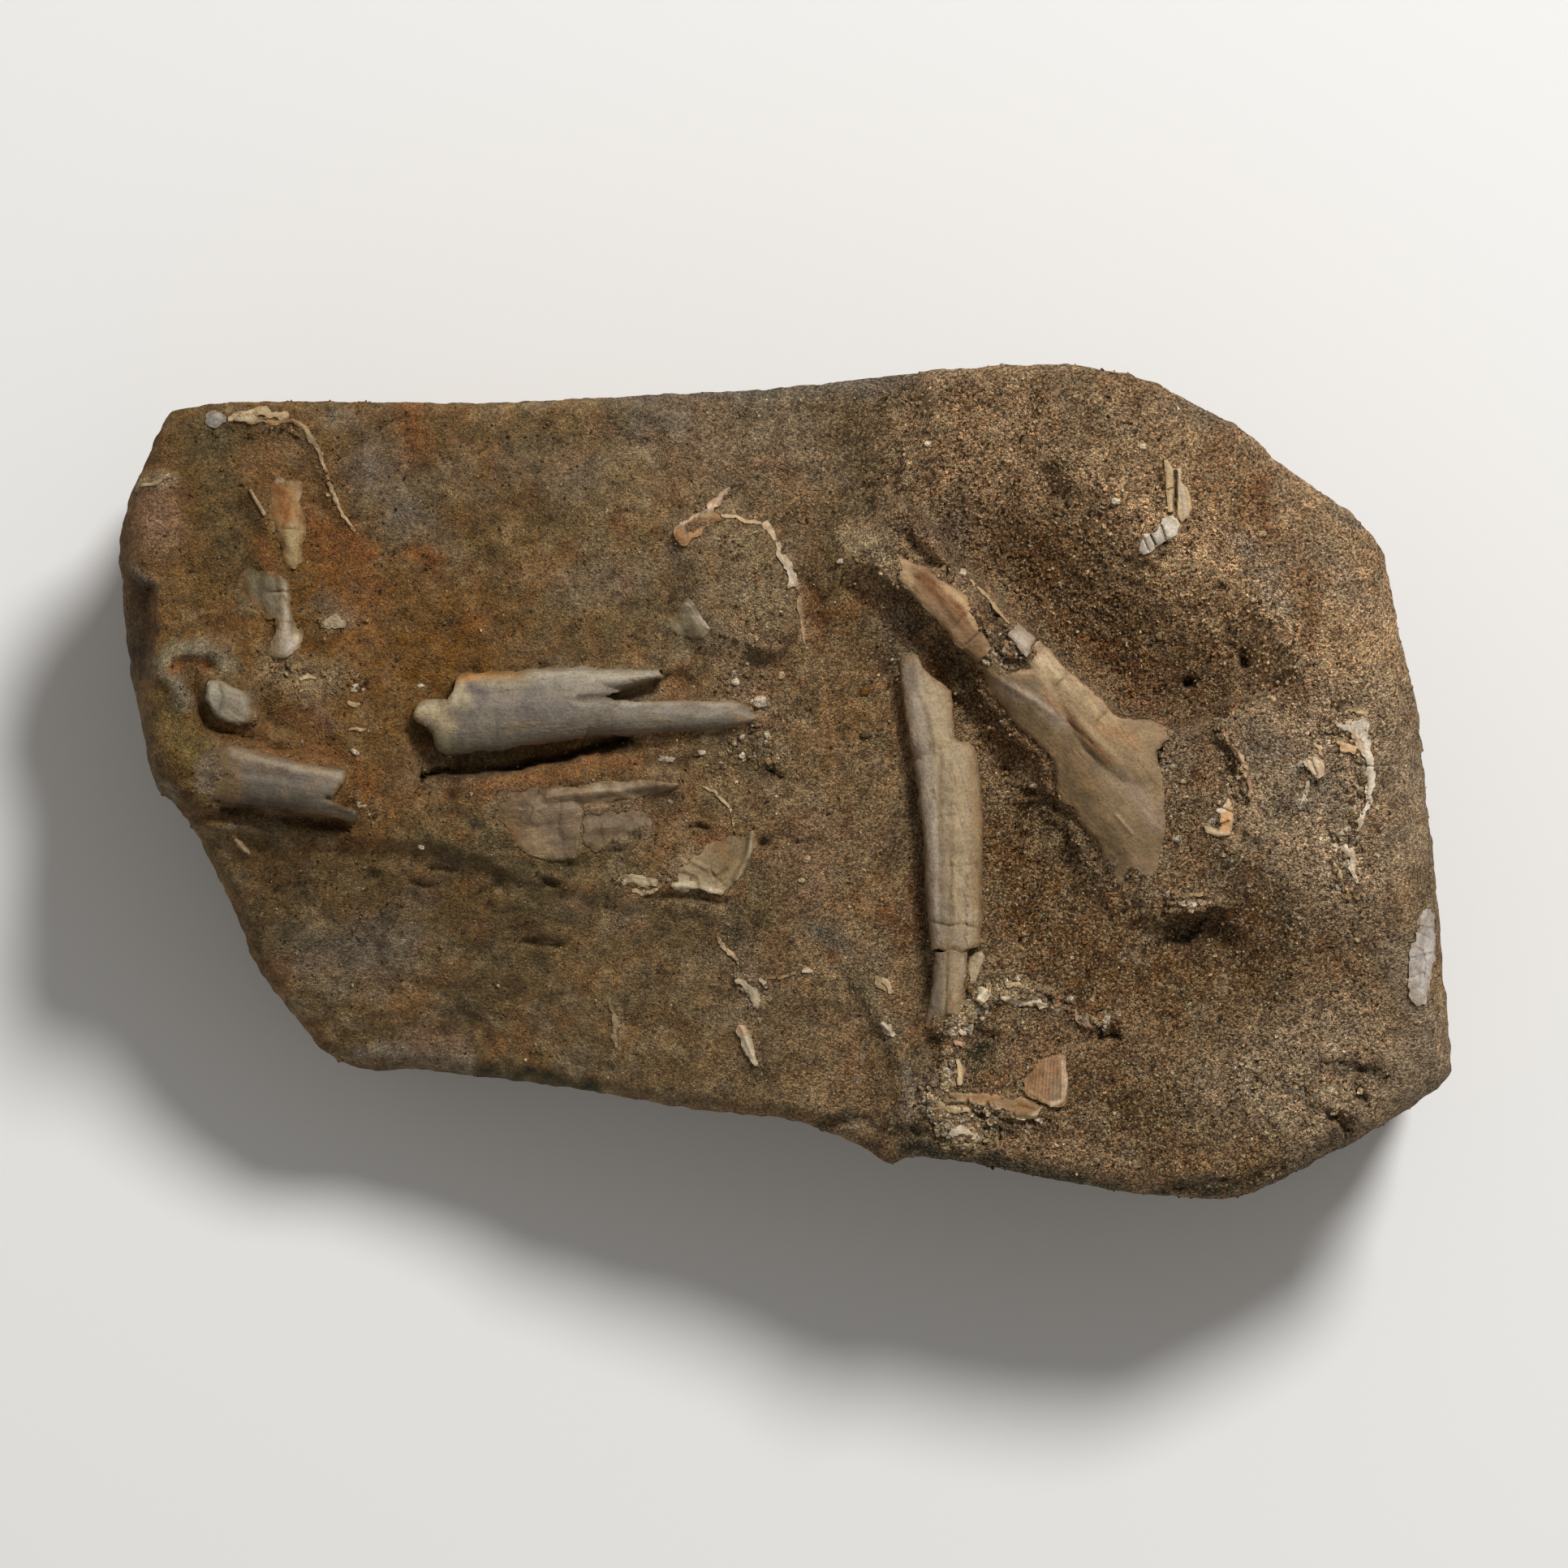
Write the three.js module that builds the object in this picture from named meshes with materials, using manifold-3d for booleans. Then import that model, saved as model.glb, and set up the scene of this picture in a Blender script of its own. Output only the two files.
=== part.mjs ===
// Pterosaur bone fossil: broken limb bones lying in the upper face of a loose block of sandstone.
// Millimetres, +Z up. The origin is on the flat underside, below the middle of the block.
// +X runs along the block's length and +Y across it. The bones lie in the face that looks up.

import * as THREE from 'three';
import { mergeVertices } from 'three/addons/utils/BufferGeometryUtils.js';
import Module from 'manifold-3d';

const wasm = await Module();
wasm.setup();

// Driving dimensions of the block.
const BENCH_HEIGHT = 56; // the lower, left part of the upper face, above the underside
const STEP_HEIGHT = 7; // the right part of the upper face stands this far above the left
const PLATEAU_RISE = 3; // and its upper right corner this much more
const VALLEY_DEPTH = 9; // trough along the flared bone
const FLANK_SLOPE = 0.45; // fall of the lower left face, in mm per mm
const BASE_INSET = 9; // the flat underside is this much smaller all round than the block
const RIM_STEP = 8; // longest straight stretch around the rim

// How the bones sit.
const SEAT_GAP = 0.3; // clearance between a bone and the rock beside it
const BED_GAP = 0.9; // clearance under a chip or plate
const CUT_ABOVE = 8; // a seat is cut open this far above the bone's own top
const CHIP_THICKNESS = 2.6; // a chip of bone, most of it sunk in the rock
const CHIP_LIFT = 0.9; // what stands out of the rock
const SHAFT_SIDES = 12;

// The block seen from above, anticlockwise from its right end.
const BLOCK_OUTLINE = [
  [118, 10], [115.9, 20.3], [113.5, 29.3], [112.4, 37], [110.5, 44.3], [105.4, 50.1], [97.9, 54.9],
  [90.4, 60.3], [84.8, 66], [79.1, 68.4], [71.6, 72.9], [64.1, 75.9], [54, 77.7], [41.6, 77.7],
  [26.6, 76.5], [11.6, 74.9], [-3.4, 73.2], [-33.4, 71.7], [-60, 70.5], [-93.5, 71.1], [-113, 70.2],
  [-116.8, 65.3], [-118.9, 59.3], [-123.2, 50.3], [-124, 41.3], [-123, 30.8], [-122, 20.3],
  [-119.6, 11.3], [-117.2, -0.8], [-112.1, -4.8], [-106.4, -15.8], [-102.1, -24.8], [-99.2, -33.8],
  [-93.4, -41.7], [-85.9, -51.2], [-77.6, -54.2], [-70.9, -53.4], [-55.9, -55.1], [-40.9, -56.7],
  [-25.9, -59.7], [-10.9, -61.7], [0.4, -62.4], [7.9, -65], [15.4, -68.3], [17.9, -70.3], [20.6, -71],
  [23, -69.2], [34.1, -70.7], [49.1, -73.5], [64.1, -76.4], [82.9, -77.7], [88, -75.8], [99.8, -69.8],
  [110.8, -63.8], [122.6, -56], [124, -53], [122.5, -36.8], [120.4, -12.8], [119, -2.3],
];

// How the rim rounds over: [direction in degrees, width, drop], anticlockwise from +X.
const RIM_ROUNDING = [
  [0, 12, 12], [30, 14, 11], [50, 9, 8], [70, 4, 5], [90, 3, 3], [145, 3, 3], [152, 5, 6], [165, 11, 13],
  [178, 6, 10], [186, 4, 8], [235, 4, 6], [265, 5, 7], [288, 4, 6], [300, 5, 9], [315, 6, 10],
  [337, 6, 9], [350, 10, 12], [360, 12, 12],
];

// The raised right part of the upper face, and the plateau on it.
const RIGHT_PART = [
  [25.5, 95], [25.5, 68], [22.5, 59], [21.5, 54], [18, 48.5], [14, 44], [14, 42.5], [19, 40], [29, 28],
  [38, 16], [48, 2], [57, -14], [62, -21], [68, -26], [80, -24], [97, -30], [140, -33], [140, 95],
];
const PLATEAU = [
  [44, 95], [46, 60], [61, 48], [69, 41], [85, 30], [92, 18], [112, 10], [140, 5], [140, 95],
];
const LEFT_HUMP = [
  [-119, 2], [-119, 16], [-116, 23], [-110, 26], [-104, 25], [-99, 18], [-97, 11], [-84, 4], [-80, 0],
  [-84, -6], [-100, -6], [-112, -4],
];
const RAISED_PATCH = [
  [-20, 46], [-12, 51], [-4, 48.5], [2, 37], [2, 28], [-2, 23], [-16, 25], [-20, 33],
];

// Troughs and ridges of the upper face: their crest lines.
const VALLEY_LINE = [[33, 42], [45, 31], [54, 22], [62, 15], [70, 12], [78, 14]];
const BONE_HOLLOW_LINE = [[30, 24], [34, 12], [38, 0], [40, -12], [42, -24]];
const SHAFT_SIDE_LINE = [[20, 18], [21, 5], [22.5, -8], [23.5, -20], [24, -44]];
const LOWER_LEDGE = [[-130, -6], [-100, -8], [-66, -10], [-44, -17], [-30, -21], [-5, -23], [60, -30]];
const FAR_HOLLOW_LINE = [[84, -30], [92, -33], [100, -36]];
const NEAR_HUMP_LINE = [[86, -50], [88, -58], [92, -63]];

function smooth(t) {
  const s = Math.min(1, Math.max(0, t));
  return s * s * (3 - 2 * s);
}

function mix(a, b, t) {
  return a + (b - a) * t;
}

// Shortest distance from a point to a line of points, and the side it lies on (+1 is left of the line).
function distanceTo(line, x, y, closed = false) {
  let best = { distance: Infinity, side: 1 };
  const count = closed ? line.length : line.length - 1;
  for (let i = 0; i < count; i++) {
    const [ax, ay] = line[i];
    const [bx, by] = line[(i + 1) % line.length];
    const [ux, uy] = [bx - ax, by - ay];
    const t = Math.min(1, Math.max(0, ((x - ax) * ux + (y - ay) * uy) / (ux * ux + uy * uy)));
    const [dx, dy] = [x - ax - t * ux, y - ay - t * uy];
    const distance = Math.hypot(dx, dy);
    if (distance < best.distance) best = { distance, side: ux * dy - uy * dx >= 0 ? 1 : -1 };
  }
  return best;
}

function isInside(outline, x, y) {
  let inside = false;
  for (let i = 0, j = outline.length - 1; i < outline.length; j = i++) {
    const [ax, ay] = outline[i];
    const [bx, by] = outline[j];
    if (ay > y !== by > y && x < ((bx - ax) * (y - ay)) / (by - ay) + ax) inside = !inside;
  }
  return inside;
}

// A raised or sunken area with soft edges.
function pad(outline, x, y, height, edge) {
  const distance = distanceTo(outline, x, y, true).distance;
  const inward = isInside(outline, x, y) ? distance : -distance;
  return height * smooth(0.5 + inward / edge);
}

// A ridge or trough along a line, with its own width on each side.
function ridge(line, x, y, height, leftWidth, rightWidth) {
  const { distance, side } = distanceTo(line, x, y);
  return height * (1 - smooth(distance / (side > 0 ? leftWidth : rightWidth)));
}

function valueAlong(line, x) {
  const i = Math.max(1, line.findIndex((p) => p[0] >= x));
  const [ax, ay] = line[i - 1];
  const [bx, by] = line[i];
  return mix(ay, by, (x - ax) / (bx - ax));
}

function rimRounding(x, y) {
  const degrees = (THREE.MathUtils.radToDeg(Math.atan2(y, x)) + 360) % 360;
  const i = Math.max(1, RIM_ROUNDING.findIndex((p) => p[0] >= degrees));
  const [a, aWidth, aDrop] = RIM_ROUNDING[i - 1];
  const [b, bWidth, bDrop] = RIM_ROUNDING[i];
  const t = (degrees - a) / (b - a);
  return { width: mix(aWidth, bWidth, t), drop: mix(aDrop, bDrop, t) };
}

// Height of the rock's upper face, without the rounding of its rim.
function faceHeight(x, y) {
  let z = BENCH_HEIGHT;
  z += pad(RIGHT_PART, x, y, STEP_HEIGHT, 5);
  z += pad(PLATEAU, x, y, PLATEAU_RISE, 10);
  z += ridge(VALLEY_LINE, x, y, -VALLEY_DEPTH, 24, 5);
  z += ridge(BONE_HOLLOW_LINE, x, y, -3, 9, 9);
  z += ridge(SHAFT_SIDE_LINE, x, y, -2.5, 4, 6);
  z += pad(LEFT_HUMP, x, y, 4, 4);
  z += pad(RAISED_PATCH, x, y, 2, 4);
  z += ridge(FAR_HOLLOW_LINE, x, y, -3, 9, 9);
  z += ridge(NEAR_HUMP_LINE, x, y, 2.5, 6, 6);
  const below = Math.max(0, valueAlong(LOWER_LEDGE, Math.min(59, x)) - y);
  const leftness = 1 - smooth((x + 65) / 75);
  z -= leftness * (2 * smooth(below / 4) + FLANK_SLOPE * below);
  z -= (1 - leftness) * 0.12 * below * (1 - smooth((x - 15) / 15));
  return z;
}

// Height of the rock's upper face, rounded over at the rim.
function topHeight(x, y) {
  const { width, drop } = rimRounding(x, y);
  const inward = distanceTo(BLOCK_OUTLINE, x, y, true).distance;
  const t = Math.max(0, 1 - inward / width);
  return faceHeight(x, y) - drop * (1 - Math.sqrt(1 - t * t));
}

function toManifold(geometry) {
  const bare = geometry.clone();
  bare.deleteAttribute('normal');
  bare.deleteAttribute('uv');
  const merged = mergeVertices(bare, 1e-4);
  const kept = [];
  for (let i = 0; i < merged.index.count; i += 3) {
    const [a, b, c] = [merged.index.getX(i), merged.index.getX(i + 1), merged.index.getX(i + 2)];
    if (a !== b && b !== c && c !== a) kept.push(a, b, c);
  }
  return new wasm.Manifold(new wasm.Mesh({
    numProp: 3,
    vertProperties: new Float32Array(merged.attributes.position.array),
    triVerts: new Uint32Array(kept),
  }));
}

function toGeometry(solid) {
  const mesh = solid.getMesh();
  const geometry = new THREE.BufferGeometry();
  geometry.setAttribute('position', new THREE.BufferAttribute(new Float32Array(mesh.vertProperties), 3));
  geometry.setIndex(new THREE.BufferAttribute(new Uint32Array(mesh.triVerts), 1));
  geometry.computeVertexNormals();
  return geometry;
}

// Points around an outline with every corner kept and no stretch longer than the step.
function spread(outline, step) {
  return outline.flatMap(([ax, ay], i) => {
    const [bx, by] = outline[(i + 1) % outline.length];
    const parts = Math.ceil(Math.hypot(bx - ax, by - ay) / step);
    return Array.from({ length: parts }, (_, k) => [mix(ax, bx, k / parts), mix(ay, by, k / parts)]);
  });
}

// The rock: a turned puck whose rings are stretched to the block's outline. The rings run from the middle
// of the flat underside, up the flanks, over the rim and across the upper face to its middle.
function rockGeometry() {
  const rim = spread(BLOCK_OUTLINE, RIM_STEP);
  const flankRings = [[BASE_INSET, 0], [4, 0.1], [1.2, 0.35], [0.3, 0.7]]; // [inset, share of rim height]
  const faceRings = [1, 0.975, 0.94, 0.89, 0.83, 0.77, 0.7, 0.63, 0.56, 0.49, 0.42, 0.34, 0.26, 0.17, 0.08, 0];
  const rings = 1 + flankRings.length + faceRings.length;
  const profile = Array.from({ length: rings }, (_, j) => new THREE.Vector2(j === 0 || j === rings - 1 ? 0 : 1, j));
  const geometry = new THREE.LatheGeometry(profile, rim.length);
  const position = geometry.attributes.position;
  for (let i = 0; i <= rim.length; i++) {
    const [rx, ry] = rim[i % rim.length];
    const reach = Math.hypot(rx, ry);
    const rimHeight = topHeight(rx, ry);
    for (let j = 0; j < rings; j++) {
      let share = 0;
      let z = 0;
      if (j > flankRings.length) {
        share = faceRings[j - 1 - flankRings.length];
        z = topHeight(rx * share, ry * share);
      } else if (j > 0) {
        share = 1 - flankRings[j - 1][0] / reach;
        z = flankRings[j - 1][1] * rimHeight;
      }
      position.setXYZ(i * rings + j, rx * share, ry * share, z);
    }
  }
  return geometry;
}

// A bone shaft: a rod lofted through stations of [x, y, half width, height above the rock's face].
// It is sunk so far that its lower part lies in the rock.
function shaftGeometry(stations, depth, grow = 0) {
  const geometry = new THREE.CylinderGeometry(1, 1, 1, SHAFT_SIDES, stations.length - 1);
  const position = geometry.attributes.position;
  for (let i = 0; i < position.count; i++) {
    const k = Math.round((0.5 - position.getY(i)) * (stations.length - 1));
    const [x, y, halfWidth, height] = stations[k];
    const before = stations[Math.max(0, k - 1)];
    const after = stations[Math.min(stations.length - 1, k + 1)];
    const length = Math.hypot(after[0] - before[0], after[1] - before[1]);
    const [ux, uy] = [(after[0] - before[0]) / length, (after[1] - before[1]) / length];
    const across = position.getX(i) * (halfWidth + grow);
    const atEnd = k === 0 ? -grow : k === stations.length - 1 ? grow : 0;
    const middle = topHeight(x, y) + height * 0.2;
    const up = position.getZ(i) > 0 ? height * 0.8 + (grow > 0 ? CUT_ABOVE : 0) : depth + grow;
    position.setXYZ(i, x - uy * across + ux * atEnd, y + ux * across + uy * atEnd, middle + position.getZ(i) * up);
  }
  return geometry;
}

// An outline moved outwards by an amount, corner by corner. The outline runs anticlockwise.
function grown(outline, amount) {
  return outline.map(([x, y], i) => {
    const before = outline[(i + outline.length - 1) % outline.length];
    const after = outline[(i + 1) % outline.length];
    const towards = new THREE.Vector2(x - before[0], y - before[1]).normalize();
    const away = new THREE.Vector2(after[0] - x, after[1] - y).normalize();
    const normal = new THREE.Vector2(towards.y + away.y, -towards.x - away.x).normalize();
    const stretch = Math.max(0.5, normal.x * away.y - normal.y * away.x);
    return [x + (normal.x * amount) / stretch, y + (normal.y * amount) / stretch];
  });
}

// A long thin outline along a line of points.
function strip(line, halfWidth) {
  const sides = line.map(([x, y], i) => {
    const before = line[Math.max(0, i - 1)];
    const after = line[Math.min(line.length - 1, i + 1)];
    const along = new THREE.Vector2(after[0] - before[0], after[1] - before[1]).normalize();
    return [[x + along.y * halfWidth, y - along.x * halfWidth], [x - along.y * halfWidth, y + along.x * halfWidth]];
  });
  return [...sides.map((s) => s[0]), ...sides.map((s) => s[1]).reverse()];
}

// A chip or plate of bone: its outline stood up to a plate that follows the rock's face.
// Its upper edge is narrowed by the edge width, as a worn break is.
function plateGeometry(outline, { lift = CHIP_LIFT, thickness = CHIP_THICKNESS, edge = 0 }) {
  const shape = new THREE.Shape(outline.map(([x, y]) => new THREE.Vector2(x, y)));
  const bevel = { bevelEnabled: true, bevelSegments: 1, bevelSize: edge, bevelOffset: -edge, bevelThickness: 1 };
  const geometry = new THREE.ExtrudeGeometry(shape, { depth: 1, ...(edge > 0 ? bevel : { bevelEnabled: false }) });
  const position = geometry.attributes.position;
  for (let i = 0; i < position.count; i++) {
    const [x, y, level] = [position.getX(i), position.getY(i), position.getZ(i)];
    const share = edge > 0 ? [0, 0.1, 0.75, 1][Math.round(level) + 1] : level;
    position.setZ(i, topHeight(x, y) + lift - thickness * (1 - share));
  }
  return geometry;
}

// The solid that a seat is cut with: the bone, a gap larger all round, and open above.
function seatOf(bone) {
  const cuts = [];
  for (const { stations, depth } of bone.shafts ?? []) {
    cuts.push(toManifold(shaftGeometry(stations, depth, SEAT_GAP)));
  }
  if (bone.outline) {
    const { lift = CHIP_LIFT, thickness = CHIP_THICKNESS } = bone;
    const opened = { lift: lift + CUT_ABOVE, thickness: thickness + CUT_ABOVE + BED_GAP };
    cuts.push(toManifold(plateGeometry(grown(bone.outline, SEAT_GAP), opened)));
  }
  return cuts.reduce((all, cut) => all.add(cut));
}

function boneSolid(bone) {
  const parts = (bone.shafts ?? []).map(({ stations, depth }) => toManifold(shaftGeometry(stations, depth)));
  if (bone.outline) parts.push(toManifold(plateGeometry(bone.outline, bone)));
  return parts.reduce((all, part) => all.add(part));
}

const sandstone = new THREE.MeshStandardMaterial({ color: 0x6e563a, roughness: 0.95, metalness: 0 });
const greyBone = new THREE.MeshStandardMaterial({ color: 0x8a7f6e, roughness: 0.6, metalness: 0 });
const creamBone = new THREE.MeshStandardMaterial({ color: 0xb09a74, roughness: 0.6, metalness: 0 });
const stainedBone = new THREE.MeshStandardMaterial({ color: 0x94703f, roughness: 0.7, metalness: 0 });

// The bones. Shaft stations are [x, y, half width, height above the rock]; outlines run anticlockwise.
const bones = [
  {
    name: 'forked_shaft_bone',
    material: greyBone,
    shafts: [
      {
        depth: 4,
        stations: [
          [-68.5, 13.2, 1.6, 3], [-66, 12.3, 3.2, 4.5], [-63.3, 10.8, 5, 6], [-60.5, 12.8, 7.4, 7.4],
          [-52, 13.4, 7.2, 8], [-44, 14.3, 7, 8], [-36, 14.6, 6, 7.5], [-31, 12.6, 3.8, 6.4],
          [-20, 12.4, 2.9, 5.2], [-10, 12.6, 2.4, 4.2], [-5.8, 11.9, 0.8, 3],
        ],
      },
      { depth: 2, stations: [[-42, 18, 3, 7], [-33, 18.8, 2.4, 5.8], [-27, 19.7, 1.4, 4.8], [-22.3, 20, 0.4, 3.8]] },
    ],
  },
  {
    name: 'left_shaft_bone',
    material: greyBone,
    shafts: [
      {
        depth: 4,
        stations: [
          [-110.5, 1.4, 2.6, 2], [-107, 1.7, 4.4, 3.4], [-103, 2, 5.4, 4.6], [-96, 0.9, 5, 5],
          [-88, -0.8, 4.7, 5.2], [-80.5, -2.5, 4.6, 4.8],
        ],
      },
    ],
  },
  {
    name: 'small_white_bone',
    material: greyBone,
    shafts: [{ depth: 3, stations: [[-106.6, 17.8, 1.6, 2], [-104, 15.8, 3.4, 3.2], [-100.6, 13.9, 3.2, 3], [-97.4, 12.8, 1.6, 1.8]] }],
  },
  {
    name: 'upper_left_bone_head',
    material: stainedBone,
    outline: [[-92.6, 40], [-90.4, 40], [-89, 45], [-89, 52], [-89.3, 55.8], [-94.5, 56.3], [-95.6, 54.5], [-95, 49.5], [-93.6, 44]],
    lift: 2.2,
    thickness: 5,
    edge: 0.9,
  },
  {
    name: 'upper_left_bone_foot',
    material: creamBone,
    outline: [
      [-95.2, 24], [-93.4, 23], [-90.2, 24.2], [-88.8, 27], [-91, 31], [-91.4, 36.5], [-94.5, 39], [-100, 39.3],
      [-101.4, 35], [-100.5, 31.6], [-95.6, 30.6], [-94.6, 28],
    ],
    lift: 1.8,
    thickness: 5,
    edge: 0.8,
  },
  { name: 'thin_bone_sliver', material: creamBone, outline: strip([[-99, 54.3], [-97.7, 52], [-96.4, 49.7]], 0.5) },
  {
    name: 'corner_bone_chip',
    material: greyBone,
    outline: [[-107.8, 66.4], [-103.6, 66.3], [-102.8, 67.8], [-104.6, 69], [-106.2, 68.8]],
  },
  {
    name: 'arched_bone_edge',
    material: creamBone,
    outline: strip([[-101.5, 67.4], [-95, 66.9], [-90.8, 67.2], [-88, 64.5], [-86.6, 61], [-84.4, 55.5], [-82.4, 50.5], [-79.6, 46.4]], 0.7),
  },
  {
    name: 'crescent_bone_left',
    material: stainedBone,
    outline: [[-19, 46.4], [-12, 48], [-11.4, 49.4], [-12.8, 51], [-10, 54.8], [-10.8, 55.2], [-14, 51.2], [-19.8, 48.8], [-20.3, 47]],
    lift: 1.2,
  },
  {
    name: 'crescent_bone_right',
    material: creamBone,
    outline: strip([[-5, 48.2], [-2.8, 47.6], [-1.5, 44.6], [0.2, 41.2], [1.2, 38.4], [1.3, 36.4]], 0.8),
    lift: 1.2,
  },
  {
    name: 'triangular_bone_chip',
    material: greyBone,
    outline: [[-20, 27.5], [-16.8, 26.6], [-13.6, 28.3], [-18.2, 34.6], [-22.4, 29.3]],
  },
  {
    name: 'flattened_shaft_bone',
    material: greyBone,
    outline: [
      [-52.5, -5.5], [-50, -11.5], [-44, -14], [-38.8, -14.5], [-38, -6.5], [-35, -4], [-25, -2.3], [-19, -0.3],
      [-22, 0.5], [-34, 0.3], [-46, -1], [-54.5, -2.6],
    ],
    lift: 1.8,
    thickness: 5,
    edge: 1,
  },
  {
    name: 'flattened_bone_flake',
    material: greyBone,
    outline: [[-36.8, -11], [-34.6, -12.5], [-30, -12], [-25.8, -9.5], [-24.6, -7.5], [-26, -5.3], [-31, -4.9], [-35.5, -5.6], [-36.8, -7]],
    lift: 1,
  },
  {
    name: 'curved_shell_chip',
    material: creamBone,
    outline: [
      [-21.5, -19.3], [-18, -19.7], [-14.5, -20.3], [-11.5, -21], [-9.5, -18.8], [-7, -15], [-5.5, -10.5],
      [-5.7, -8.4], [-11, -9.8], [-16, -13], [-19.5, -15.5],
    ],
    lift: 2,
    thickness: 4,
    edge: 0.6,
  },
  {
    name: 'long_shaft_bone',
    material: greyBone,
    shafts: [
      {
        depth: 4,
        stations: [
          [22.6, 24.5, 1, 1.6], [24, 21, 2.4, 3.4], [26, 17, 4.1, 5], [27.1, 9, 4.6, 6], [29.4, 6.4, 5.5, 6.4],
          [30.2, -2, 5.8, 6.8], [31, -12, 5.4, 7], [31.4, -22, 5, 6.8], [31.6, -30.4, 4.6, 6],
        ],
      },
    ],
  },
  {
    name: 'long_shaft_foot',
    material: creamBone,
    shafts: [{ depth: 3, stations: [[30.7, -31.6, 2.6, 4.6], [30.2, -37, 2.8, 4.2], [29.4, -42, 2.8, 3.4], [27.8, -45.2, 1.3, 2]] }],
  },
  {
    name: 'long_shaft_flake',
    material: creamBone,
    outline: [[33.9, -37.9], [35, -37.5], [36.2, -34.6], [37, -32.2], [34.4, -31.9], [34, -34.4]],
    lift: 1.8,
    thickness: 4,
  },
  {
    name: 'flared_bone_neck',
    material: stainedBone,
    shafts: [
      {
        depth: 3.5,
        stations: [
          [20.5, 39.7, 1.4, 1.6], [23.6, 38, 2.8, 3], [26.8, 35.6, 3.5, 3.8], [30.4, 32, 3.9, 4.2],
          [33.8, 27.6, 3.6, 4.2], [36.4, 24.4, 1.8, 3],
        ],
      },
    ],
  },
  {
    name: 'flared_bone_blade',
    material: creamBone,
    outline: [
      [35.6, 21.4], [37.4, 19], [39.5, 15], [43.5, 10], [49.5, 4], [50.2, -1.5], [53, -4.5], [58, -10.5],
      [60, -17], [63.5, -21.5], [67.5, -22], [69.5, -14], [70, -6], [69.8, 0], [68.7, 6], [72, 9], [69, 11],
      [63, 12], [59, 14.5], [54.5, 18.5], [50.5, 22.5], [46.4, 26.4], [45.6, 22.4], [47, 20.2], [41, 20.2],
    ],
    lift: 1.6,
    thickness: 4.5,
    edge: 0.6,
    shafts: [
      {
        depth: 3,
        stations: [[47, 24.4, 1.6, 3], [51, 20, 2.8, 4.4], [55.5, 15.6, 3.4, 5.2], [60, 11.2, 4, 5.2], [65, 7.6, 4, 4.4], [68.5, 5, 2.6, 3]],
      },
    ],
  },
  {
    name: 'flared_bone_chip',
    material: greyBone,
    outline: [[41, 27.4], [44.9, 23.4], [45.2, 26.8], [44, 28.7], [42.3, 29.4]],
    lift: 2.6,
    thickness: 5,
    edge: 0.5,
  },
  {
    name: 'crumbled_bone_plate',
    material: stainedBone,
    outline: [
      [29.6, -58], [31, -59.3], [37, -60.2], [41.5, -61.3], [46, -62], [48, -60.4], [43.6, -58], [43, -55.4],
      [38, -52.5], [33.4, -55.6],
    ],
    lift: 1.4,
    edge: 0.4,
  },
  {
    name: 'ribbed_bone_flake',
    material: creamBone,
    outline: [[44.4, -57.2], [49, -59.8], [51.7, -59.3], [52.2, -54], [52, -50.5], [46.6, -50.5], [44.4, -54.5]],
    lift: 1.6,
    thickness: 3.6,
    edge: 0.4,
  },
  {
    name: 'splinter_bone_shaft',
    material: creamBone,
    outline: [[71.2, 50], [72.4, 49.5], [74.2, 49.2], [75, 50.6], [74, 54.7], [72.9, 57.8], [71.4, 58], [70, 60], [69.9, 56], [70.4, 51]],
    lift: 1.6,
    thickness: 4,
    edge: 0.3,
  },
  {
    name: 'splinter_bone_foot',
    material: creamBone,
    outline: [[65, 43], [66, 42], [68.4, 43.4], [71, 45], [72.5, 46.2], [72.8, 48.2], [69.8, 48.7], [68, 46.4], [66.4, 46]],
    lift: 1.2,
    edge: 0.3,
  },
  {
    name: 'ring_bone_crescent',
    material: creamBone,
    outline: [
      [105, -10], [106.2, -8.6], [108.1, -3.5], [108.6, 0.5], [108.9, 3.4], [107.6, 8], [106.5, 11.3], [103, 11],
      [104.8, 8], [106, 5.5], [106.8, 0], [106.9, -4.5], [105.4, -8],
    ],
    lift: 1.3,
    edge: 0.3,
  },
  {
    name: 'ring_bone_core',
    material: creamBone,
    outline: [[96.2, 3], [98.4, 1], [99.6, 2], [100, 3.6], [97.2, 5]],
  },
  {
    name: 'socket_bone_chip',
    material: creamBone,
    outline: [[77.4, -8], [80, -9.9], [81.8, -9.2], [82.6, -6.6], [82.4, -2], [80.8, -4.4], [79.2, -4.9], [80, -7.4]],
    lift: 1.2,
  },
  {
    name: 'side_bone_patch',
    material: creamBone,
    outline: [[117.2, -41.4], [118.5, -39.6], [119, -37], [120, -33], [119.6, -26], [118.8, -21], [117.6, -23.5], [116.2, -29.5], [115.4, -33], [116, -39]],
    lift: 0.5,
  },
  {
    name: 'pointed_bone_chip',
    material: creamBone,
    outline: [[-8.4, -48.5], [-5.4, -52.7], [-6, -47], [-7.6, -45], [-9, -44.8]],
  },
  {
    name: 'corner_cream_chip',
    material: creamBone,
    outline: [[16.9, -38], [18.5, -38.8], [19.8, -38.4], [20, -37.5], [18.4, -36], [17, -36]],
  },
];

const fossil = new THREE.Group();

function addPiece(name, solid, material) {
  const mesh = new THREE.Mesh(toGeometry(solid), material);
  mesh.name = name;
  fossil.add(mesh);
}

let rock = toManifold(rockGeometry());
for (const bone of bones) rock = rock.subtract(seatOf(bone));
addPiece('matrix_block', rock, sandstone);
for (const bone of bones) addPiece(bone.name, boneSolid(bone), bone.material);

export default fossil;
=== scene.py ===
import math

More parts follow.
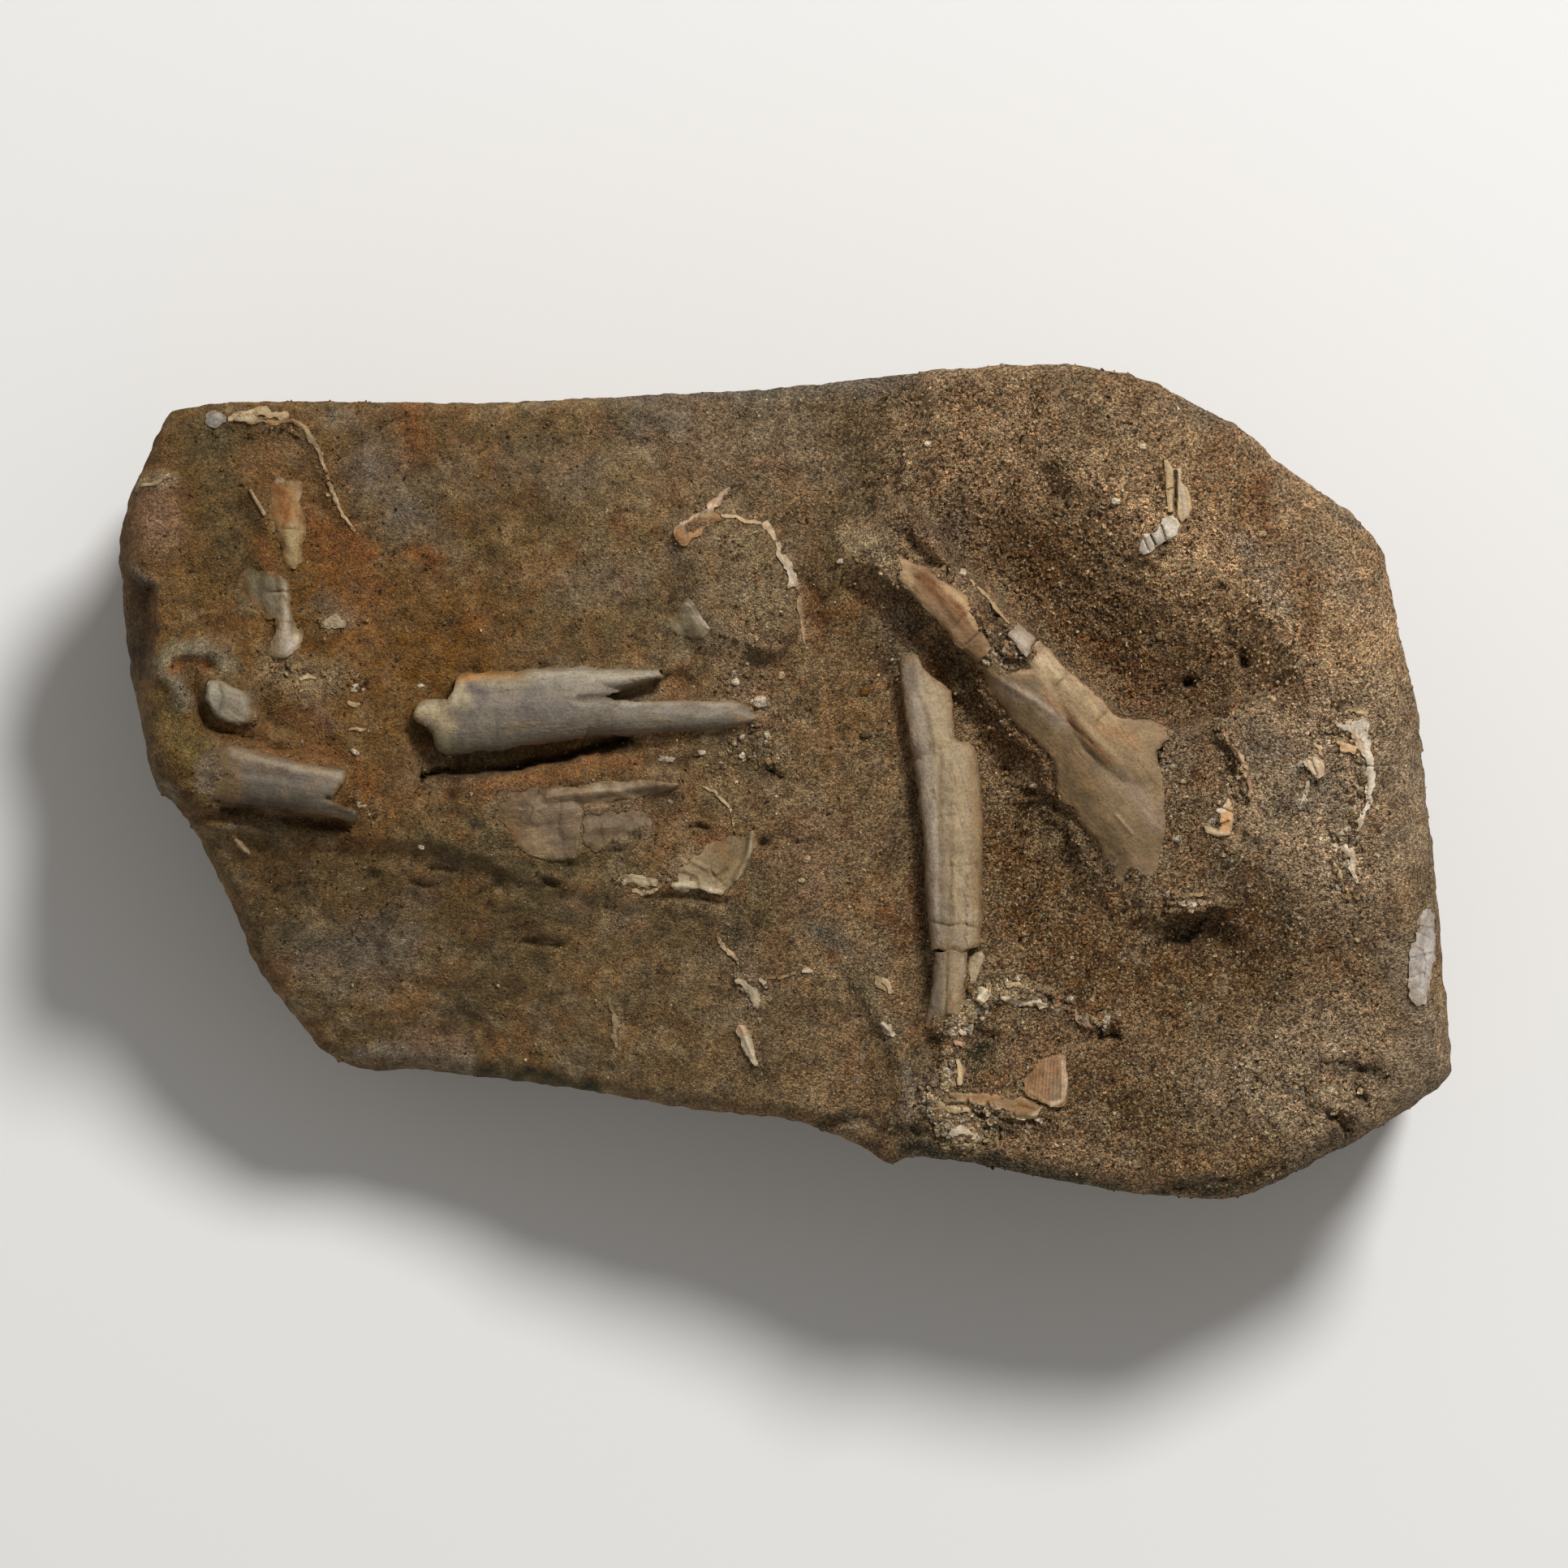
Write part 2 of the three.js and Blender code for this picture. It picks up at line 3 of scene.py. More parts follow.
import bpy
import numpy as np
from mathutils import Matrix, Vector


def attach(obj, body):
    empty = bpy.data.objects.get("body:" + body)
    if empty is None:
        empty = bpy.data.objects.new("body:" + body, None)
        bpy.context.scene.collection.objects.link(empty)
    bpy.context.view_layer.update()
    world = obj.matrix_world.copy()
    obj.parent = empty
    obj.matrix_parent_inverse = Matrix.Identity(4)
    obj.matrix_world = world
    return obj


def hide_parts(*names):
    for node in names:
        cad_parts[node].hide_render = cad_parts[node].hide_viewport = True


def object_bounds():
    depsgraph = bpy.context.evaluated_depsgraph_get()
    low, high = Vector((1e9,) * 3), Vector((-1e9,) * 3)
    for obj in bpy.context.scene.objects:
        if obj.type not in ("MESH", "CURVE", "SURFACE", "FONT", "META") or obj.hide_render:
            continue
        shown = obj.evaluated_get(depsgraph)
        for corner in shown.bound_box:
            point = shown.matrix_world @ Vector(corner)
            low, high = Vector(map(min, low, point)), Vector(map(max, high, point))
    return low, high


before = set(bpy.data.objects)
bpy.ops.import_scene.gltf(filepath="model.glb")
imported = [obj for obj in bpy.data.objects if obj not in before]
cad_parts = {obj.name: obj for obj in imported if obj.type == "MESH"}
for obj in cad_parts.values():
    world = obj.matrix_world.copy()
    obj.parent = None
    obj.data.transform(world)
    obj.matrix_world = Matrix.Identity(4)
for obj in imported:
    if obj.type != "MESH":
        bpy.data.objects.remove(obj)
cad_low, cad_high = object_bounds()

# ---------------------------------------------------------------------------------------------
# The block: one loose lump of brown sandstone, about a hand long, that split along its bedding.
# Its left half is a lower bench, its right half stands a step higher, and a trough runs beside
# the flared bone. All lengths below are in mm; the meshes are made in metres.
# ---------------------------------------------------------------------------------------------
MM = 0.001
BENCH_HEIGHT = 56
STEP_HEIGHT = 7
PLATEAU_RISE = 3
VALLEY_DEPTH = 9
FLANK_SLOPE = 0.45
ROCK_CELL = 0.78  # width of one face of the rock's upper side
FLANK_RINGS = 27

# The block seen from above, anticlockwise from its right end.
BLOCK_OUTLINE = [
    (118, 10), (115.9, 20.3), (113.5, 29.3), (112.4, 37), (110.5, 44.3), (105.4, 50.1), (97.9, 54.9),
    (90.4, 60.3), (84.8, 66), (79.1, 68.4), (71.6, 72.9), (64.1, 75.9), (54, 77.7), (41.6, 77.7),
    (26.6, 76.5), (11.6, 74.9), (-3.4, 73.2), (-33.4, 71.7), (-60, 70.5), (-93.5, 71.1), (-113, 70.2),
    (-116.8, 65.3), (-118.9, 59.3), (-123.2, 50.3), (-124, 41.3), (-123, 30.8), (-122, 20.3),
    (-119.6, 11.3), (-117.2, -0.8), (-112.1, -4.8), (-106.4, -15.8), (-102.1, -24.8), (-99.2, -33.8),
    (-93.4, -41.7), (-85.9, -51.2), (-77.6, -54.2), (-70.9, -53.4), (-55.9, -55.1), (-40.9, -56.7),
    (-25.9, -59.7), (-10.9, -61.7), (0.4, -62.4), (7.9, -65), (15.4, -68.3), (17.9, -70.3),
    (20.6, -71), (23, -69.2), (34.1, -70.7), (49.1, -73.5), (64.1, -76.4), (82.9, -77.7),
    (88, -75.8), (99.8, -69.8), (110.8, -63.8), (122.6, -56), (124, -53), (122.5, -36.8),
    (120.4, -12.8), (119, -2.3),
]
# How the rim rounds over: direction in degrees, width, drop.
RIM_ROUNDING = [
    (0, 12, 12), (30, 14, 11), (50, 9, 8), (70, 4, 5), (90, 3, 3), (145, 3, 3), (152, 5, 6),
    (165, 11, 13), (178, 6, 10), (186, 4, 8), (235, 4, 6), (265, 5, 7), (288, 4, 6), (300, 5, 9),
    (315, 6, 10), (337, 6, 9), (350, 10, 12), (360, 12, 12),
]
RIGHT_PART = [
    (25.5, 95), (25.5, 68), (22.5, 59), (21.5, 54), (18, 48.5), (14, 44), (14, 42.5), (19, 40),
    (29, 28), (38, 16), (48, 2), (57, -14), (62, -21), (68, -26), (80, -25), (97, -40),
    (140, -46), (140, 95),
]
GRITTY_PART = [(23, 95), (16, 48), (14, 42), (32, 20), (34, -12), (36, -40), (24, -60), (24, -95), (140, -95), (140, 95)]
PLATEAU = [
    (44, 95), (46, 60), (61, 48), (69, 41), (85, 30), (92, 18), (112, 10), (140, 5), (140, 95),
]
LEFT_HUMP = [
    (-119, 2), (-119, 16), (-116, 23), (-110, 26), (-104, 25), (-99, 18), (-97, 11), (-84, 4),
    (-80, 0), (-84, -6), (-100, -6), (-112, -4),
]
RAISED_PATCH = [
    (-20, 46), (-12, 51), (-4, 48.5), (2, 37), (2, 28), (-2, 23), (-16, 25), (-20, 33),
]
LOWER_LEDGE = [
    (-130, -6), (-100, -8), (-66, -10), (-44, -17), (-30, -21), (-5, -23), (60, -30),
]
# Wide troughs and ridges: crest line, height, width on its left and on its right.
BROAD_FORMS = [
    ([(33, 42), (45, 31), (54, 22), (62, 15), (70, 12), (78, 14)], -VALLEY_DEPTH, 24, 5),
    ([(30, 24), (34, 12), (38, 0), (40, -12), (42, -24)], -2.2, 9, 9),
    ([(20, 18), (21, 5), (22.5, -8), (23.5, -20), (24, -44)], -2, 4, 6),
]


def smooth(t):
    t = np.clip(t, 0, 1)
    return t * t * (3 - 2 * t)


def line_distance(line, x, y, closed=False):
    """Shortest distance to a line of points, and the side it lies on: 1 is left, -1 is right."""
    points = list(line) + [line[0]] if closed or len(line) == 1 else line
    nearest = np.full(np.shape(x), 1e9)
    side = np.ones(np.shape(x))
    for (ax, ay), (bx, by) in zip(points, points[1:]):
        ux, uy = bx - ax, by - ay
        t = np.clip(((x - ax) * ux + (y - ay) * uy) / max(ux * ux + uy * uy, 1e-9), 0, 1)
        dx, dy = x - ax - t * ux, y - ay - t * uy
        distance = np.hypot(dx, dy)
        closer = distance < nearest
        nearest = np.where(closer, distance, nearest)
        side = np.where(closer, np.where(ux * dy - uy * dx >= 0, 1, -1), side)
    return nearest, side


def is_inside(outline, x, y):
    inside = np.zeros(np.shape(x), bool)
    for (ax, ay), (bx, by) in zip(outline, outline[-1:] + outline[:-1]):
        if ay != by:
            inside ^= ((ay > y) != (by > y)) & (x < (bx - ax) * (y - ay) / (by - ay) + ax)
    return inside


def pad(outline, x, y, height, edge):
    """A raised or sunken area with soft edges."""
    distance = line_distance(outline, x, y, closed=True)[0]
    inward = np.where(is_inside(outline, x, y), distance, -distance)
    return height * smooth(0.5 + inward / edge)


def ridge(line, x, y, height, left, right):
    """A ridge or trough along a line, with its own width on each side."""
    distance, side = line_distance(line, x, y)
    return height * (1 - smooth(distance / np.where(side > 0, left, right)))


def noise(x, y, z, size, seed):
    """Smooth random lumps about as wide as size, from -1 to 1."""
    place = [x / size + 31.7 * seed, y / size - 17.3 * seed, z / size + 5.1 * seed]
    cells = [np.floor(p).astype(np.int64) for p in place]
    parts = [p - c for p, c in zip(place, cells)]
    blends = [f * f * f * (f * (f * 6 - 15) + 10) for f in parts]
    total = 0
    for corner in range(8):
        steps = [corner & 1, corner >> 1 & 1, corner >> 2 & 1]
        h = sum((c + s) * k for c, s, k in zip(cells, steps, (73856093, 19349663, 83492791)))
        h = (h ^ (h >> 15)) * 2246822519 & 0x7FFFFFFF
        h = (h ^ (h >> 13)) * 3266489917 & 0x7FFFFFFF
        slopes = [(h >> shift & 1023) / 511.5 - 1 for shift in (1, 11, 21)]
        value = sum(g * (f - s) for g, f, s in zip(slopes, parts, steps))
        for blend, step in zip(blends, steps):
            value = value * (blend if step else 1 - blend)
        total = total + value
    return total * 1.5


def lumps(x, y, z, size, layers, seed, keep=0.5):
    """Several layers of noise, each half as wide as the one before."""
    return sum(noise(x, y, z, size / 2**k, seed + k) * keep**k for k in range(layers))


def bed_height(x, y):
    """Height of the block's upper face before any fine relief. The bones lie on it."""
    z = np.full(np.shape(x), float(BENCH_HEIGHT))
    drop = STEP_HEIGHT * (1 - 0.45 * smooth((-y - 6) / 14))
    step_width = 5 + 9 * smooth((46 - y) / 8) * (1 - smooth((x - 62) / 6))
    step_width -= 2.4 * (1 - smooth((abs(x - 73) - 1.5) / 4)) * (y < 0)
    step_width += 32 * smooth((x - 82) / 12) * smooth((10 - y) / 20)
    step_width += 7 * (1 - smooth(np.hypot(x - 15, y - 42) / 11))
    z += pad(RIGHT_PART, x, y, drop, step_width)
    z += pad(PLATEAU, x, y, PLATEAU_RISE, 10)
    z += pad(LEFT_HUMP, x, y, 4, 4)
    z += pad(RAISED_PATCH, x, y, 2, 4)
    for line, height, left, right in BROAD_FORMS:
        z += ridge(line, x, y, height, left, right)
    ledge_x, ledge_y = zip(*LOWER_LEDGE)
    below = np.maximum(0, np.interp(np.minimum(59, x), ledge_x, ledge_y) - y)
    leftness = 1 - smooth((x + 65) / 75)
    z -= leftness * (2 * smooth(below / 4) + FLANK_SLOPE * below)
    z -= (1 - leftness) * 0.12 * below * (1 - smooth((x - 15) / 15))
    degrees = np.degrees(np.arctan2(y, x)) % 360
    angles, widths, drops = zip(*RIM_ROUNDING)
    width, drop = np.interp(degrees, angles, widths), np.interp(degrees, angles, drops)
    inward = line_distance(BLOCK_OUTLINE, x, y, closed=True)[0]
    t = np.maximum(0, 1 - inward / width)
    return z - drop * (1 - np.sqrt(1 - t * t))


# Hollows, ledges and swellings of the rock: outline, height, width of the edge.
ROCK_PADS = [
    ([(-124, 9), (-110, 8.4), (-106, 6.4), (-105, 1.4), (-106, -3.4), (-110, -4.6), (-124, -5)], 3.3, 8),
    ([(-109, 17), (-108.5, 20), (-105, 20.6), (-102, 19.2), (-98.6, 17.6), (-96, 14), (-96, 10.5),
      (-100, 9), (-104, 9.6), (-107.5, 12)], -1.5, 2),
    ([(-114, 23), (-109, 23.4), (-104.6, 21.6), (-105, 19.6), (-109, 19.8), (-113, 20.6)], -1.2, 1.4),
    ([(-97, 14.6), (-92, 14.2), (-88, 13), (-84.6, 10.8), (-84.5, 8), (-88, 6.6), (-94, 7.6), (-97.6, 9)], -0.9, 4),
    ([(-128, 39), (-117, 36), (-116.4, 28), (-118.4, 19), (-128, 19)], -3.4, 2.4),
    ([(-108, 65.4), (-98, 66), (-91, 65.4), (-88.6, 62), (-86, 55), (-83, 49), (-86, 44), (-88, 47), (-88.6, 56),
      (-96, 58), (-100, 52), (-108, 56)], -0.9, 1.6),
    ([(-102, 40), (-101, 30), (-96, 28), (-97, 33), (-97, 45), (-99.4, 52), (-102, 50)], -0.9, 2.4),
    ([(-12, 47), (-16, 44), (-18, 34.5), (-14.5, 30), (-13, 27), (-2, 24), (2, 28), (2.5, 36), (0, 41), (-4, 47)], 1.2, 1.4),
    ([(79, 0), (79.5, 5), (82, 8), (84, 4), (83, 0)], -2.5, 2),
    ([(68.6, -30.4), (71.4, -27.8), (75, -26.4), (78.8, -25.4), (77.6, -26.6), (73.4, -29)], -2, 0.9),
    ([(72, -17), (77, -15.5), (84, -17), (85, -23), (78, -24.4), (71, -23)], 1.3, 2),
    ([(33.5, -50), (39, -47), (39, -50), (36, -56), (33, -56)], -3, 2.4),
    ([(33, -46.5), (36, -45.5), (40, -46), (40, -48.5), (36, -49.5), (33.5, -48.8)], -2, 1.8),
    ([(26.3, -46.5), (28.5, -46), (29, -49), (27.5, -50), (26, -49)], -2, 1.6),
    ([(37, -42), (43, -40.5), (50, -39.5), (50, -35), (44, -35), (38, -37), (35, -40)], 1.1, 1.2),
    ([(55, -45.5), (55, -39), (59, -37.5), (62, -40), (62, -45.8)], 0.9, 1.4),
    ([(13, -33.5), (18, -34.5), (22, -38), (20, -46), (15, -44), (12.5, -39)], 0.8, 1.2),
    ([(28.5, -63.5), (35.5, -62.5), (36, -66), (34.5, -67.8), (29, -67.5)], 1.0, 0.8),
    ([(-61, 5.2), (-52, 6.2), (-45, 7.8), (-38, 8.4), (-29, 9.6), (-29, 7.4), (-38, 5), (-46, 3.2), (-60, 2.6)], -2.2, 1.2),
    ([(-31, 16), (-24, 18.6), (-20, 21), (-16, 18), (-16, 15.6)], -1.2, 1.2),
]
# Narrow ridges, steps and cracks: line, height, width on its left and on its right.
ROCK_LINES = [
    ([(-117.5, 21), (-114, 24.5), (-109, 26), (-104, 25)], 1.3, 2.6, 2.2),
    ([(-114.6, 20), (-112, 18), (-110.6, 14), (-109.6, 10)], 1.5, 1.4, 3.4),
    ([(-109.6, 19.6), (-109.4, 15), (-107.8, 11.4), (-104.4, 9.2), (-100, 8.2), (-95, 6.9), (-91, 6.0), (-86, 4.6)],
     -2.1, 1.7, 1.4),
    ([(-97, 7.0), (-91, 5.4), (-86, 4)], 1.4, 0.8, 0.6),
    ([(-90, 14.4), (-87, 13.4), (-84, 11)], 0.5, 1.6, 0.8),
    ([(-67, 1.5), (-62, 2.4), (-57, 2.2), (-53, 2.2), (-50, 3.2), (-46, 4), (-42, 4.5), (-37, 6), (-33, 7.8), (-29, 8.2)],
     -5.5, 0.9, 1.2),
    ([(-60, 0.4), (-50, 1.6), (-40, 2.8), (-30, 3.6), (-22, 2.4)], 2.2, 2.2, 4.5),
    ([(-60, -1), (-50, -1.5), (-40, -0.6), (-30, 0.2), (-20, 0)], 1.6, 4, 7),
    ([(-104, -4.6), (-98, -5.2), (-90, -6.4), (-82, -8)], -2.4, 1.4, 1.4),
    ([(-120, -6), (-104, -8.2), (-97, -8.6)], 1.2, 1.4, 1.4),
    ([(-102.4, -10), (-101, -12), (-98.3, -13.8)], 1.5, 1.4, 0.7),
    ([(-66, -15.5), (-61, -16)], -1.4, 0.8, 1.2),
    ([(-69, -18.5), (-65.5, -19)], -1.1, 0.8, 1.0),
    ([(-52, -13.8), (-46, -15), (-41, -15.6), (-38, -15)], -2.2, 1.2, 1.8),
    ([(-58, -7), (-54, -9.5), (-52, -12.5)], -1.5, 1.8, 1.8),
    ([(-45.5, -17), (-42.5, -18.6)], -1.6, 1.0, 1.0),
    ([(-48, -29.5), (-41.5, -29.8)], -1.2, 1.2, 1.2),
    ([(-76.5, -17)], -1.6, 1.6, 1.6),
    ([(-65.5, 40.3)], -2.2, 1.1, 1.1),
    ([(-71, 43), (-67, 41.5), (-62, 40)], -0.8, 1.4, 1.4),
    ([(-81, 61), (-76, 64), (-71, 68)], -0.9, 1.2, 2.0),
    ([(-120, 55), (-116, 55.6), (-113.3, 57)], 1.3, 1.2, 1.6),
    ([(-122, 40), (-119, 38), (-116, 36.6), (-113.6, 36)], 1.2, 1.6, 1.0),
    ([(-116, 35.5), (-116.6, 30), (-117, 26), (-119.6, 20)], 1.3, 3, 1.2),
    ([(-99, 47), (-99.6, 40), (-101.4, 35)], -0.9, 2.2, 1.2),
    ([(-97, 56), (-101, 50), (-100, 44)], -0.8, 3, 2),
    ([(-88, 40), (-88.4, 47), (-88.4, 55)], -0.6, 1, 2),
    ([(-26, 4.2), (-23.5, 3), (-20, 3.2), (-17, 4.8)], -1.6, 1.0, 1.3),
    ([(-18, -8.7), (-15.8, -8.2), (-13.8, -8.4)], -1.8, 0.7, 0.9),
    ([(-24, -20.6), (-20, -20.7), (-15, -21.4), (-12, -22), (-9.5, -21), (-7.6, -18), (-6, -14.6), (-4.6, -11)],
     -1.8, 0.8, 2.4),
    ([(-3.4, 2.2), (-2, 1.6), (-1, 1.4)], -2.4, 1, 1),
    ([(-34, -12.6), (-31, -12.5)], -1.2, 0.8, 1.2),
    ([(-5, -10.5), (-1, -10), (3, -11.4), (6, -10)], -0.9, 1.4, 1.4),
    ([(4, 36), (6, 33), (7, 28), (8, 24)], -1.1, 2, 2),
    ([(1, -28), (3, -31), (4, -33)], 1.0, 1.2, 1.2),
    ([(5, -27), (9, -31), (9.5, -36), (9, -42), (12, -46)], -0.4, 1.6, 1.6),
    ([(12, -35), (15, -39), (17, -43.5), (20, -47), (22, -52)], 0.8, 1.4, 1.8),
    ([(22, -49), (22, -56), (22.4, -62)], 1.1, 1.6, 4),
    ([(24, -63.6), (28, -64.4), (31, -66.6)], -1.6, 1, 1.4),
    ([(6, -62), (10, -63), (14, -62)], -1.3, 1.0, 1.6),
    ([(17.8, -69.5), (18.6, -66), (20.4, -63.6)], 0.9, 0.8, 0.8),
    ([(41, 3.4), (40.6, 1.8)], -2.0, 1.0, 1.0),
    ([(44, -1.4), (45.6, -1.2)], -2.4, 1.1, 1.1),
    ([(44.6, -4), (43.6, -8), (42, -12)], -1.4, 1.8, 1.8),
    ([(52.6, -19.6), (54, -20)], -1.6, 0.9, 0.9),
    ([(49, -2.4), (53, -5.6), (57, -10.4), (59, -15)], -1.8, 0.6, 3.2),
    ([(43, -29.5)], -1.5, 0.8, 0.8),
    ([(56, -46.6), (59, -46.4), (62, -46.8)], -2.4, 0.6, 1.0),
    ([(52.6, -45), (55, -46.8), (56, -48)], -1.0, 0.7, 0.7),
    ([(52.7, -50.5), (52.9, -55), (52.4, -60)], -1.5, 0.9, 0.7),
    ([(44, -57.8), (48, -60.6), (52, -60.6)], -1.6, 0.8, 0.9),
    ([(36, -61), (40, -61.2), (43, -62.6), (47.5, -62.4)], -2.2, 0.7, 1.6),
    ([(40, -63.6), (40.2, -65.4)], -1.2, 0.8, 0.8),
    ([(36, -63), (36.4, -66)], -1.3, 0.8, 0.8),
    ([(74.2, 18.6), (75, 18.8)], -3.6, 1.0, 1.0),
    ([(85.3, 23.8), (85.2, 22.4)], -4.0, 1.1, 1.1),
    ([(47, 43), (52, 38), (52.6, 36.6)], -0.8, 1.8, 1.8),
    ([(22.6, 46), (25, 42.8), (28, 39.6), (31, 36.8), (34, 33.6)], -1.3, 0.7, 1.1),
    ([(24.6, 45.6), (28, 42), (31, 39.8), (34, 37), (38, 33), (41, 30)], 2.2, 3.4, 1.0),
    ([(69.6, 2), (70.6, -1), (70.6, -6), (70.8, -10)], -1.4, 0.9, 0.8),
    ([(69.5, 7), (69.2, 4.2)], -1.4, 1.0, 0.8),
    ([(80.4, 10), (82, 7.4), (84.2, 4.4), (85.4, 1), (85.6, -3)], 1.4, 1.2, 0.7),
    ([(82.6, 18), (82.8, 13.6), (81.4, 10.6)], 0.9, 1, 1),
    ([(101, 9), (104, 9.4)], -1.4, 0.8, 1.2),
    ([(84, -8), (88, -9.5), (94, -9)], 0.9, 1.2, 1.4),
    ([(76, -22.5), (79, -24), (82, -24.6)], 0.7, 1.2, 2),
    ([(70, -25)], -2.6, 1.0, 1.0),
    ([(11, 41.5), (17, 37.5), (22, 32)], 1.8, 5, 5),
    ([(14, 44.4), (18, 41.4), (22, 37.4)], 1.3, 4, 2.6),
    ([(34.5, 33.5), (38, 29), (42.5, 24.5)], 2.2, 2, 2.6),
    ([(69, -26.5), (72, -24.6), (76, -23.6), (81, -23.8)], 1.4, 1.4, 0.9),
    ([(25.6, 74), (23.4, 63), (22, 55)], 0.9, 1.2, 2.4),
    ([(98, -31.6), (101.4, -31)], -1.6, 0.9, 0.9),
    ([(91, -29.6), (94, -30.4)], -1.2, 0.9, 0.9),
    ([(99, -52), (103, -52.4), (107, -53), (110.6, -53.8)], -1.0, 0.8, 2.4),
    ([(106, -53), (105.4, -56), (107, -58)], -1.2, 1.4, 2.4),
    ([(101, -62.2), (103, -63.2), (104.6, -64.6)], -2.4, 1.0, 1.2),
    ([(101, -60.6), (104, -61.4), (106.4, -63)], 1.6, 1.4, 0.8),
    ([(98, -57), (100, -60), (101, -66)], 1.0, 3.4, 2.6),
    ([(84.5, -54), (86, -60), (90, -66)], 0.7, 1.2, 3.5),
    ([(70, -74.6), (76, -74.2), (84, -72.6), (92, -71)], -1.6, 0.8, 1.8),
    ([(106, -55), (106.6, -58)], -1.8, 1.1, 1.1),
    ([(110, 58), (112, 36), (112.6, 30)], -0.6, 2, 2),
    ([(76, 71), (79, 67.6), (84, 65.4)], 0.8, 1.6, 1.8),
    ([(22.5, 61), (22, 55), (18.6, 49), (14.6, 43.4)], 0.8, 0.8, 1.8),
    ([(44, 62), (48, 56), (54, 52)], -1.0, 3, 3),
    ([(30, 71), (30, 60), (26, 52)], -0.7, 3, 2),
]


def grittiness(x, y):
    """How coarse the rock's grain is, from 0 at the left end to 1 on the right part."""
    smoother_side = 0.45 * smooth((x - 108) / 6) * smooth((20 - y) / 12)
    return 0.5 * smooth((x + 50) / 75) + pad(GRITTY_PART, x, y, 0.5, 12) - smoother_side


# Places where rock and bone have crumbled to grit: line, reach, strength.
CRUMBLED_PLACES = [
    ([(27, -60), (35, -60.4), (40, -62), (46, -63)], 4, 1),
    ([(31, -46), (34.6, -43), (37, -39), (44, -39), (51, -41)], 4.4, 1),
    ([(31, -50), (30, -56)], 4, 0.8),
    ([(28, -62), (31, -67), (36, -65)], 4, 1),
    ([(54, -43), (62, -45)], 4, 0.5),
    ([(101, 9), (106, 9), (107.6, 1), (106, -8), (103, -14), (106, -20)], 4, 0.8),
    ([(94, 4), (98, 3), (96, -4)], 3.4, 0.7),
    ([(80.4, 11), (83, 6), (85, 2), (82, -3), (80, -9), (83, -13)], 3.4, 0.7),
    ([(71, 5), (72, -4), (72, -10)], 3, 0.4),
    ([(71, -21), (77, -22)], 3.4, 0.7),
    ([(36, 25), (40, 22), (43, 28)], 3, 0.6),
    ([(-12, -28), (-7, -38), (-6, -44)], 3, 0.35),
    ([(-31, -18), (-22, -18)], 2.6, 0.5),
    ([(-10, 3), (-4, 6), (-2, 14), (-8, 20)], 7, 0.4),
    ([(-8, 44), (-4, 36), (-6, 28)], 9, 0.3),
    ([(-19, 48), (-11, 53)], 2.4, 0.4),
    ([(-86, 30), (-80, 30)], 4, 0.3),
    ([(-94, 21), (-87, 19), (-80, 19)], 6, 0.35),
    ([(-79, -3), (-76, -6)], 2.4, 0.5),
    ([(-98, 67), (-88, 65), (-83, 53)], 1.8, 0.3),
    ([(84, -58), (92, -54), (104, -60)], 8, 0.3),
]


def crumbling(x, y):
    """How far the surface has crumbled, from 0 to 1."""
    grit = [share * (1 - smooth(line_distance(line, x, y)[0] / reach)) for line, reach, share in CRUMBLED_PLACES]
    return np.max(grit, 0)


def rock_height(x, y):
    """Height of the rock's upper face with all its relief."""
    gritty = grittiness(x, y)
    wander = 0.8 + 0.6 * gritty
    bend_x = x + wander * (noise(x, y, 0, 5, 3) + 0.4 * noise(x, y, 0, 1.8, 5))
    bend_y = y + wander * (noise(x, y, 0, 5, 4) + 0.4 * noise(x, y, 0, 1.8, 6))
    z = bed_height(x, y)
    for outline, height, edge in ROCK_PADS:
        z += pad(outline, bend_x, bend_y, height, edge)
    for line, height, left, right in ROCK_LINES:
        z += ridge(line, bend_x, bend_y, height, left, right)
    z += 0.8 * noise(x, y, 0, 24, 11) + 0.55 * noise(x, y, 0, 11, 12)
    z += 0.32 * noise(x, y, 0, 5.2, 13) + 0.22 * noise(x, y, 0, 2.7, 14)
    z += (0.16 + 0.14 * gritty) * noise(x, y, 0, 1.7, 15)
    flakes = noise(bend_x, bend_y, 0, 9, 16) * 3
    z += 0.3 * (np.floor(flakes) + smooth((flakes - np.floor(flakes)) * 4 - 1.5))
    z -= (1.2 + gritty) * np.maximum(0, noise(x, y, 0, 3.4, 17) - 0.5)
    z += crumbling(x, y) * (0.9 * abs(noise(x, y, 0, 4, 18)) + 0.6 * noise(x, y, 0, 1.9, 19))
    return z


def select_object(piece):
    bpy.ops.object.select_all(action="DESELECT")
    piece.select_set(True)
    bpy.context.view_layer.objects.active = piece


def corners(mesh):
    """The mesh's vertex places as an array of x, y and z."""
    places = np.empty(len(mesh.vertices) * 3)
    mesh.vertices.foreach_get("co", places)
    return places.reshape(-1, 3)


def move_corners(mesh, places):
    mesh.vertices.foreach_set("co", places.ravel())
    mesh.update()


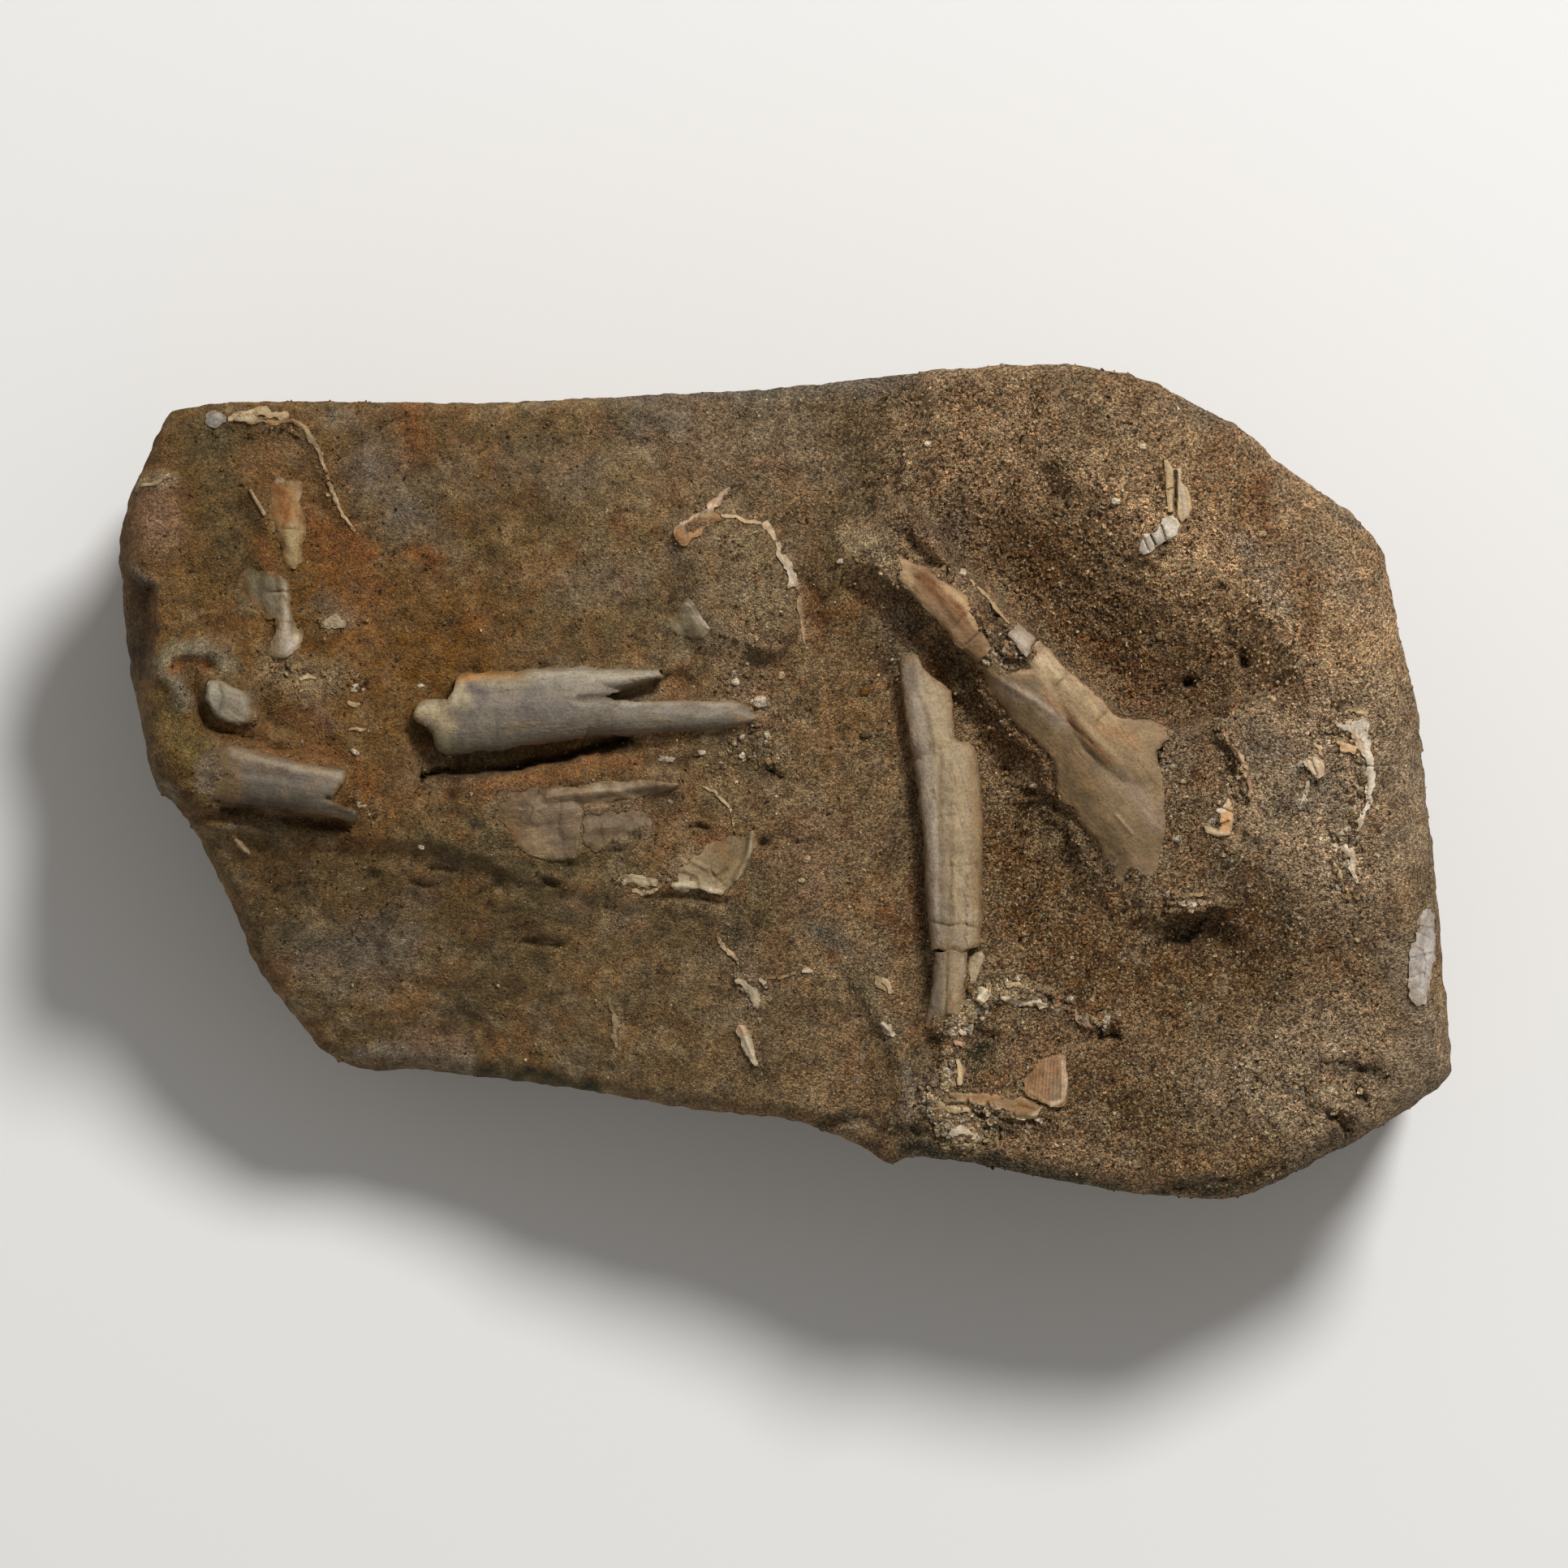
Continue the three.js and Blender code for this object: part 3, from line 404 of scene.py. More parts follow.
# A grid is stretched to the outline, ring by ring along rays from its middle.
half_length, half_width = cad_high.x / MM, cad_high.y / MM
bpy.ops.object.select_all(action="DESELECT")
bpy.ops.mesh.primitive_grid_add(
    x_subdivisions=round(2 * half_length / ROCK_CELL),
    y_subdivisions=round(2 * half_width / ROCK_CELL),
    size=2,
)
rock = bpy.context.object
rock.name = "sandstone_block"
bpy.ops.object.mode_set(mode="EDIT")
bpy.ops.mesh.select_mode(type="EDGE")
bpy.ops.mesh.select_all(action="DESELECT")
bpy.ops.mesh.select_non_manifold()
for ring in range(FLANK_RINGS):
    bpy.ops.mesh.extrude_region_move(TRANSFORM_OT_translate={"value": (0, 0, -1)})
bpy.ops.mesh.edge_face_add()
bpy.ops.mesh.select_all(action="SELECT")
bpy.ops.mesh.normals_make_consistent(inside=False)
bpy.ops.object.mode_set(mode="OBJECT")


def outline_reach(x, y):
    """Distance from the middle of the block to its outline, in the direction of x and y."""
    cut = [((3 * ax + bx) / 4, (3 * ay + by) / 4, (ax + 3 * bx) / 4, (ay + 3 * by) / 4)
           for (ax, ay), (bx, by) in zip(BLOCK_OUTLINE, BLOCK_OUTLINE[1:] + BLOCK_OUTLINE[:1])]
    rim = np.array(cut).reshape(-1, 2)
    rim = rim[np.argsort(np.arctan2(rim[:, 1], rim[:, 0]))]
    rim_angles = np.arctan2(rim[:, 1], rim[:, 0])
    after = np.searchsorted(rim_angles, np.arctan2(y, x)) % len(rim)
    a, b = rim[after - 1], rim[after]
    length = np.maximum(np.hypot(x, y), 1e-9)
    dx, dy = x / length, y / length
    ux, uy = b[:, 0] - a[:, 0], b[:, 1] - a[:, 1]
    return (a[:, 0] * uy - a[:, 1] * ux) / (dx * uy - dy * ux)


places = corners(rock.data)
ring_number = np.round(-places[:, 2])
x, y = places[:, 0] * half_length, places[:, 1] * half_width
to_box = np.hypot(x, y) / np.maximum(np.maximum(abs(places[:, 0]), abs(places[:, 1])), 1e-9)
reach = outline_reach(x, y)
stretch = reach / np.maximum(to_box, 1e-9)
x, y = x * stretch, y * stretch
nibble = 0.35 + 0.5 * noise(x, y, 0, 3.5, 21) + 0.25 * noise(x, y, 0, 1.4, 22)
keep_in = 1 - np.maximum(0, nibble) / reach
x, y = x * keep_in, y * keep_in
z = rock_height(x, y)
# The flanks fall almost straight from the rim and turn in to the flat underside.
share = 1 - ring_number / FLANK_RINGS
on_flank = ring_number > 0
inset = np.interp(share, [0, 0.1, 0.35, 0.7, 1], [9, 4, 1.6, 0.5, 0])
away = smooth(ring_number / 5) * smooth(share * 8)
z_flank = z * share
inset += away * (2.2 + 2.6 * noise(x, y, z_flank, 26, 31) + 1.3 * noise(x, y, z_flank, 11, 32))
inset += away * (0.7 * noise(x, y, z_flank, 5, 33) + 0.35 * noise(x, y, z_flank, 2.4, 34))
inset += away * 1.3 * noise(x / 6, y / 6, z_flank, 6, 35)
pull_in = np.where(on_flank, 1 - np.maximum(inset, 0) / np.hypot(x, y).clip(1), 1)
z = np.where(on_flank, z_flank, z)
x, y = x * pull_in, y * pull_in
move_corners(rock.data, np.stack([x, y, z], 1) * MM)
rock_x, rock_y, rock_z, rock_on_flank = x, y, z, on_flank
rock_deep = smooth(ring_number / 8)
sheet_corners = int(np.flatnonzero(on_flank)[0])  # the first corners are those of the upper face


def tone(red, green, blue):
    """A colour given in the usual 0 to 255 steps, as the shader needs it."""
    steps = np.array([red, green, blue]) / 255
    return np.where(steps <= 0.04045, steps / 12.92, ((steps + 0.055) / 1.055) ** 2.4)


SAND = tone(121, 97, 60)
WARM_SAND = tone(176, 141, 102)
OLIVE = tone(88, 74, 45)
UMBER = tone(62, 46, 27)
RUST = tone(126, 76, 36)
OCHRE = tone(140, 96, 56)
GREY = tone(112, 102, 88)
PALE_GREY = tone(140, 126, 107)
MOSS = tone(60, 59, 36)
CREAM = tone(168, 146, 112)
PINK = tone(142, 110, 86)
BROWN = tone(106, 70, 23)
QUARTZ = tone(208, 184, 142)

# Marks painted on the rock: its own colour patches, painted shade in cracks, pits, grooves and along the lower rim,
# and painted light at the step's corner and rim. Each has colour, line through the mark, reach, strength.
ROCK_STAINS_AND_PAINTED_LIGHT = [
    # paler corner where the step meets the neck: painted light over the step's shadow
    (tone(176, 150, 112), [(13.5, 44), (17, 42.5), (21, 40)], 3, 0.6),
    (BROWN, [(-112, 55), (-98, 45), (-85, 28), (-66, 20)], 34, 0.85),
    (BROWN, [(-110, 2), (-95, 0), (-78, -4)], 16, 0.6),
    (BROWN, [(-62, 30), (-40, 4), (-24, 0)], 14, 0.5),
    (BROWN, [(-92, -16), (-60, -20)], 14, 0.3),
    (tone(114, 70, 20), [(48, 44), (60, 32), (76, 22)], 17, 0.8),
    (tone(88, 58, 26), [(84, -24), (96, -23), (108, -24)], 14, 0.85),
    # darker brown over the hump's left-falling slope: partly the rock's brown, partly painted shade
    (tone(86, 62, 24), [(-116, 24), (-113, 10), (-111, -2)], 10, 0.75),
    (tone(94, 62, 24), [(-78, 62), (-50, 54)], 20, 0.4),
    (tone(116, 82, 36), [(8, 38), (13, 20), (12, 2)], 13, 0.5),
    (BROWN, [(42, -20), (60, -34), (84, -40)], 24, 0.7),
    (BROWN, [(56, -58), (84, -68)], 14, 0.6),
    (tone(116, 82, 38), [(33, 20), (41, 2), (45, -16)], 12, 0.4),
    (WARM_SAND * 1.6, [(74, 48), (88, 40), (102, 26)], 30, 0.8),
    (WARM_SAND * 1.4, [(34, 66), (44, 58)], 16, 0.6),
    (tone(206, 176, 140), [(98, 8), (96, -6), (104, -14)], 20, 0.8),
    (tone(190, 162, 128), [(84, -56), (98, -48), (112, -56), (100, -60)], 17, 0.7),
    (PALE_GREY, [(-20, 66), (0, 64)], 18, 0.35),
    (tone(150, 128, 96), [(-10, 43), (-5, 34), (-6, 28)], 10, 0.55),
    (tone(96, 70, 44), [(5, 38), (7, 30), (6, 24)], 3, 0.6),
    (tone(176, 152, 122), [(110, 16), (113, 4), (116, -12)], 8, 0.5),
    # paler line along the step's rim: painted highlight
    (tone(176, 142, 106), [(26.4, 74), (23.2, 63), (21.6, 54), (14.6, 45)], 3.2, 0.6),
    (tone(186, 154, 118), [(2.4, 37), (3.2, 31), (3.8, 25)], 1.2, 0.6),
    (tone(132, 108, 82), [(-52, -3), (-38, -6), (-22, -1)], 6, 0.6),
    (tone(104, 88, 74), [(-36, -8), (-26, -8)], 4, 0.5),
    (tone(168, 148, 116), [(-19, -16), (-14, -15)], 4, 0.5),
    (OLIVE, [(-106, 62), (-104, 52), (-102, 42)], 11, 0.75),
    (OLIVE, [(-110, 66), (-104, 62)], 7, 0.5),
    (PINK, [(-117, 52), (-116, 46)], 8, 0.7),
    (CREAM, [(-120, 55.2), (-116, 55.8), (-113.6, 56.8)], 1.8, 0.7),
    (UMBER, [(-120, 38), (-120.5, 30), (-119, 22)], 4.5, 0.75),
    (GREY, [(-121, 40), (-118, 37.6)], 2.2, 0.6),
    (RUST, [(-85, 47), (-81, 41), (-78, 36)], 8, 0.55),
    (RUST, [(-80, 45.5), (-77.6, 42)], 3.2, 0.85),
    (RUST, [(-70, 69), (-68, 62)], 6, 0.5),
    (OCHRE, [(-96, 60), (-90, 50)], 7, 0.35),
    (RUST, [(-97, 44), (-95, 41)], 3, 0.5),
    (RUST, [(-104, 9), (-96, 7.4), (-86, 6.4), (-80, 4)], 3.0, 0.35),
    (RUST, [(-78, 2), (-76, -2)], 4.0, 0.4),
    (GREY, [(-76, 58), (-71, 50)], 9, 0.6),
    (GREY, [(-84, 68), (-80, 67)], 3, 0.4),
    (RUST, [(-69, 42.6), (-64, 41.6)], 3, 0.6),
    (RUST, [(-58, 31), (-55, 31)], 3, 0.5),
    (CREAM, [(-85.4, 29), (-81.6, 29.8)], 2.2, 0.6),
    (GREY, [(-86, 33), (-82, 31)], 4, 0.4),
    (OCHRE, [(-80, 34), (-76, 28), (-80, 24)], 6, 0.4),
    (tone(104, 86, 46), [(-118, 15), (-113, 11), (-108, 5), (-106, 1)], 6, 0.7),
    (tone(96, 82, 56), [(-106, 5), (-104, 0), (-105, -3)], 3.4, 0.6),
    (PALE_GREY, [(-104, -8), (-98, -8.6), (-94, -8.2)], 1.8, 0.5),
    (OLIVE, [(-119, 9), (-116, 2)], 3, 0.5),
    (OCHRE, [(-118.6, 18), (-117.6, 15)], 2, 0.5),
    (tone(150, 136, 106), [(-116, 22), (-112.6, 26), (-107, 25.4), (-103, 22)], 2.4, 0.75),
    (CREAM, [(-94, 22), (-88, 18), (-84, 20)], 6, 0.45),
    (PALE_GREY, [(-112.4, 20), (-110.4, 18), (-110, 15.6)], 1.6, 0.7),
    (PALE_GREY, [(-116.6, 0), (-113, -3)], 2, 0.7),
    (GREY, [(-110, 24.6), (-104, 24)], 3, 0.5),
    (tone(112, 106, 84), [(-115, 21), (-112.4, 18.6), (-111, 14)], 2.4, 0.8),
    # painted shade in the groove round the small bone and along the left shaft's top
    (BROWN * 0.7, [(-109.4, 19.2), (-109, 14.6), (-107, 10.8), (-103, 9), (-97, 7.6), (-91, 6)], 2.0, 0.8),
    (RUST, [(-113.6, 22), (-109, 22), (-105.6, 21)], 2.0, 0.6),
    (OCHRE, [(-97, 6.6), (-90, 5), (-86, 3.8)], 0.9, 0.7),
    (PINK * 1.1, [(-89, 14.4), (-86, 13), (-83, 10.6)], 1.8, 0.5),
    (BROWN, [(-96, 12), (-91, 11), (-87, 9)], 3.4, 0.7),
    (UMBER, [(-95, 11.6), (-90, 11), (-86, 9.4)], 2.6, 0.6),
    (OCHRE, [(-92, 12.8), (-87, 11)], 3, 0.5),
    # painted shadow in the groove under the left shaft
    (UMBER, [(-104, -4.8), (-94, -5), (-84, -7.4)], 1.6, 0.7),
    (OLIVE, [(-100, -8), (-90, -10)], 4, 0.4),
    # painted shadow in the gap under the forked shaft, and olive painted shade on the rock just below the bone
    (UMBER, [(-67, 1.2), (-57, 1.8), (-46, 4), (-37, 6), (-30, 8)], 1.3, 0.75),
    (OLIVE, [(-66, 4), (-56, 3.8), (-48, 5.6)], 2.2, 0.6),
    (OCHRE, [(-56, -1), (-46, 1.4), (-36, 3.6), (-27, 4)], 2.6, 0.75),
    (OCHRE, [(-62, -1), (-54, -2.6)], 3.2, 0.5),
    # painted shade in the grooves beside the flattened shaft
    (MOSS, [(-57, -8), (-54.6, -11), (-52.6, -12)], 3, 0.65),
    (MOSS, [(-50, -14.8), (-44, -15.8), (-39.6, -15.4)], 2.4, 0.7),
    (OLIVE, [(-70, -10), (-62, -12), (-52, -16), (-42, -19)], 4.5, 0.6),
    (OLIVE, [(-98, -22), (-86, -18), (-76, -18)], 8, 0.5),
    (GREY, [(-90, -32), (-80, -30), (-70, -30)], 9, 0.45),
    (UMBER, [(-96, -20), (-96, -30)], 9, 0.35),
    (OLIVE, [(-58, -38), (-50, -30), (-46, -24)], 10, 0.5),
    (UMBER, [(-62, -42), (-48, -36)], 7, 0.3),
    # painted shade in three small pits
    (UMBER, [(-44, -18.4)], 1.6, 0.7),
    (UMBER, [(-46, -29.8), (-42.6, -29.8)], 2, 0.6),
    (UMBER, [(-75.6, -17.4)], 2.2, 0.6),
    (PINK, [(-69, -47), (-61, -48.6)], 4.5, 0.6),
    (PALE_GREY, [(-80, -50.5), (-70, -50.6), (-59, -52.4)], 3, 0.75),
    # dark olive along the lower rim: painted shade where the rim turns down
    (MOSS, [(-57, -54), (-46, -55), (-36, -56.5)], 2.2, 0.8),
    (MOSS, [(-78, -54), (-60, -55)], 1.2, 0.5),
    (CREAM, [(-42, -51.4), (-38, -53.6)], 1.2, 0.5),
    (CREAM, [(-33, -54), (-31, -53.6)], 1.2, 0.5),
    (CREAM, [(-32.2, -39.6), (-31, -44), (-31.4, -50)], 1.5, 0.5),
    (GREY, [(-30, 74), (-10, 72), (8, 73), (22, 75)], 4, 0.7),
    (GREY, [(-26, 67), (-20, 67)], 4, 0.5),
    (PALE_GREY, [(12, 73.6), (19, 72.6)], 2.2, 0.6),
    (GREY, [(-50, 60), (-36, 56)], 9, 0.3),
    (OLIVE, [(12, 66), (18, 60), (16, 52)], 9, 0.6),
    (OLIVE, [(10, 46), (8, 38)], 8, 0.5),
    (OLIVE, [(-24, 30), (-40, 26)], 7, 0.4),
    (GREY, [(-40, 36), (-28, 38)], 7, 0.35),
    (RUST, [(4.6, 35), (7, 31), (6, 27)], 3.6, 0.55),
    (RUST, [(12, 33)], 2, 0.4),
    (UMBER, [(21, 33), (22, 28), (20, 22)], 5, 0.4),
    (PINK, [(-10, 20), (-6, 14)], 7, 0.4),
    (OLIVE, [(-16, 6), (-4, 4)], 4, 0.5),
    # painted shade in a groove and a pit on the bench
    (UMBER, [(-26, 3.4), (-17, 3.6)], 1.6, 0.6),
    (UMBER, [(-2.4, 1.6)], 1.6, 0.8),
    (RUST, [(-24, -5.5), (-20, -6)], 2, 0.4),
    (RUST, [(-16, -10.4), (-11, -9.4)], 1.8, 0.5),
    (OLIVE, [(-10, -26), (-20, -30), (-26, -40)], 9, 0.4),
    (GREY, [(5, -27), (9, -29.6)], 4.2, 0.7),
    (CREAM, [(15.4, -37.6), (17.4, -43), (19.4, -46)], 3.6, 0.6),
    (PINK, [(0, -14), (6, -8), (4, -22)], 7, 0.4),
    (RUST, [(19, -24), (22, -28)], 4.2, 0.6),
    (RUST, [(23.6, -18), (24.8, -28)], 2.2, 0.7),
    # painted shadow along the long shaft's left side
    (UMBER, [(24.6, -2), (25, -14), (25.6, -30), (26.4, -40)], 1.6, 0.6),
    (UMBER, [(21, -6), (20, -12)], 3.4, 0.6),
    (RUST, [(7.4, -31), (9, -33)], 2, 0.6),
    (OCHRE, [(-12, -28.6), (-10.6, -30)], 2, 0.6),
    (OLIVE, [(15, -36), (17, -44), (20, -54)], 5, 0.5),
    (OLIVE, [(0, -50), (-10, -56)], 8, 0.3),
    (PALE_GREY, [(14, -50), (14, -56)], 1.2, 0.5),
    (PALE_GREY, [(22.6, -53), (23.4, -58), (23, -63)], 2.8, 0.7),
    (OCHRE, [(22, -61)], 2, 0.4),
    # painted shade along the lower rim and in the groove above it
    (MOSS, [(22, -68), (36, -70), (48, -72.6), (60, -75)], 2.6, 0.85),
    (MOSS, [(7, -63), (13, -61.6), (24, -66)], 1.8, 0.6),
    (UMBER, [(30, 24), (33, 18)], 5, 0.45),
    (RUST, [(40, 13), (43, 8), (48, 4)], 3, 0.45),
    (RUST, [(45, -2), (50, 2)], 3, 0.4),
    (OLIVE, [(47, -6), (52, -10), (56, -18)], 5, 0.5),
    (UMBER, [(47, 44), (52, 36), (60, 26), (70, 20), (78, 18)], 9, 0.35),
    (OLIVE, [(58, 44), (64, 34), (74, 26)], 9, 0.4),
    (RUST, [(58, 27), (62, 22), (66, 16)], 4, 0.4),
    (OCHRE, [(25, 56), (28, 62), (34, 68)], 7, 0.45),
    # near-black painted shade in two deep pits
    (UMBER * 0.3, [(85.3, 23.8), (85.2, 22.4)], 0.9, 0.95),
    (UMBER * 0.3, [(74.2, 18.6), (75, 18.8)], 0.8, 0.95),
    (OCHRE, [(86, 55), (84, 47), (90, 38)], 7, 0.6),
    (RUST, [(88, 55), (87, 50), (93, 44)], 4, 0.65),
    (RUST, [(95, 42), (98, 36), (97, 26)], 3, 0.6),
    (tone(150, 96, 50), [(80, 62), (78, 54)], 6, 0.5),
    (tone(116, 96, 60), [(117, 24), (121, 4), (122.6, -22)], 5, 0.6),
    (tone(196, 178, 152), [(84, 44), (92, 32)], 5, 0.5),
    (OCHRE, [(96, 30), (95, 36)], 4, 0.5),
    (GREY, [(72, 70), (80, 66.6)], 3.4, 0.5),
    (PALE_GREY, [(101, 51), (106, 48)], 2.4, 0.5),
    (PALE_GREY, [(92, 42), (98, 45), (106, 33)], 5, 0.4),
    (UMBER, [(30, 48), (26, 44)], 2.6, 0.4),
    (UMBER, [(36, 35.5), (42, 25.6), (45, 22)], 1.8, 0.5),
    (GREY, [(86, 7), (92, 5), (97, 0), (92, -4)], 5.5, 0.75),
    (GREY, [(100, 4), (102, -4)], 4.5, 0.55),
    (PALE_GREY, [(89, 11)], 3, 0.5),
    (RUST, [(91, 18), (97, 18)], 2.4, 0.6),
    (RUST, [(83.4, 14)], 2, 0.7),
    (RUST, [(82, -11), (83, -12)], 1.6, 0.6),
    (RUST, [(72, 1), (76, 2)], 3, 0.4),
    # painted shade in the socket's hollow
    (MOSS, [(80, 3), (81.6, 0)], 2.2, 0.6),
    (RUST, [(87, -14), (86, -18)], 3, 0.45),
    (MOSS, [(77, -10), (84, -15), (80, -17)], 3, 0.4),
    # painted shadow under the wedge's lip and beside it
    (UMBER, [(69, -30), (73, -28.4), (78, -26.4)], 1.7, 0.8),
    (UMBER, [(83.6, -19), (84, -23)], 2.6, 0.35),
    (OLIVE, [(90, -19), (94, -26), (94, -34)], 6, 0.5),
    # painted shade below the lip
    (OLIVE, [(82, -27), (79, -29)], 2.4, 0.5),
    (RUST, [(104, -18), (106, -12)], 4, 0.3),
    (PALE_GREY, [(66, -33.4), (62.6, -32)], 1.6, 0.5),
    (GREY, [(118, -46), (114, -54), (117, -58)], 7, 0.4),
    (tone(150, 130, 106), [(113, -30), (115, -38), (119, -46), (119.6, -53)], 6.5, 0.7),
    (PALE_GREY, [(120, -8), (118.6, 4)], 3, 0.35),
    (CREAM, [(86, -52), (88, -58), (93, -63)], 4, 0.5),
    (CREAM, [(98, -61), (104, -62.4)], 3, 0.4),
    (RUST, [(101, -53.6), (102, -54.4)], 1.4, 0.6),
    # painted shade in the gully, a groove and along the lower rim
    (MOSS, [(102, -52.6), (107, -53.8), (111, -54)], 1.6, 0.7),
    (MOSS, [(100, -63), (104, -65.6), (96, -68)], 2.8, 0.5),
    (MOSS, [(108, -65), (100, -70), (90, -74.6)], 2.2, 0.6),
    (OLIVE, [(60, -60), (72, -60), (82, -62)], 8, 0.35),
    # painted shade along the lower rim
    (MOSS, [(68, -75.6), (80, -75), (88, -73)], 2, 0.75),
    (PALE_GREY, [(75, -73.2), (80, -73.4)], 0.9, 0.6),
    # painted shade in the crumbled zone's hollow and pit
    (MOSS, [(34, -50), (37, -48), (35, -54)], 3, 0.75),
    (MOSS, [(27.4, -48)], 2.2, 0.6),
    (OCHRE, [(38, -56), (42, -55)], 5, 0.6),
    (CREAM, [(36, -41), (42, -38), (49, -38.6)], 3, 0.55),
    (OCHRE, [(36, -42), (39, -42.4)], 2, 0.5),
    (CREAM, [(28, -58), (29.6, -62), (31, -66.6)], 2.6, 0.55),
    (PALE_GREY, [(26, -54), (26.6, -62), (28, -66)], 1.8, 0.6),
    (tone(206, 182, 140), [(26.6, -58.4), (33, -59.8), (38, -61.4), (42, -62.6)], 1.7, 0.7),
    (tone(206, 184, 146), [(27.4, -62), (31, -64.6), (35.6, -66.6)], 1.9, 0.65),
    (tone(200, 174, 132), [(31, -45.4), (34, -41.4), (38, -39), (45, -38.4)], 1.7, 0.65),
    (tone(194, 168, 126), [(29.8, -49), (29, -55.6)], 1.7, 0.6),
    # painted shade in the gaps round the plate and under its lip
    (MOSS, [(31, -57.6), (36, -58)], 1.1, 0.6),
    (MOSS, [(37, -63.4), (42, -64.4), (47, -63.6)], 1.2, 0.6),
    (OCHRE, [(56, -42), (60, -44)], 4, 0.45),
    # painted shade in the groove
    (MOSS, [(58, -46.8), (61, -46.6)], 1.0, 0.8),
    # paler corner below the step: painted light over the step's shadow
    (tone(184, 156, 116), [(11.6, 47.4), (14.6, 43.4), (19, 40.4), (24, 35.4), (27, 31.4)], 3.4, 0.7),
    (tone(190, 166, 130), [(13, 46), (15, 43.6), (18, 42)], 2, 0.5),
    # paler line along the step's rim: painted highlight
    (tone(186, 152, 112), [(25.8, 72), (23.4, 62), (21.8, 54), (16.6, 47)], 2.6, 0.45),
    (PINK, [(20, 45), (22, 50)], 3.4, 0.5),
    (PINK, [(26, 47), (32, 44)], 5, 0.5),
]


def paint(mesh, base, strokes, x, y, bend=1.0, seed=41):
    """Lays the strokes over the base colour and stores the result with the mesh."""
    bx = x + bend * (1.6 * noise(x, y, 0, 5, seed) + 0.8 * noise(x, y, 0, 2, seed + 1))
    by = y + bend * (1.6 * noise(x, y, 0, 5, seed + 2) + 0.8 * noise(x, y, 0, 2, seed + 3))
    colour = np.array(base, float)
    broken = 1 + bend * (0.35 * noise(x, y, 0, 3.2, seed + 4) + 0.4 * noise(x, y, 0, 1.5, seed + 5))
    for stroke, line, width, strength in strokes:
        weight = strength * broken * (1 - smooth(line_distance(line, bx, by)[0] / width))
        colour += weight.clip(0, 1)[:, None] * (stroke - colour)
    store_colour(mesh, colour)
    return colour


# The stored colour holds real colour marks together with painted shade and painted highlights.
def store_colour(mesh, colour):
    stain = mesh.color_attributes.get("stain") or mesh.color_attributes.new("stain", "FLOAT_COLOR", "POINT")
    stain.data.foreach_set("color", np.concatenate([colour, np.ones((len(colour), 1))], 1).ravel())


def number_layer(mesh, name, values):
    layer = mesh.attributes.new(name, "FLOAT", "POINT")
    layer.data.foreach_set("value", values)


# Down the flanks the colour marks, painted shade and painted light of the upper face wander and give way to the
# stone's own level beds.
stray = 20 * rock_deep
face_x = rock_x + stray * noise(rock_x, rock_y, rock_z, 17, 81)
face_y = rock_y + stray * noise(rock_x, rock_y, rock_z, 17, 82)
coarse = grittiness(face_x, face_y)
ground = SAND + coarse[:, None] * (WARM_SAND - SAND)
drift = [
    (OLIVE, 15, 0.5, 61), (OCHRE, 12, 0.4, 62), (GREY, 14, 0.4, 63), (UMBER, 8, 0.35, 64),
    (RUST, 6, 0.35, 65), (CREAM, 5, 0.3, 66), (OLIVE, 4, 0.35, 67),
]
for stroke, size, strength, seed in drift:
    patch = smooth(lumps(rock_x, rock_y, rock_z, size, 3, seed) * 1.6)
    ground += (strength * patch)[:, None] * (stroke - ground)
crumbled = crumbling(rock_x, rock_y) * (1 - rock_deep)
flecks = smooth(0.5 + 2.2 * noise(rock_x, rock_y, 0, 2, 68))
ground += (0.6 * crumbled * flecks)[:, None] * (CREAM - ground)
side = ground.copy()
for stroke, size, strength, seed in [(OCHRE, 20, 0.7, 83), (OLIVE, 16, 0.6, 84), (UMBER, 11, 0.6, 85),
                                     (RUST, 9, 0.5, 86), (PALE_GREY, 13, 0.4, 87)]:
    bed = smooth(lumps(rock_x / 2.2, rock_y / 2.2, rock_z, size, 3, seed) * 1.9)
    side += (strength * bed)[:, None] * (stroke - side)
painted = paint(rock.data, ground, ROCK_STAINS_AND_PAINTED_LIGHT, face_x, face_y)
painted += (0.9 * rock_deep)[:, None] * (side - painted)
store_colour(rock.data, painted)
number_layer(rock.data, "coarse", coarse)


def new_material(name, roughness):
    """A material with its node tree, and a short way to add and link nodes."""
    material = bpy.data.materials.new(name)
    material.use_nodes = True
    nodes, links = material.node_tree.nodes, material.node_tree.links
    surface = nodes["Principled BSDF"]
    surface.inputs["Roughness"].default_value = roughness

    def node(kind, settings=None, **wires):
        made = nodes.new(kind)
        for key, value in (settings or {}).items():
            if key in made.inputs:
                made.inputs[key].default_value = value
            else:
                setattr(made, key, value)
        for key, source in wires.items():
            links.new(source, made.inputs[key if key in made.inputs else int(key[1:])])
        return made

    return material, surface, node, links


def level(node, source, low, high, from_low=0.0, from_high=1.0):
    """Spreads a value between two levels."""
    settings = {"From Min": from_low, "From Max": from_high, "To Min": low, "To Max": high}
    return node("ShaderNodeMapRange", settings, Value=source).outputs["Result"]


def blend(node, kind, first, second, share=1.0):
    """Mixes two colours. The share is a number or the output of a node."""
    mixer = node("ShaderNodeMix", {"data_type": "RGBA", "blend_type": kind})
    wires = {6: first, 7: second, 0: share}
    for place, source in wires.items():
        if isinstance(source, bpy.types.NodeSocket):
            mixer.id_data.links.new(source, mixer.inputs[place])
        elif isinstance(source, float):
            mixer.inputs[place].default_value = source
        else:
            mixer.inputs[place].default_value = (*source, 1)
    return mixer.outputs[2]


def math_node(node, kind, first, second):
    made = node("ShaderNodeMath", {"operation": kind})
    for place, source in ((0, first), (1, second)):
        if isinstance(source, bpy.types.NodeSocket):
            made.id_data.links.new(source, made.inputs[place])
        else:
            made.inputs[place].default_value = source
    return made.outputs[0]


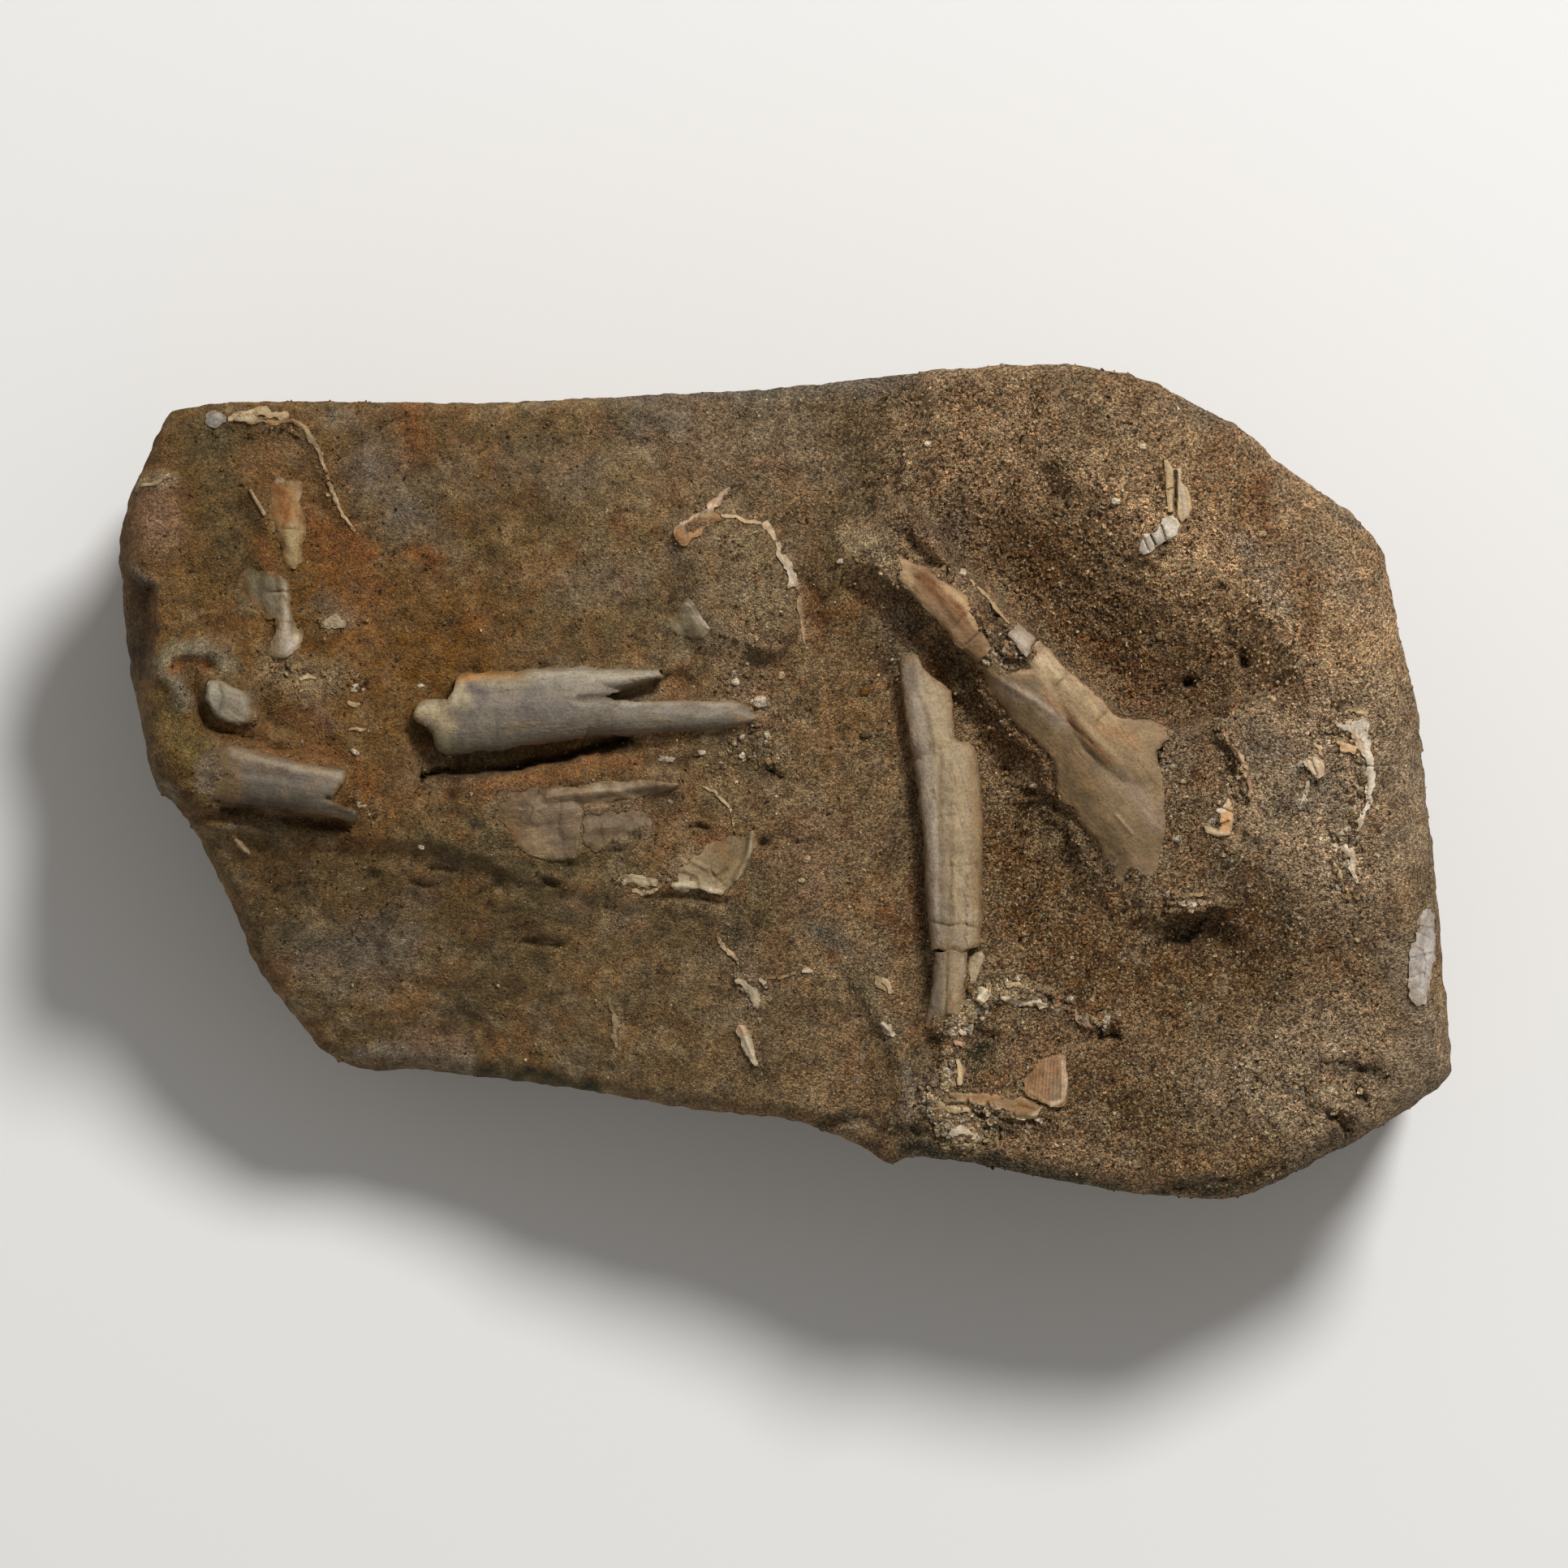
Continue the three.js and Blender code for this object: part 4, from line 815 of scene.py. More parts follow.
def sandstone_material():
    """Sand grains about half a millimetre wide in a brown cement, mottled at every size."""
    material, surface, node, links = new_material("sandstone", 0.92)
    surface.inputs["Specular IOR Level"].default_value = 0.25
    place = node("ShaderNodeTexCoord").outputs["Object"]
    stain = node("ShaderNodeAttribute", {"attribute_name": "stain"}).outputs["Color"]
    coarse = node("ShaderNodeAttribute", {"attribute_name": "coarse"}).outputs["Fac"]
    patches = node("ShaderNodeTexNoise", {"Scale": 130, "Detail": 6, "Roughness": 0.7}, Vector=place)
    mottle = node("ShaderNodeTexNoise", {"Scale": 320, "Detail": 6, "Roughness": 0.7}, Vector=place)
    speckle = node("ShaderNodeTexNoise", {"Scale": 1700, "Detail": 4, "Roughness": 0.8}, Vector=place)
    grains = node("ShaderNodeTexVoronoi", {"Scale": 2700, "Randomness": 1.0}, Vector=place)
    parts = node("ShaderNodeSeparateColor", Color=grains.outputs["Color"])
    rusty = level(node, patches.outputs["Fac"], 0.0, 0.4, 0.52, 0.7)
    share = level(node, coarse, 0.35, 1.0)
    tinted = blend(node, "MIX", stain, OCHRE * 1.05, math_node(node, "MULTIPLY", rusty, share))
    chalky = level(node, patches.outputs["Fac"], 0.4, 0.0, 0.32, 0.46)
    tinted = blend(node, "MIX", tinted, CREAM, math_node(node, "MULTIPLY", chalky, share))
    tinted = blend(node, "MULTIPLY", tinted, level(node, mottle.outputs["Fac"], 0.52, 1.58, 0.3, 0.7))
    fine = level(node, speckle.outputs["Fac"], 0.22, 1.98, 0.36, 0.64)
    tinted = blend(node, "MULTIPLY", tinted, fine, level(node, coarse, 0.55, 1.0))
    grain_tone = level(node, parts.outputs["Red"], 0.28, 1.78)
    tinted = blend(node, "MULTIPLY", tinted, grain_tone, level(node, coarse, 0.4, 1.0))
    light = math_node(node, "GREATER_THAN", parts.outputs["Green"], 0.88)
    light = math_node(node, "MULTIPLY", light, level(node, coarse, 0.06, 0.8))
    tinted = blend(node, "MIX", tinted, QUARTZ, light)
    dark = math_node(node, "LESS_THAN", parts.outputs["Green"], 0.08)
    dark = math_node(node, "MULTIPLY", dark, level(node, coarse, 0.2, 0.6))
    tinted = blend(node, "MIX", tinted, UMBER, dark)
    links.new(tinted, surface.inputs["Base Color"])
    height = math_node(node, "MULTIPLY", grains.outputs["Distance"], -0.9)
    height = math_node(node, "ADD", height, math_node(node, "MULTIPLY", speckle.outputs["Fac"], 1.5))
    height = math_node(node, "MULTIPLY", height, level(node, coarse, 0.5, 1.8))
    height = math_node(node, "ADD", height, math_node(node, "MULTIPLY", mottle.outputs["Fac"], 1.3))
    bump = node("ShaderNodeBump", {"Strength": 1.0, "Distance": 0.0008}, Height=height)
    links.new(bump.outputs["Normal"], surface.inputs["Normal"])
    return material


sandstone = sandstone_material()
rock.data.materials.append(sandstone)
select_object(rock)
bpy.ops.object.shade_smooth()
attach(rock, "root")
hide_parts("matrix_block")

# ---------------------------------------------------------------------------------------------
# Forked limb shaft: the stoutest bone, a hollow shaft lying half sunk in the bench. Its right end
# broke into two prongs, and its left end stepped down to a lower, cream layer of the wall.
# ---------------------------------------------------------------------------------------------
LILAC_BONE = tone(128, 114, 100)
GREY_BONE = tone(116, 104, 88)
WHITE_BONE = tone(182, 167, 148)
CREAM_BONE = tone(170, 148, 114)
YELLOW_BONE = tone(178, 150, 108)
AMBER_BONE = tone(150, 108, 62)
BROWN_BONE = tone(122, 94, 60)
CRACK = tone(58, 42, 26)
BONE_CELL = 0.33  # width of one face of a bone
BONE_DEPTH = 2.6  # how far a bone reaches down into the rock


def shaft_height(stations, x, y):
    """Upper face of a round shaft. A station is x, y, half width and height above the rock."""
    best, top = np.full(np.shape(x), 1e9), np.full(np.shape(x), -1e9)
    for (ax, ay, aw, ah), (bx, by, bw, bh) in zip(stations, stations[1:]):
        ux, uy = bx - ax, by - ay
        t = np.clip(((x - ax) * ux + (y - ay) * uy) / (ux * ux + uy * uy), 0, 1)
        axis_x, axis_y = ax + t * ux, ay + t * uy
        distance = np.hypot(x - axis_x, y - axis_y)
        width, height = aw + t * (bw - aw), ah + t * (bh - ah)
        arch = np.sqrt(np.maximum(0, 1 - (distance / width) ** 2))
        z = bed_height(axis_x, axis_y) + height * (0.2 + 0.8 * arch) - np.maximum(0, distance - width)
        top = np.where(distance < best, z, top)
        best = np.minimum(best, distance)
    return top


WALL_STEPS = np.array([0, 0.07, 0.2, 0.36, 0.56, 1])


def cut_grid(name, outline, cell, turn, nibble, seed):
    """A flat grid along the direction of turn, cut to an outline whose edge is a little nibbled."""
    angle = math.radians(turn)
    way = np.array([[math.cos(angle), math.sin(angle)], [-math.sin(angle), math.cos(angle)]])
    turned = np.array(outline) @ way.T
    low, high = turned.min(0) - 2 * cell, turned.max(0) + 2 * cell
    bpy.ops.object.select_all(action="DESELECT")
    bpy.ops.mesh.primitive_grid_add(
        x_subdivisions=math.ceil((high[0] - low[0]) / cell),
        y_subdivisions=math.ceil((high[1] - low[1]) / cell),
        size=2,
    )
    piece = bpy.context.object
    piece.name = name

    def uneven(x, y):
        wave = [noise(x, y, 0, size, seed + k) for k, size in enumerate((3, 3, 1.1, 1.1))]
        return x + nibble * (wave[0] + 0.5 * wave[2]), y + nibble * (wave[1] + 0.5 * wave[3])

    spread = low + (corners(piece.data)[:, :2] + 1) / 2 * (high - low)
    x, y = (spread @ way).T
    ux, uy = uneven(x, y)
    distance = line_distance(outline, ux, uy, closed=True)[0]
    outside = ~is_inside(outline, ux, uy) & (distance > 0.4 * cell)
    move_corners(piece.data, np.stack([x, y, 0 * x], 1))
    piece.data.polygons.foreach_set("select", np.zeros(len(piece.data.polygons), bool))
    piece.data.edges.foreach_set("select", np.zeros(len(piece.data.edges), bool))
    piece.data.vertices.foreach_set("select", outside)
    bpy.ops.object.mode_set(mode="EDIT")
    bpy.ops.mesh.select_mode(type="VERT")
    bpy.ops.mesh.delete(type="VERT")
    bpy.ops.mesh.select_all(action="SELECT")
    bpy.ops.mesh.delete_loose()
    bpy.ops.mesh.select_all(action="DESELECT")
    bpy.ops.mesh.select_non_manifold()
    bpy.ops.object.mode_set(mode="OBJECT")
    places = corners(piece.data)
    rim = np.zeros(len(places), bool)
    piece.data.vertices.foreach_get("select", rim)
    for _ in range(2):
        ux, uy = uneven(places[:, 0], places[:, 1])
        near_x, near_y = nearest_point(outline, ux, uy)
        places[rim, 0] += (near_x - ux)[rim]
        places[rim, 1] += (near_y - uy)[rim]
    move_corners(piece.data, places)
    bpy.ops.object.mode_set(mode="EDIT")
    for _ in WALL_STEPS[1:]:
        bpy.ops.mesh.extrude_region_move(TRANSFORM_OT_translate={"value": (0, 0, -1)})
    bpy.ops.mesh.select_all(action="SELECT")
    bpy.ops.mesh.fill_holes(sides=0)
    bpy.ops.mesh.select_all(action="SELECT")
    bpy.ops.mesh.normals_make_consistent(inside=False)
    bpy.ops.object.mode_set(mode="OBJECT")
    return piece, way


def nearest_point(outline, x, y):
    best = np.full(np.shape(x), 1e9)
    near_x, near_y = np.array(x), np.array(y)
    for (ax, ay), (bx, by) in zip(outline, outline[1:] + outline[:1]):
        ux, uy = bx - ax, by - ay
        t = np.clip(((x - ax) * ux + (y - ay) * uy) / max(ux * ux + uy * uy, 1e-9), 0, 1)
        px, py = ax + t * ux, ay + t * uy
        distance = np.hypot(x - px, y - py)
        near_x, near_y = np.where(distance < best, px, near_x), np.where(distance < best, py, near_y)
        best = np.minimum(best, distance)
    return near_x, near_y


def bone_material(name, roughness, dust):
    """Fossil bone: fine fibres along the bone, hairline cracks, specks and a film of rock dust."""
    material, surface, node, links = new_material(name, roughness)
    surface.inputs["Specular IOR Level"].default_value = 0.35
    place = node("ShaderNodeTexCoord").outputs["Object"]
    stain = node("ShaderNodeAttribute", {"attribute_name": "stain"}).outputs["Color"]
    fibre = node("ShaderNodeAttribute", {"attribute_name": "fibre"}).outputs["Vector"]
    streaks = node("ShaderNodeTexNoise", {"Scale": 0.9, "Detail": 5, "Roughness": 0.65}, Vector=fibre)
    clouds = node("ShaderNodeTexNoise", {"Scale": 330, "Detail": 4, "Roughness": 0.6}, Vector=place)
    speckle = node("ShaderNodeTexNoise", {"Scale": 1700, "Detail": 3, "Roughness": 0.7}, Vector=place)
    cracks = node("ShaderNodeTexVoronoi", {"feature": "DISTANCE_TO_EDGE", "Scale": 0.33, "Randomness": 1.0})
    bent = node("ShaderNodeVectorMath", {"operation": "MULTIPLY_ADD"})
    bent.inputs[1].default_value = (1.6, 1.6, 1.6)
    links.new(streaks.outputs["Color"], bent.inputs[0])
    links.new(fibre, bent.inputs[2])
    links.new(bent.outputs[0], cracks.inputs["Vector"])
    tinted = blend(node, "MULTIPLY", stain, level(node, streaks.outputs["Fac"], 0.9, 1.1, 0.32, 0.68))
    tinted = blend(node, "MULTIPLY", tinted, level(node, clouds.outputs["Fac"], 0.8, 1.2, 0.34, 0.66))
    tinted = blend(node, "MULTIPLY", tinted, level(node, speckle.outputs["Fac"], 0.76, 1.26, 0.34, 0.66))
    crack = level(node, cracks.outputs["Distance"], 0.4, 0.0, 0.0, 0.03)
    open_here = level(node, clouds.outputs["Fac"], 0.0, 1.0, 0.47, 0.56)
    crack = math_node(node, "MULTIPLY", crack, open_here)
    tinted = blend(node, "MIX", tinted, CRACK * 1.6, crack)
    specks = level(node, speckle.outputs["Fac"], 0.0, 0.55, 0.62, 0.7)
    tinted = blend(node, "MIX", tinted, BROWN_BONE * 0.55, specks)
    film = level(node, clouds.outputs["Fac"], 0.0, dust, 0.55, 0.68)
    tinted = blend(node, "MIX", tinted, SAND * 0.9, film)
    links.new(tinted, surface.inputs["Base Color"])
    height = math_node(node, "MULTIPLY", streaks.outputs["Fac"], 0.6)
    height = math_node(node, "ADD", height, math_node(node, "MULTIPLY", speckle.outputs["Fac"], 0.6))
    height = math_node(node, "ADD", height, math_node(node, "MULTIPLY", crack, -0.5))
    height = math_node(node, "ADD", height, film)
    bump = node("ShaderNodeBump", {"Strength": 0.8, "Distance": 0.0003}, Height=height)
    links.new(bump.outputs["Normal"], surface.inputs["Normal"])
    return material


BONE_FINISHES = {
    "grey_bone": bone_material("grey_bone", 0.6, 0.45),
    "stained_bone": bone_material("stained_bone", 0.68, 0.6),
    "cream_bone": bone_material("cream_bone", 0.62, 0.4),
}
bone_outlines = []
under_bone = np.zeros(len(rock_x), bool)


def bone(name, slot, outline, colour, shafts=(), lift=None, edge=0.5, relief=(), dents=(), stains_and_painted_light=(),
         turn=0, cell=BONE_CELL, nibble=0.22, dust=0.6, film=1.6, hug=1.6, buried=(), drape=False,
         shade=(1, 1, 1), seed=100, stands_for_node=True):
    """Makes one bone, paints it and lets it into the rock. A thin one is draped over the relief.
    The shade darkens the whole bone, colour marks, painted shade and painted highlights and all."""
    seed += len(bone_outlines) * 10
    piece, way = cut_grid(name, outline, cell, turn, nibble, seed)

    def top(x, y):
        bed = rock_height if drape else bed_height
        z = np.full(np.shape(x), -1e9) if lift is None else bed(x, y) + lift
        for stations in shafts:
            z = np.maximum(z, shaft_height(stations, x, y))
        for line, height, left, right in relief:
            z += ridge(line, x, y, height, left, right)
        for area, height, width in dents:
            z += pad(area, x, y, height, width)
        z += 0.18 * noise(x, y, 0, 6, seed + 5) + 0.1 * noise(x, y, 0, 1.9, seed + 6)
        inward = line_distance(outline, x, y, closed=True)[0]
        t = np.clip(1 - inward / edge, 0, 1)
        return np.minimum(z - edge * (1 - np.sqrt(1 - t * t)), cad_high.z / MM - 0.02)

    places = corners(piece.data)
    ring = np.round(-places[:, 2])
    x, y = places[:, 0], places[:, 1]
    upper = top(x, y)
    floor = np.minimum(bed_height(x, y) - BONE_DEPTH, upper - 0.5)
    sunk = WALL_STEPS[ring.astype(int)]
    z = upper + sunk * (floor - upper)
    uneven = 0.45 * smooth(sunk / 0.3)
    wall_x = x + uneven * noise(x, y, z, 2.4, seed + 3)
    wall_y = y + uneven * noise(x, y, z, 2.4, seed + 2)
    move_corners(piece.data, np.stack([wall_x, wall_y, z], 1) * MM)
    tint = colour
    drift = lumps(x, y, 0, 7, 3, seed + 7)[:, None]
    base = colour * (1 + 0.16 * drift)
    inward = line_distance(outline, x, y, closed=True)[0]
    patchy = smooth(0.5 + 1.4 * noise(x, y, 0, 2.6, seed + 8))
    colour = paint(piece.data, base, stains_and_painted_light, x, y, 0.3, seed + 1) * shade
    clinging = 0.28 * smooth(0.1 + 0.9 * noise(x, y, 0, 4.4, seed + 9) + 0.5 * noise(x, y, 0, 1.6, seed + 4))
    rubbed = dust * (clinging + (0.35 + 0.65 * patchy) * (1 - smooth(inward / film)))
    beside = rock_colour_at(x, y) * 0.95
    wall = ring > 0
    grimy = smooth(0.7 + 0.9 * noise(x, y, 1.5 * z, 3.2, seed + 3) + 0.6 * noise(x, y, z, 1.1, seed + 2))
    rubbed = np.where(wall, 0.35 + 0.6 * grimy, rubbed).clip(0, 1)
    beside[wall] = (beside[wall].mean(0) * (0.9 + 0.25 * lumps(x, y, z, 2.2, 3, seed + 3)[:, None]))[wall]
    colour += rubbed[:, None] * (beside - colour)
    colour += smooth(1.5 * covered(buried, x, y))[:, None] * (beside - colour)
    store_colour(piece.data, colour)
    fibre = piece.data.attributes.new("fibre", "FLOAT_VECTOR", "POINT")
    along, across = way @ np.stack([x, y])
    fibre.data.foreach_set("vector", np.stack([along * 0.12, across, z * 0.6], 1).ravel())
    piece.data.materials.append(BONE_FINISHES[slot])
    select_object(piece)
    bpy.ops.object.shade_smooth_by_angle(angle=math.radians(50))
    seat(outline, top, hug, buried, tint)
    bone_outlines.append(outline)
    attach(piece, "root")
    if stands_for_node:
        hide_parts(name)
    return piece


def covered(buried, x, y):
    """How far the rock spreads over a bone, from 0 to 1. Each area has the width of its edge."""
    cover = np.max([pad(area, x, y, 1.0, width) for area, width in buried] + [0 * x], 0)
    patchy = noise(x, y, 0, 3.4, 73) + 0.6 * noise(x, y, 0, 1.3, 74)
    return (cover + 1.4 * patchy * cover * (1 - cover)).clip(0, 1)


def rock_colour_at(x, y):
    """The rock's painted colour beside a bone, its painted shade and light included, for the sand that still clings
    to it.
    """
    order = np.argsort(rock_x[:sheet_corners] + 1000 * np.round(rock_y[:sheet_corners] / 2))
    keys = (rock_x[:sheet_corners] + 1000 * np.round(rock_y[:sheet_corners] / 2))[order]
    found = np.searchsorted(keys, x + 1000 * np.round(y / 2)).clip(0, sheet_corners - 1)
    return painted[order[found]]


def seat(outline, top, hug, buried, tint):
    """Lowers the rock where a bone lies on it, and lets it rise a little against the bone's sides.
    Where the bone is buried, or lower than the rock, the rock covers it as a thin film."""
    places = corners(rock.data)
    x, y, z = places.T / MM
    near = (x > min(p[0] for p in outline) - 4) & (x < max(p[0] for p in outline) + 4)
    near &= (y > min(p[1] for p in outline) - 4) & (y < max(p[1] for p in outline) + 4)
    near = np.flatnonzero(near & (~rock_on_flank | (z > 40)))
    x, y, z = x[near], y[near], z[near]
    inside = is_inside(outline, x, y)
    bone_z = top(x, y)
    edge_x, edge_y = nearest_point(outline, x, y)
    edge_z = top(edge_x, edge_y)
    away = np.hypot(x - edge_x, y - edge_y)
    cover = covered(buried, x, y)
    ragged = 0.45 * noise(x, y, 0, 2.4, 71) + 0.3 * noise(x, y, 0, 1.0, 72)
    film = np.where(cover > 0.25, 1.6 * (cover - 0.68) + ragged, -9)
    touches = smooth((3.4 - (edge_z - z)) / 1.2)
    below = bone_z - 0.2 - 0.9 * smooth(away / 1.4)
    lowered = np.where(z > bone_z + 0.05, z, np.minimum(z + touches * np.maximum(0, below - z), below))
    lowered = np.maximum(lowered, bone_z + film)
    lean = edge_z + np.maximum(-0.3, film) - 0.9 * away / hug
    risen = z + np.maximum(0, lean - z) * touches * smooth(1.6 - away / hug)
    placed = np.where(inside, lowered, risen)
    places[near, 2] = placed * MM
    under_bone[near] |= inside & (placed < bone_z) & (away > 0.3)
    shows = 0.5 * cover * inside
    painted[near] += shows[:, None] * (tint - painted[near])
    move_corners(rock.data, places)


bone(
    "forked_shaft_bone",
    "grey_bone",
    [(-68.8, 13), (-68, 14.8), (-65.5, 15.5), (-62.5, 15.5), (-61.5, 17), (-61, 19.2), (-60.5, 20),
     (-58.5, 20.3), (-50, 20.6), (-46.5, 21.2), (-40, 21.5), (-35, 21.5), (-30, 21), (-25, 21.2),
     (-23.7, 21.2), (-22.9, 20.2), (-22, 19.7), (-24, 19.3), (-27, 18), (-30, 17), (-31.7, 16.8),
     (-33, 16), (-31.5, 15.4), (-24, 15.2), (-16, 15.4), (-10.5, 15.3), (-7, 14.8), (-6, 13.3),
     (-5.5, 11.8), (-6.2, 11.2), (-9.5, 10.4), (-12.5, 9.8), (-17, 9.6), (-22, 9.5), (-28, 9),
     (-34, 8.7), (-40, 8), (-46, 7.3), (-52, 6.3), (-57, 5.9), (-60, 5.3), (-62, 5), (-64, 5.8),
     (-65, 7.5), (-65.5, 9.6), (-66.2, 10.5), (-68, 11.3), (-68.8, 12)],
    LILAC_BONE,
    shafts=[
        [(-68.5, 13.2, 2.6, 4.4), (-66, 12.6, 4.6, 5.6), (-63.3, 12, 6.8, 6.8), (-60.5, 12.8, 7.6, 7.5),
         (-52, 13.4, 7.4, 8), (-44, 14.3, 7.2, 8), (-36, 14.6, 6.4, 7.5), (-31, 12.6, 4, 6.4),
         (-20, 12.4, 3.1, 5.2), (-10, 12.6, 2.6, 4.2), (-5.8, 11.9, 1.2, 3)],
        [(-42, 18, 3.2, 7), (-33, 18.8, 2.6, 5.8), (-27, 19.7, 1.6, 4.8), (-22.3, 20, 0.8, 3.8)],
    ],
    relief=[
        ([(-58, 16.4), (-50, 16.8), (-42, 17)], -0.35, 1.4, 1.4),
        ([(-38, 15.6), (-33, 15.9)], -0.9, 1.0, 1.6),
        ([(-52.8, 6), (-53.4, 13)], -0.15, 0.35, 0.35),
    ],
    stains_and_painted_light=[
        (tone(188, 162, 124), [(-67.6, 13.6), (-64, 13), (-62.6, 11)], 3.4, 0.9),
        (tone(160, 116, 74), [(-60.4, 19), (-57, 19.4)], 1.5, 0.6),
        (tone(170, 128, 84), [(-49, 20.2), (-44, 20.6)], 1.2, 0.55),
        (tone(146, 128, 98), [(-64.6, 8), (-61.6, 6.6), (-58, 7)], 1.6, 0.6),
        (tone(204, 186, 152), [(-67.8, 14), (-66, 14.6)], 1.2, 0.7),
        (tone(196, 176, 146), [(-66, 14.6), (-61, 15.4), (-60, 18.6)], 2, 0.7),
        (tone(132, 122, 88), [(-64.4, 8.6), (-62.6, 6.4)], 2.6, 0.8),
        (CREAM_BONE, [(-60, 18.4), (-59, 15)], 2.4, 0.7),
        (AMBER_BONE, [(-58.6, 20), (-53, 20.2)], 1.3, 0.9),
        (tone(200, 140, 82), [(-62.4, 18.8), (-57, 20), (-49, 20.2)], 1.5, 0.8),
        (tone(104, 88, 84), [(-58, 17.6), (-55.6, 16.4)], 1.8, 0.8),
        (WHITE_BONE, [(-47, 20), (-38, 20.4), (-30, 20), (-23.5, 20.6)], 2.6, 0.75),
        (CREAM_BONE, [(-56, 19), (-48, 19)], 2.2, 0.5),
        (GREY_BONE, [(-58, 8), (-46, 9.4), (-34, 10.4)], 3.2, 0.7),
        (tone(112, 100, 94), [(-48, 13.4), (-40, 13.6)], 3.2, 0.7),
        (WHITE_BONE, [(-30, 14.6), (-18, 14.9), (-9, 14.6)], 1.0, 0.6),
        (GREY_BONE, [(-32, 12), (-20, 11.8), (-9, 11.8)], 2.4, 0.6),
        (tone(150, 138, 118), [(-16, 12.2), (-12, 12.4)], 1.4, 0.5),
        (CRACK, [(-53, 6), (-53.5, 12.5)], 0.3, 0.3),
        (CRACK, [(-38, 15.6), (-33, 15.8)], 0.6, 0.7),
        (AMBER_BONE, [(-9.5, 12.4), (-8, 12)], 0.8, 0.6),
    ],
    turn=2.5,
    nibble=0.4,
    shade=(0.84, 0.88, 0.85),
)

# ---------------------------------------------------------------------------------------------
# Left limb shaft: its left end is still covered by the hump of rock, and its right end is a
# straight, old break. The wall is crushed a little along the top.
# ---------------------------------------------------------------------------------------------
bone(
    "left_shaft_bone",
    "grey_bone",
    [(-109, 4.5), (-106.5, 5.8), (-103, 7.3), (-101, 7.0), (-96, 5.5), (-90, 4), (-85, 3.1), (-82, 2.6),
     (-81, 2.4), (-81, 1.5), (-81.3, 0), (-82, -0.5), (-82.7, -1.5), (-83.4, -2.5), (-83.4, -3.2),
     (-82, -4), (-79.8, -4.8), (-79, -5.5), (-79, -6.8), (-79.8, -7.3), (-83, -6.5), (-87, -5.5),
     (-91, -4.7), (-96, -4), (-102, -3.6), (-106, -3), (-109, -1.5)],
    LILAC_BONE * 0.86,
    shafts=[
        [(-110.5, 1.4, 5.4, 2.6), (-107, 1.7, 5.6, 3.2), (-103, 1.8, 5.6, 4.0), (-96, 0.9, 5.2, 4.8),
         (-88, -0.8, 5, 5.2), (-80.5, -2.5, 4.9, 4.8)],
    ],
    relief=[
        ([(-102, 5.4), (-92, 3.4), (-82, 1.6)], 0.5, 1.1, 1.6),
        ([(-100, 2), (-88, 0.2)], -0.35, 1.5, 1.5),
        ([(-84.6, -2.8), (-79.6, -5)], -0.9, 0.8, 0.8),
        ([(-83.4, -5), (-79, -6.4)], -0.8, 1.5, 2),
    ],
    buried=[([(-116, 12), (-104, 10), (-102, 5), (-102.6, 0), (-104, -8), (-116, -8)], 12)],
    hug=2.6,
    stains_and_painted_light=[
        (tone(168, 150, 128), [(-102, 5.6), (-92, 3.2), (-82.6, 1.4)], 1.7, 0.8),
        (PINK, [(-99, 4), (-92, 2.2)], 1.4, 0.35),
        # darker grey to near black along the lower side: painted shade
        (GREY_BONE * 0.9, [(-98, -0.5), (-90, -1.8), (-84, -3)], 3, 0.8),
        (tone(108, 98, 84), [(-103, -1), (-92, -2.2), (-84, -4.2)], 3.4, 0.8),
        (tone(66, 58, 44), [(-103, -3.4), (-92, -4.2), (-82, -6.8)], 2.2, 0.9),
        (tone(78, 74, 62), [(-82.6, -5), (-79.4, -6)], 1.4, 0.8),
        (WHITE_BONE, [(-82.4, 1.4), (-81.4, 0.6)], 1, 0.6),
        (CRACK, [(-84.8, -2.8), (-80, -4.8)], 0.5, 0.7),
        (AMBER_BONE, [(-99, 6), (-97, 5.4)], 0.9, 0.5),
    ],
    turn=-9,
    shade=(0.7, 0.7, 0.65),
)

# ---------------------------------------------------------------------------------------------
# Small oval bone: it lies loose-looking in a hollow of the hump, with a gap all along its left.
# ---------------------------------------------------------------------------------------------
bone(
    "small_white_bone",
    "grey_bone",
    [(-107, 17.5), (-106.8, 18.9), (-105, 19), (-104, 18.9), (-102.5, 18), (-101, 17.4), (-99.5, 16.7),
     (-98, 15), (-97, 13), (-97.3, 11.6), (-98.5, 10.9), (-101, 10.8), (-103, 11.1), (-105, 12),
     (-106.2, 13.6), (-107.2, 15.5)],
    tone(150, 136, 118),
    lift=1.5,
    edge=0.9,
    film=1.2,
    hug=1.6,
    buried=[([(-99, 20), (-98.6, 16), (-98.4, 12), (-100, 9), (-94, 9), (-94, 20)], 4)],
    relief=[
        ([(-104.6, 18.4), (-103.8, 15), (-104.8, 12.4)], -0.25, 0.5, 0.5),
        ([(-105.6, 16.4), (-102, 15), (-99, 13)], 0.35, 3, 3),
    ],
    stains_and_painted_light=[
        (WHITE_BONE, [(-106, 17.6), (-105.4, 14.4)], 1.6, 0.7),
        (tone(138, 116, 100), [(-102, 15), (-98.6, 13)], 2.4, 0.6),
        (CRACK, [(-104.6, 18.6), (-103.8, 15), (-104.8, 12.2)], 0.4, 0.5),
    ],
    turn=-28,
    shade=(0.76, 0.8, 0.74),
)

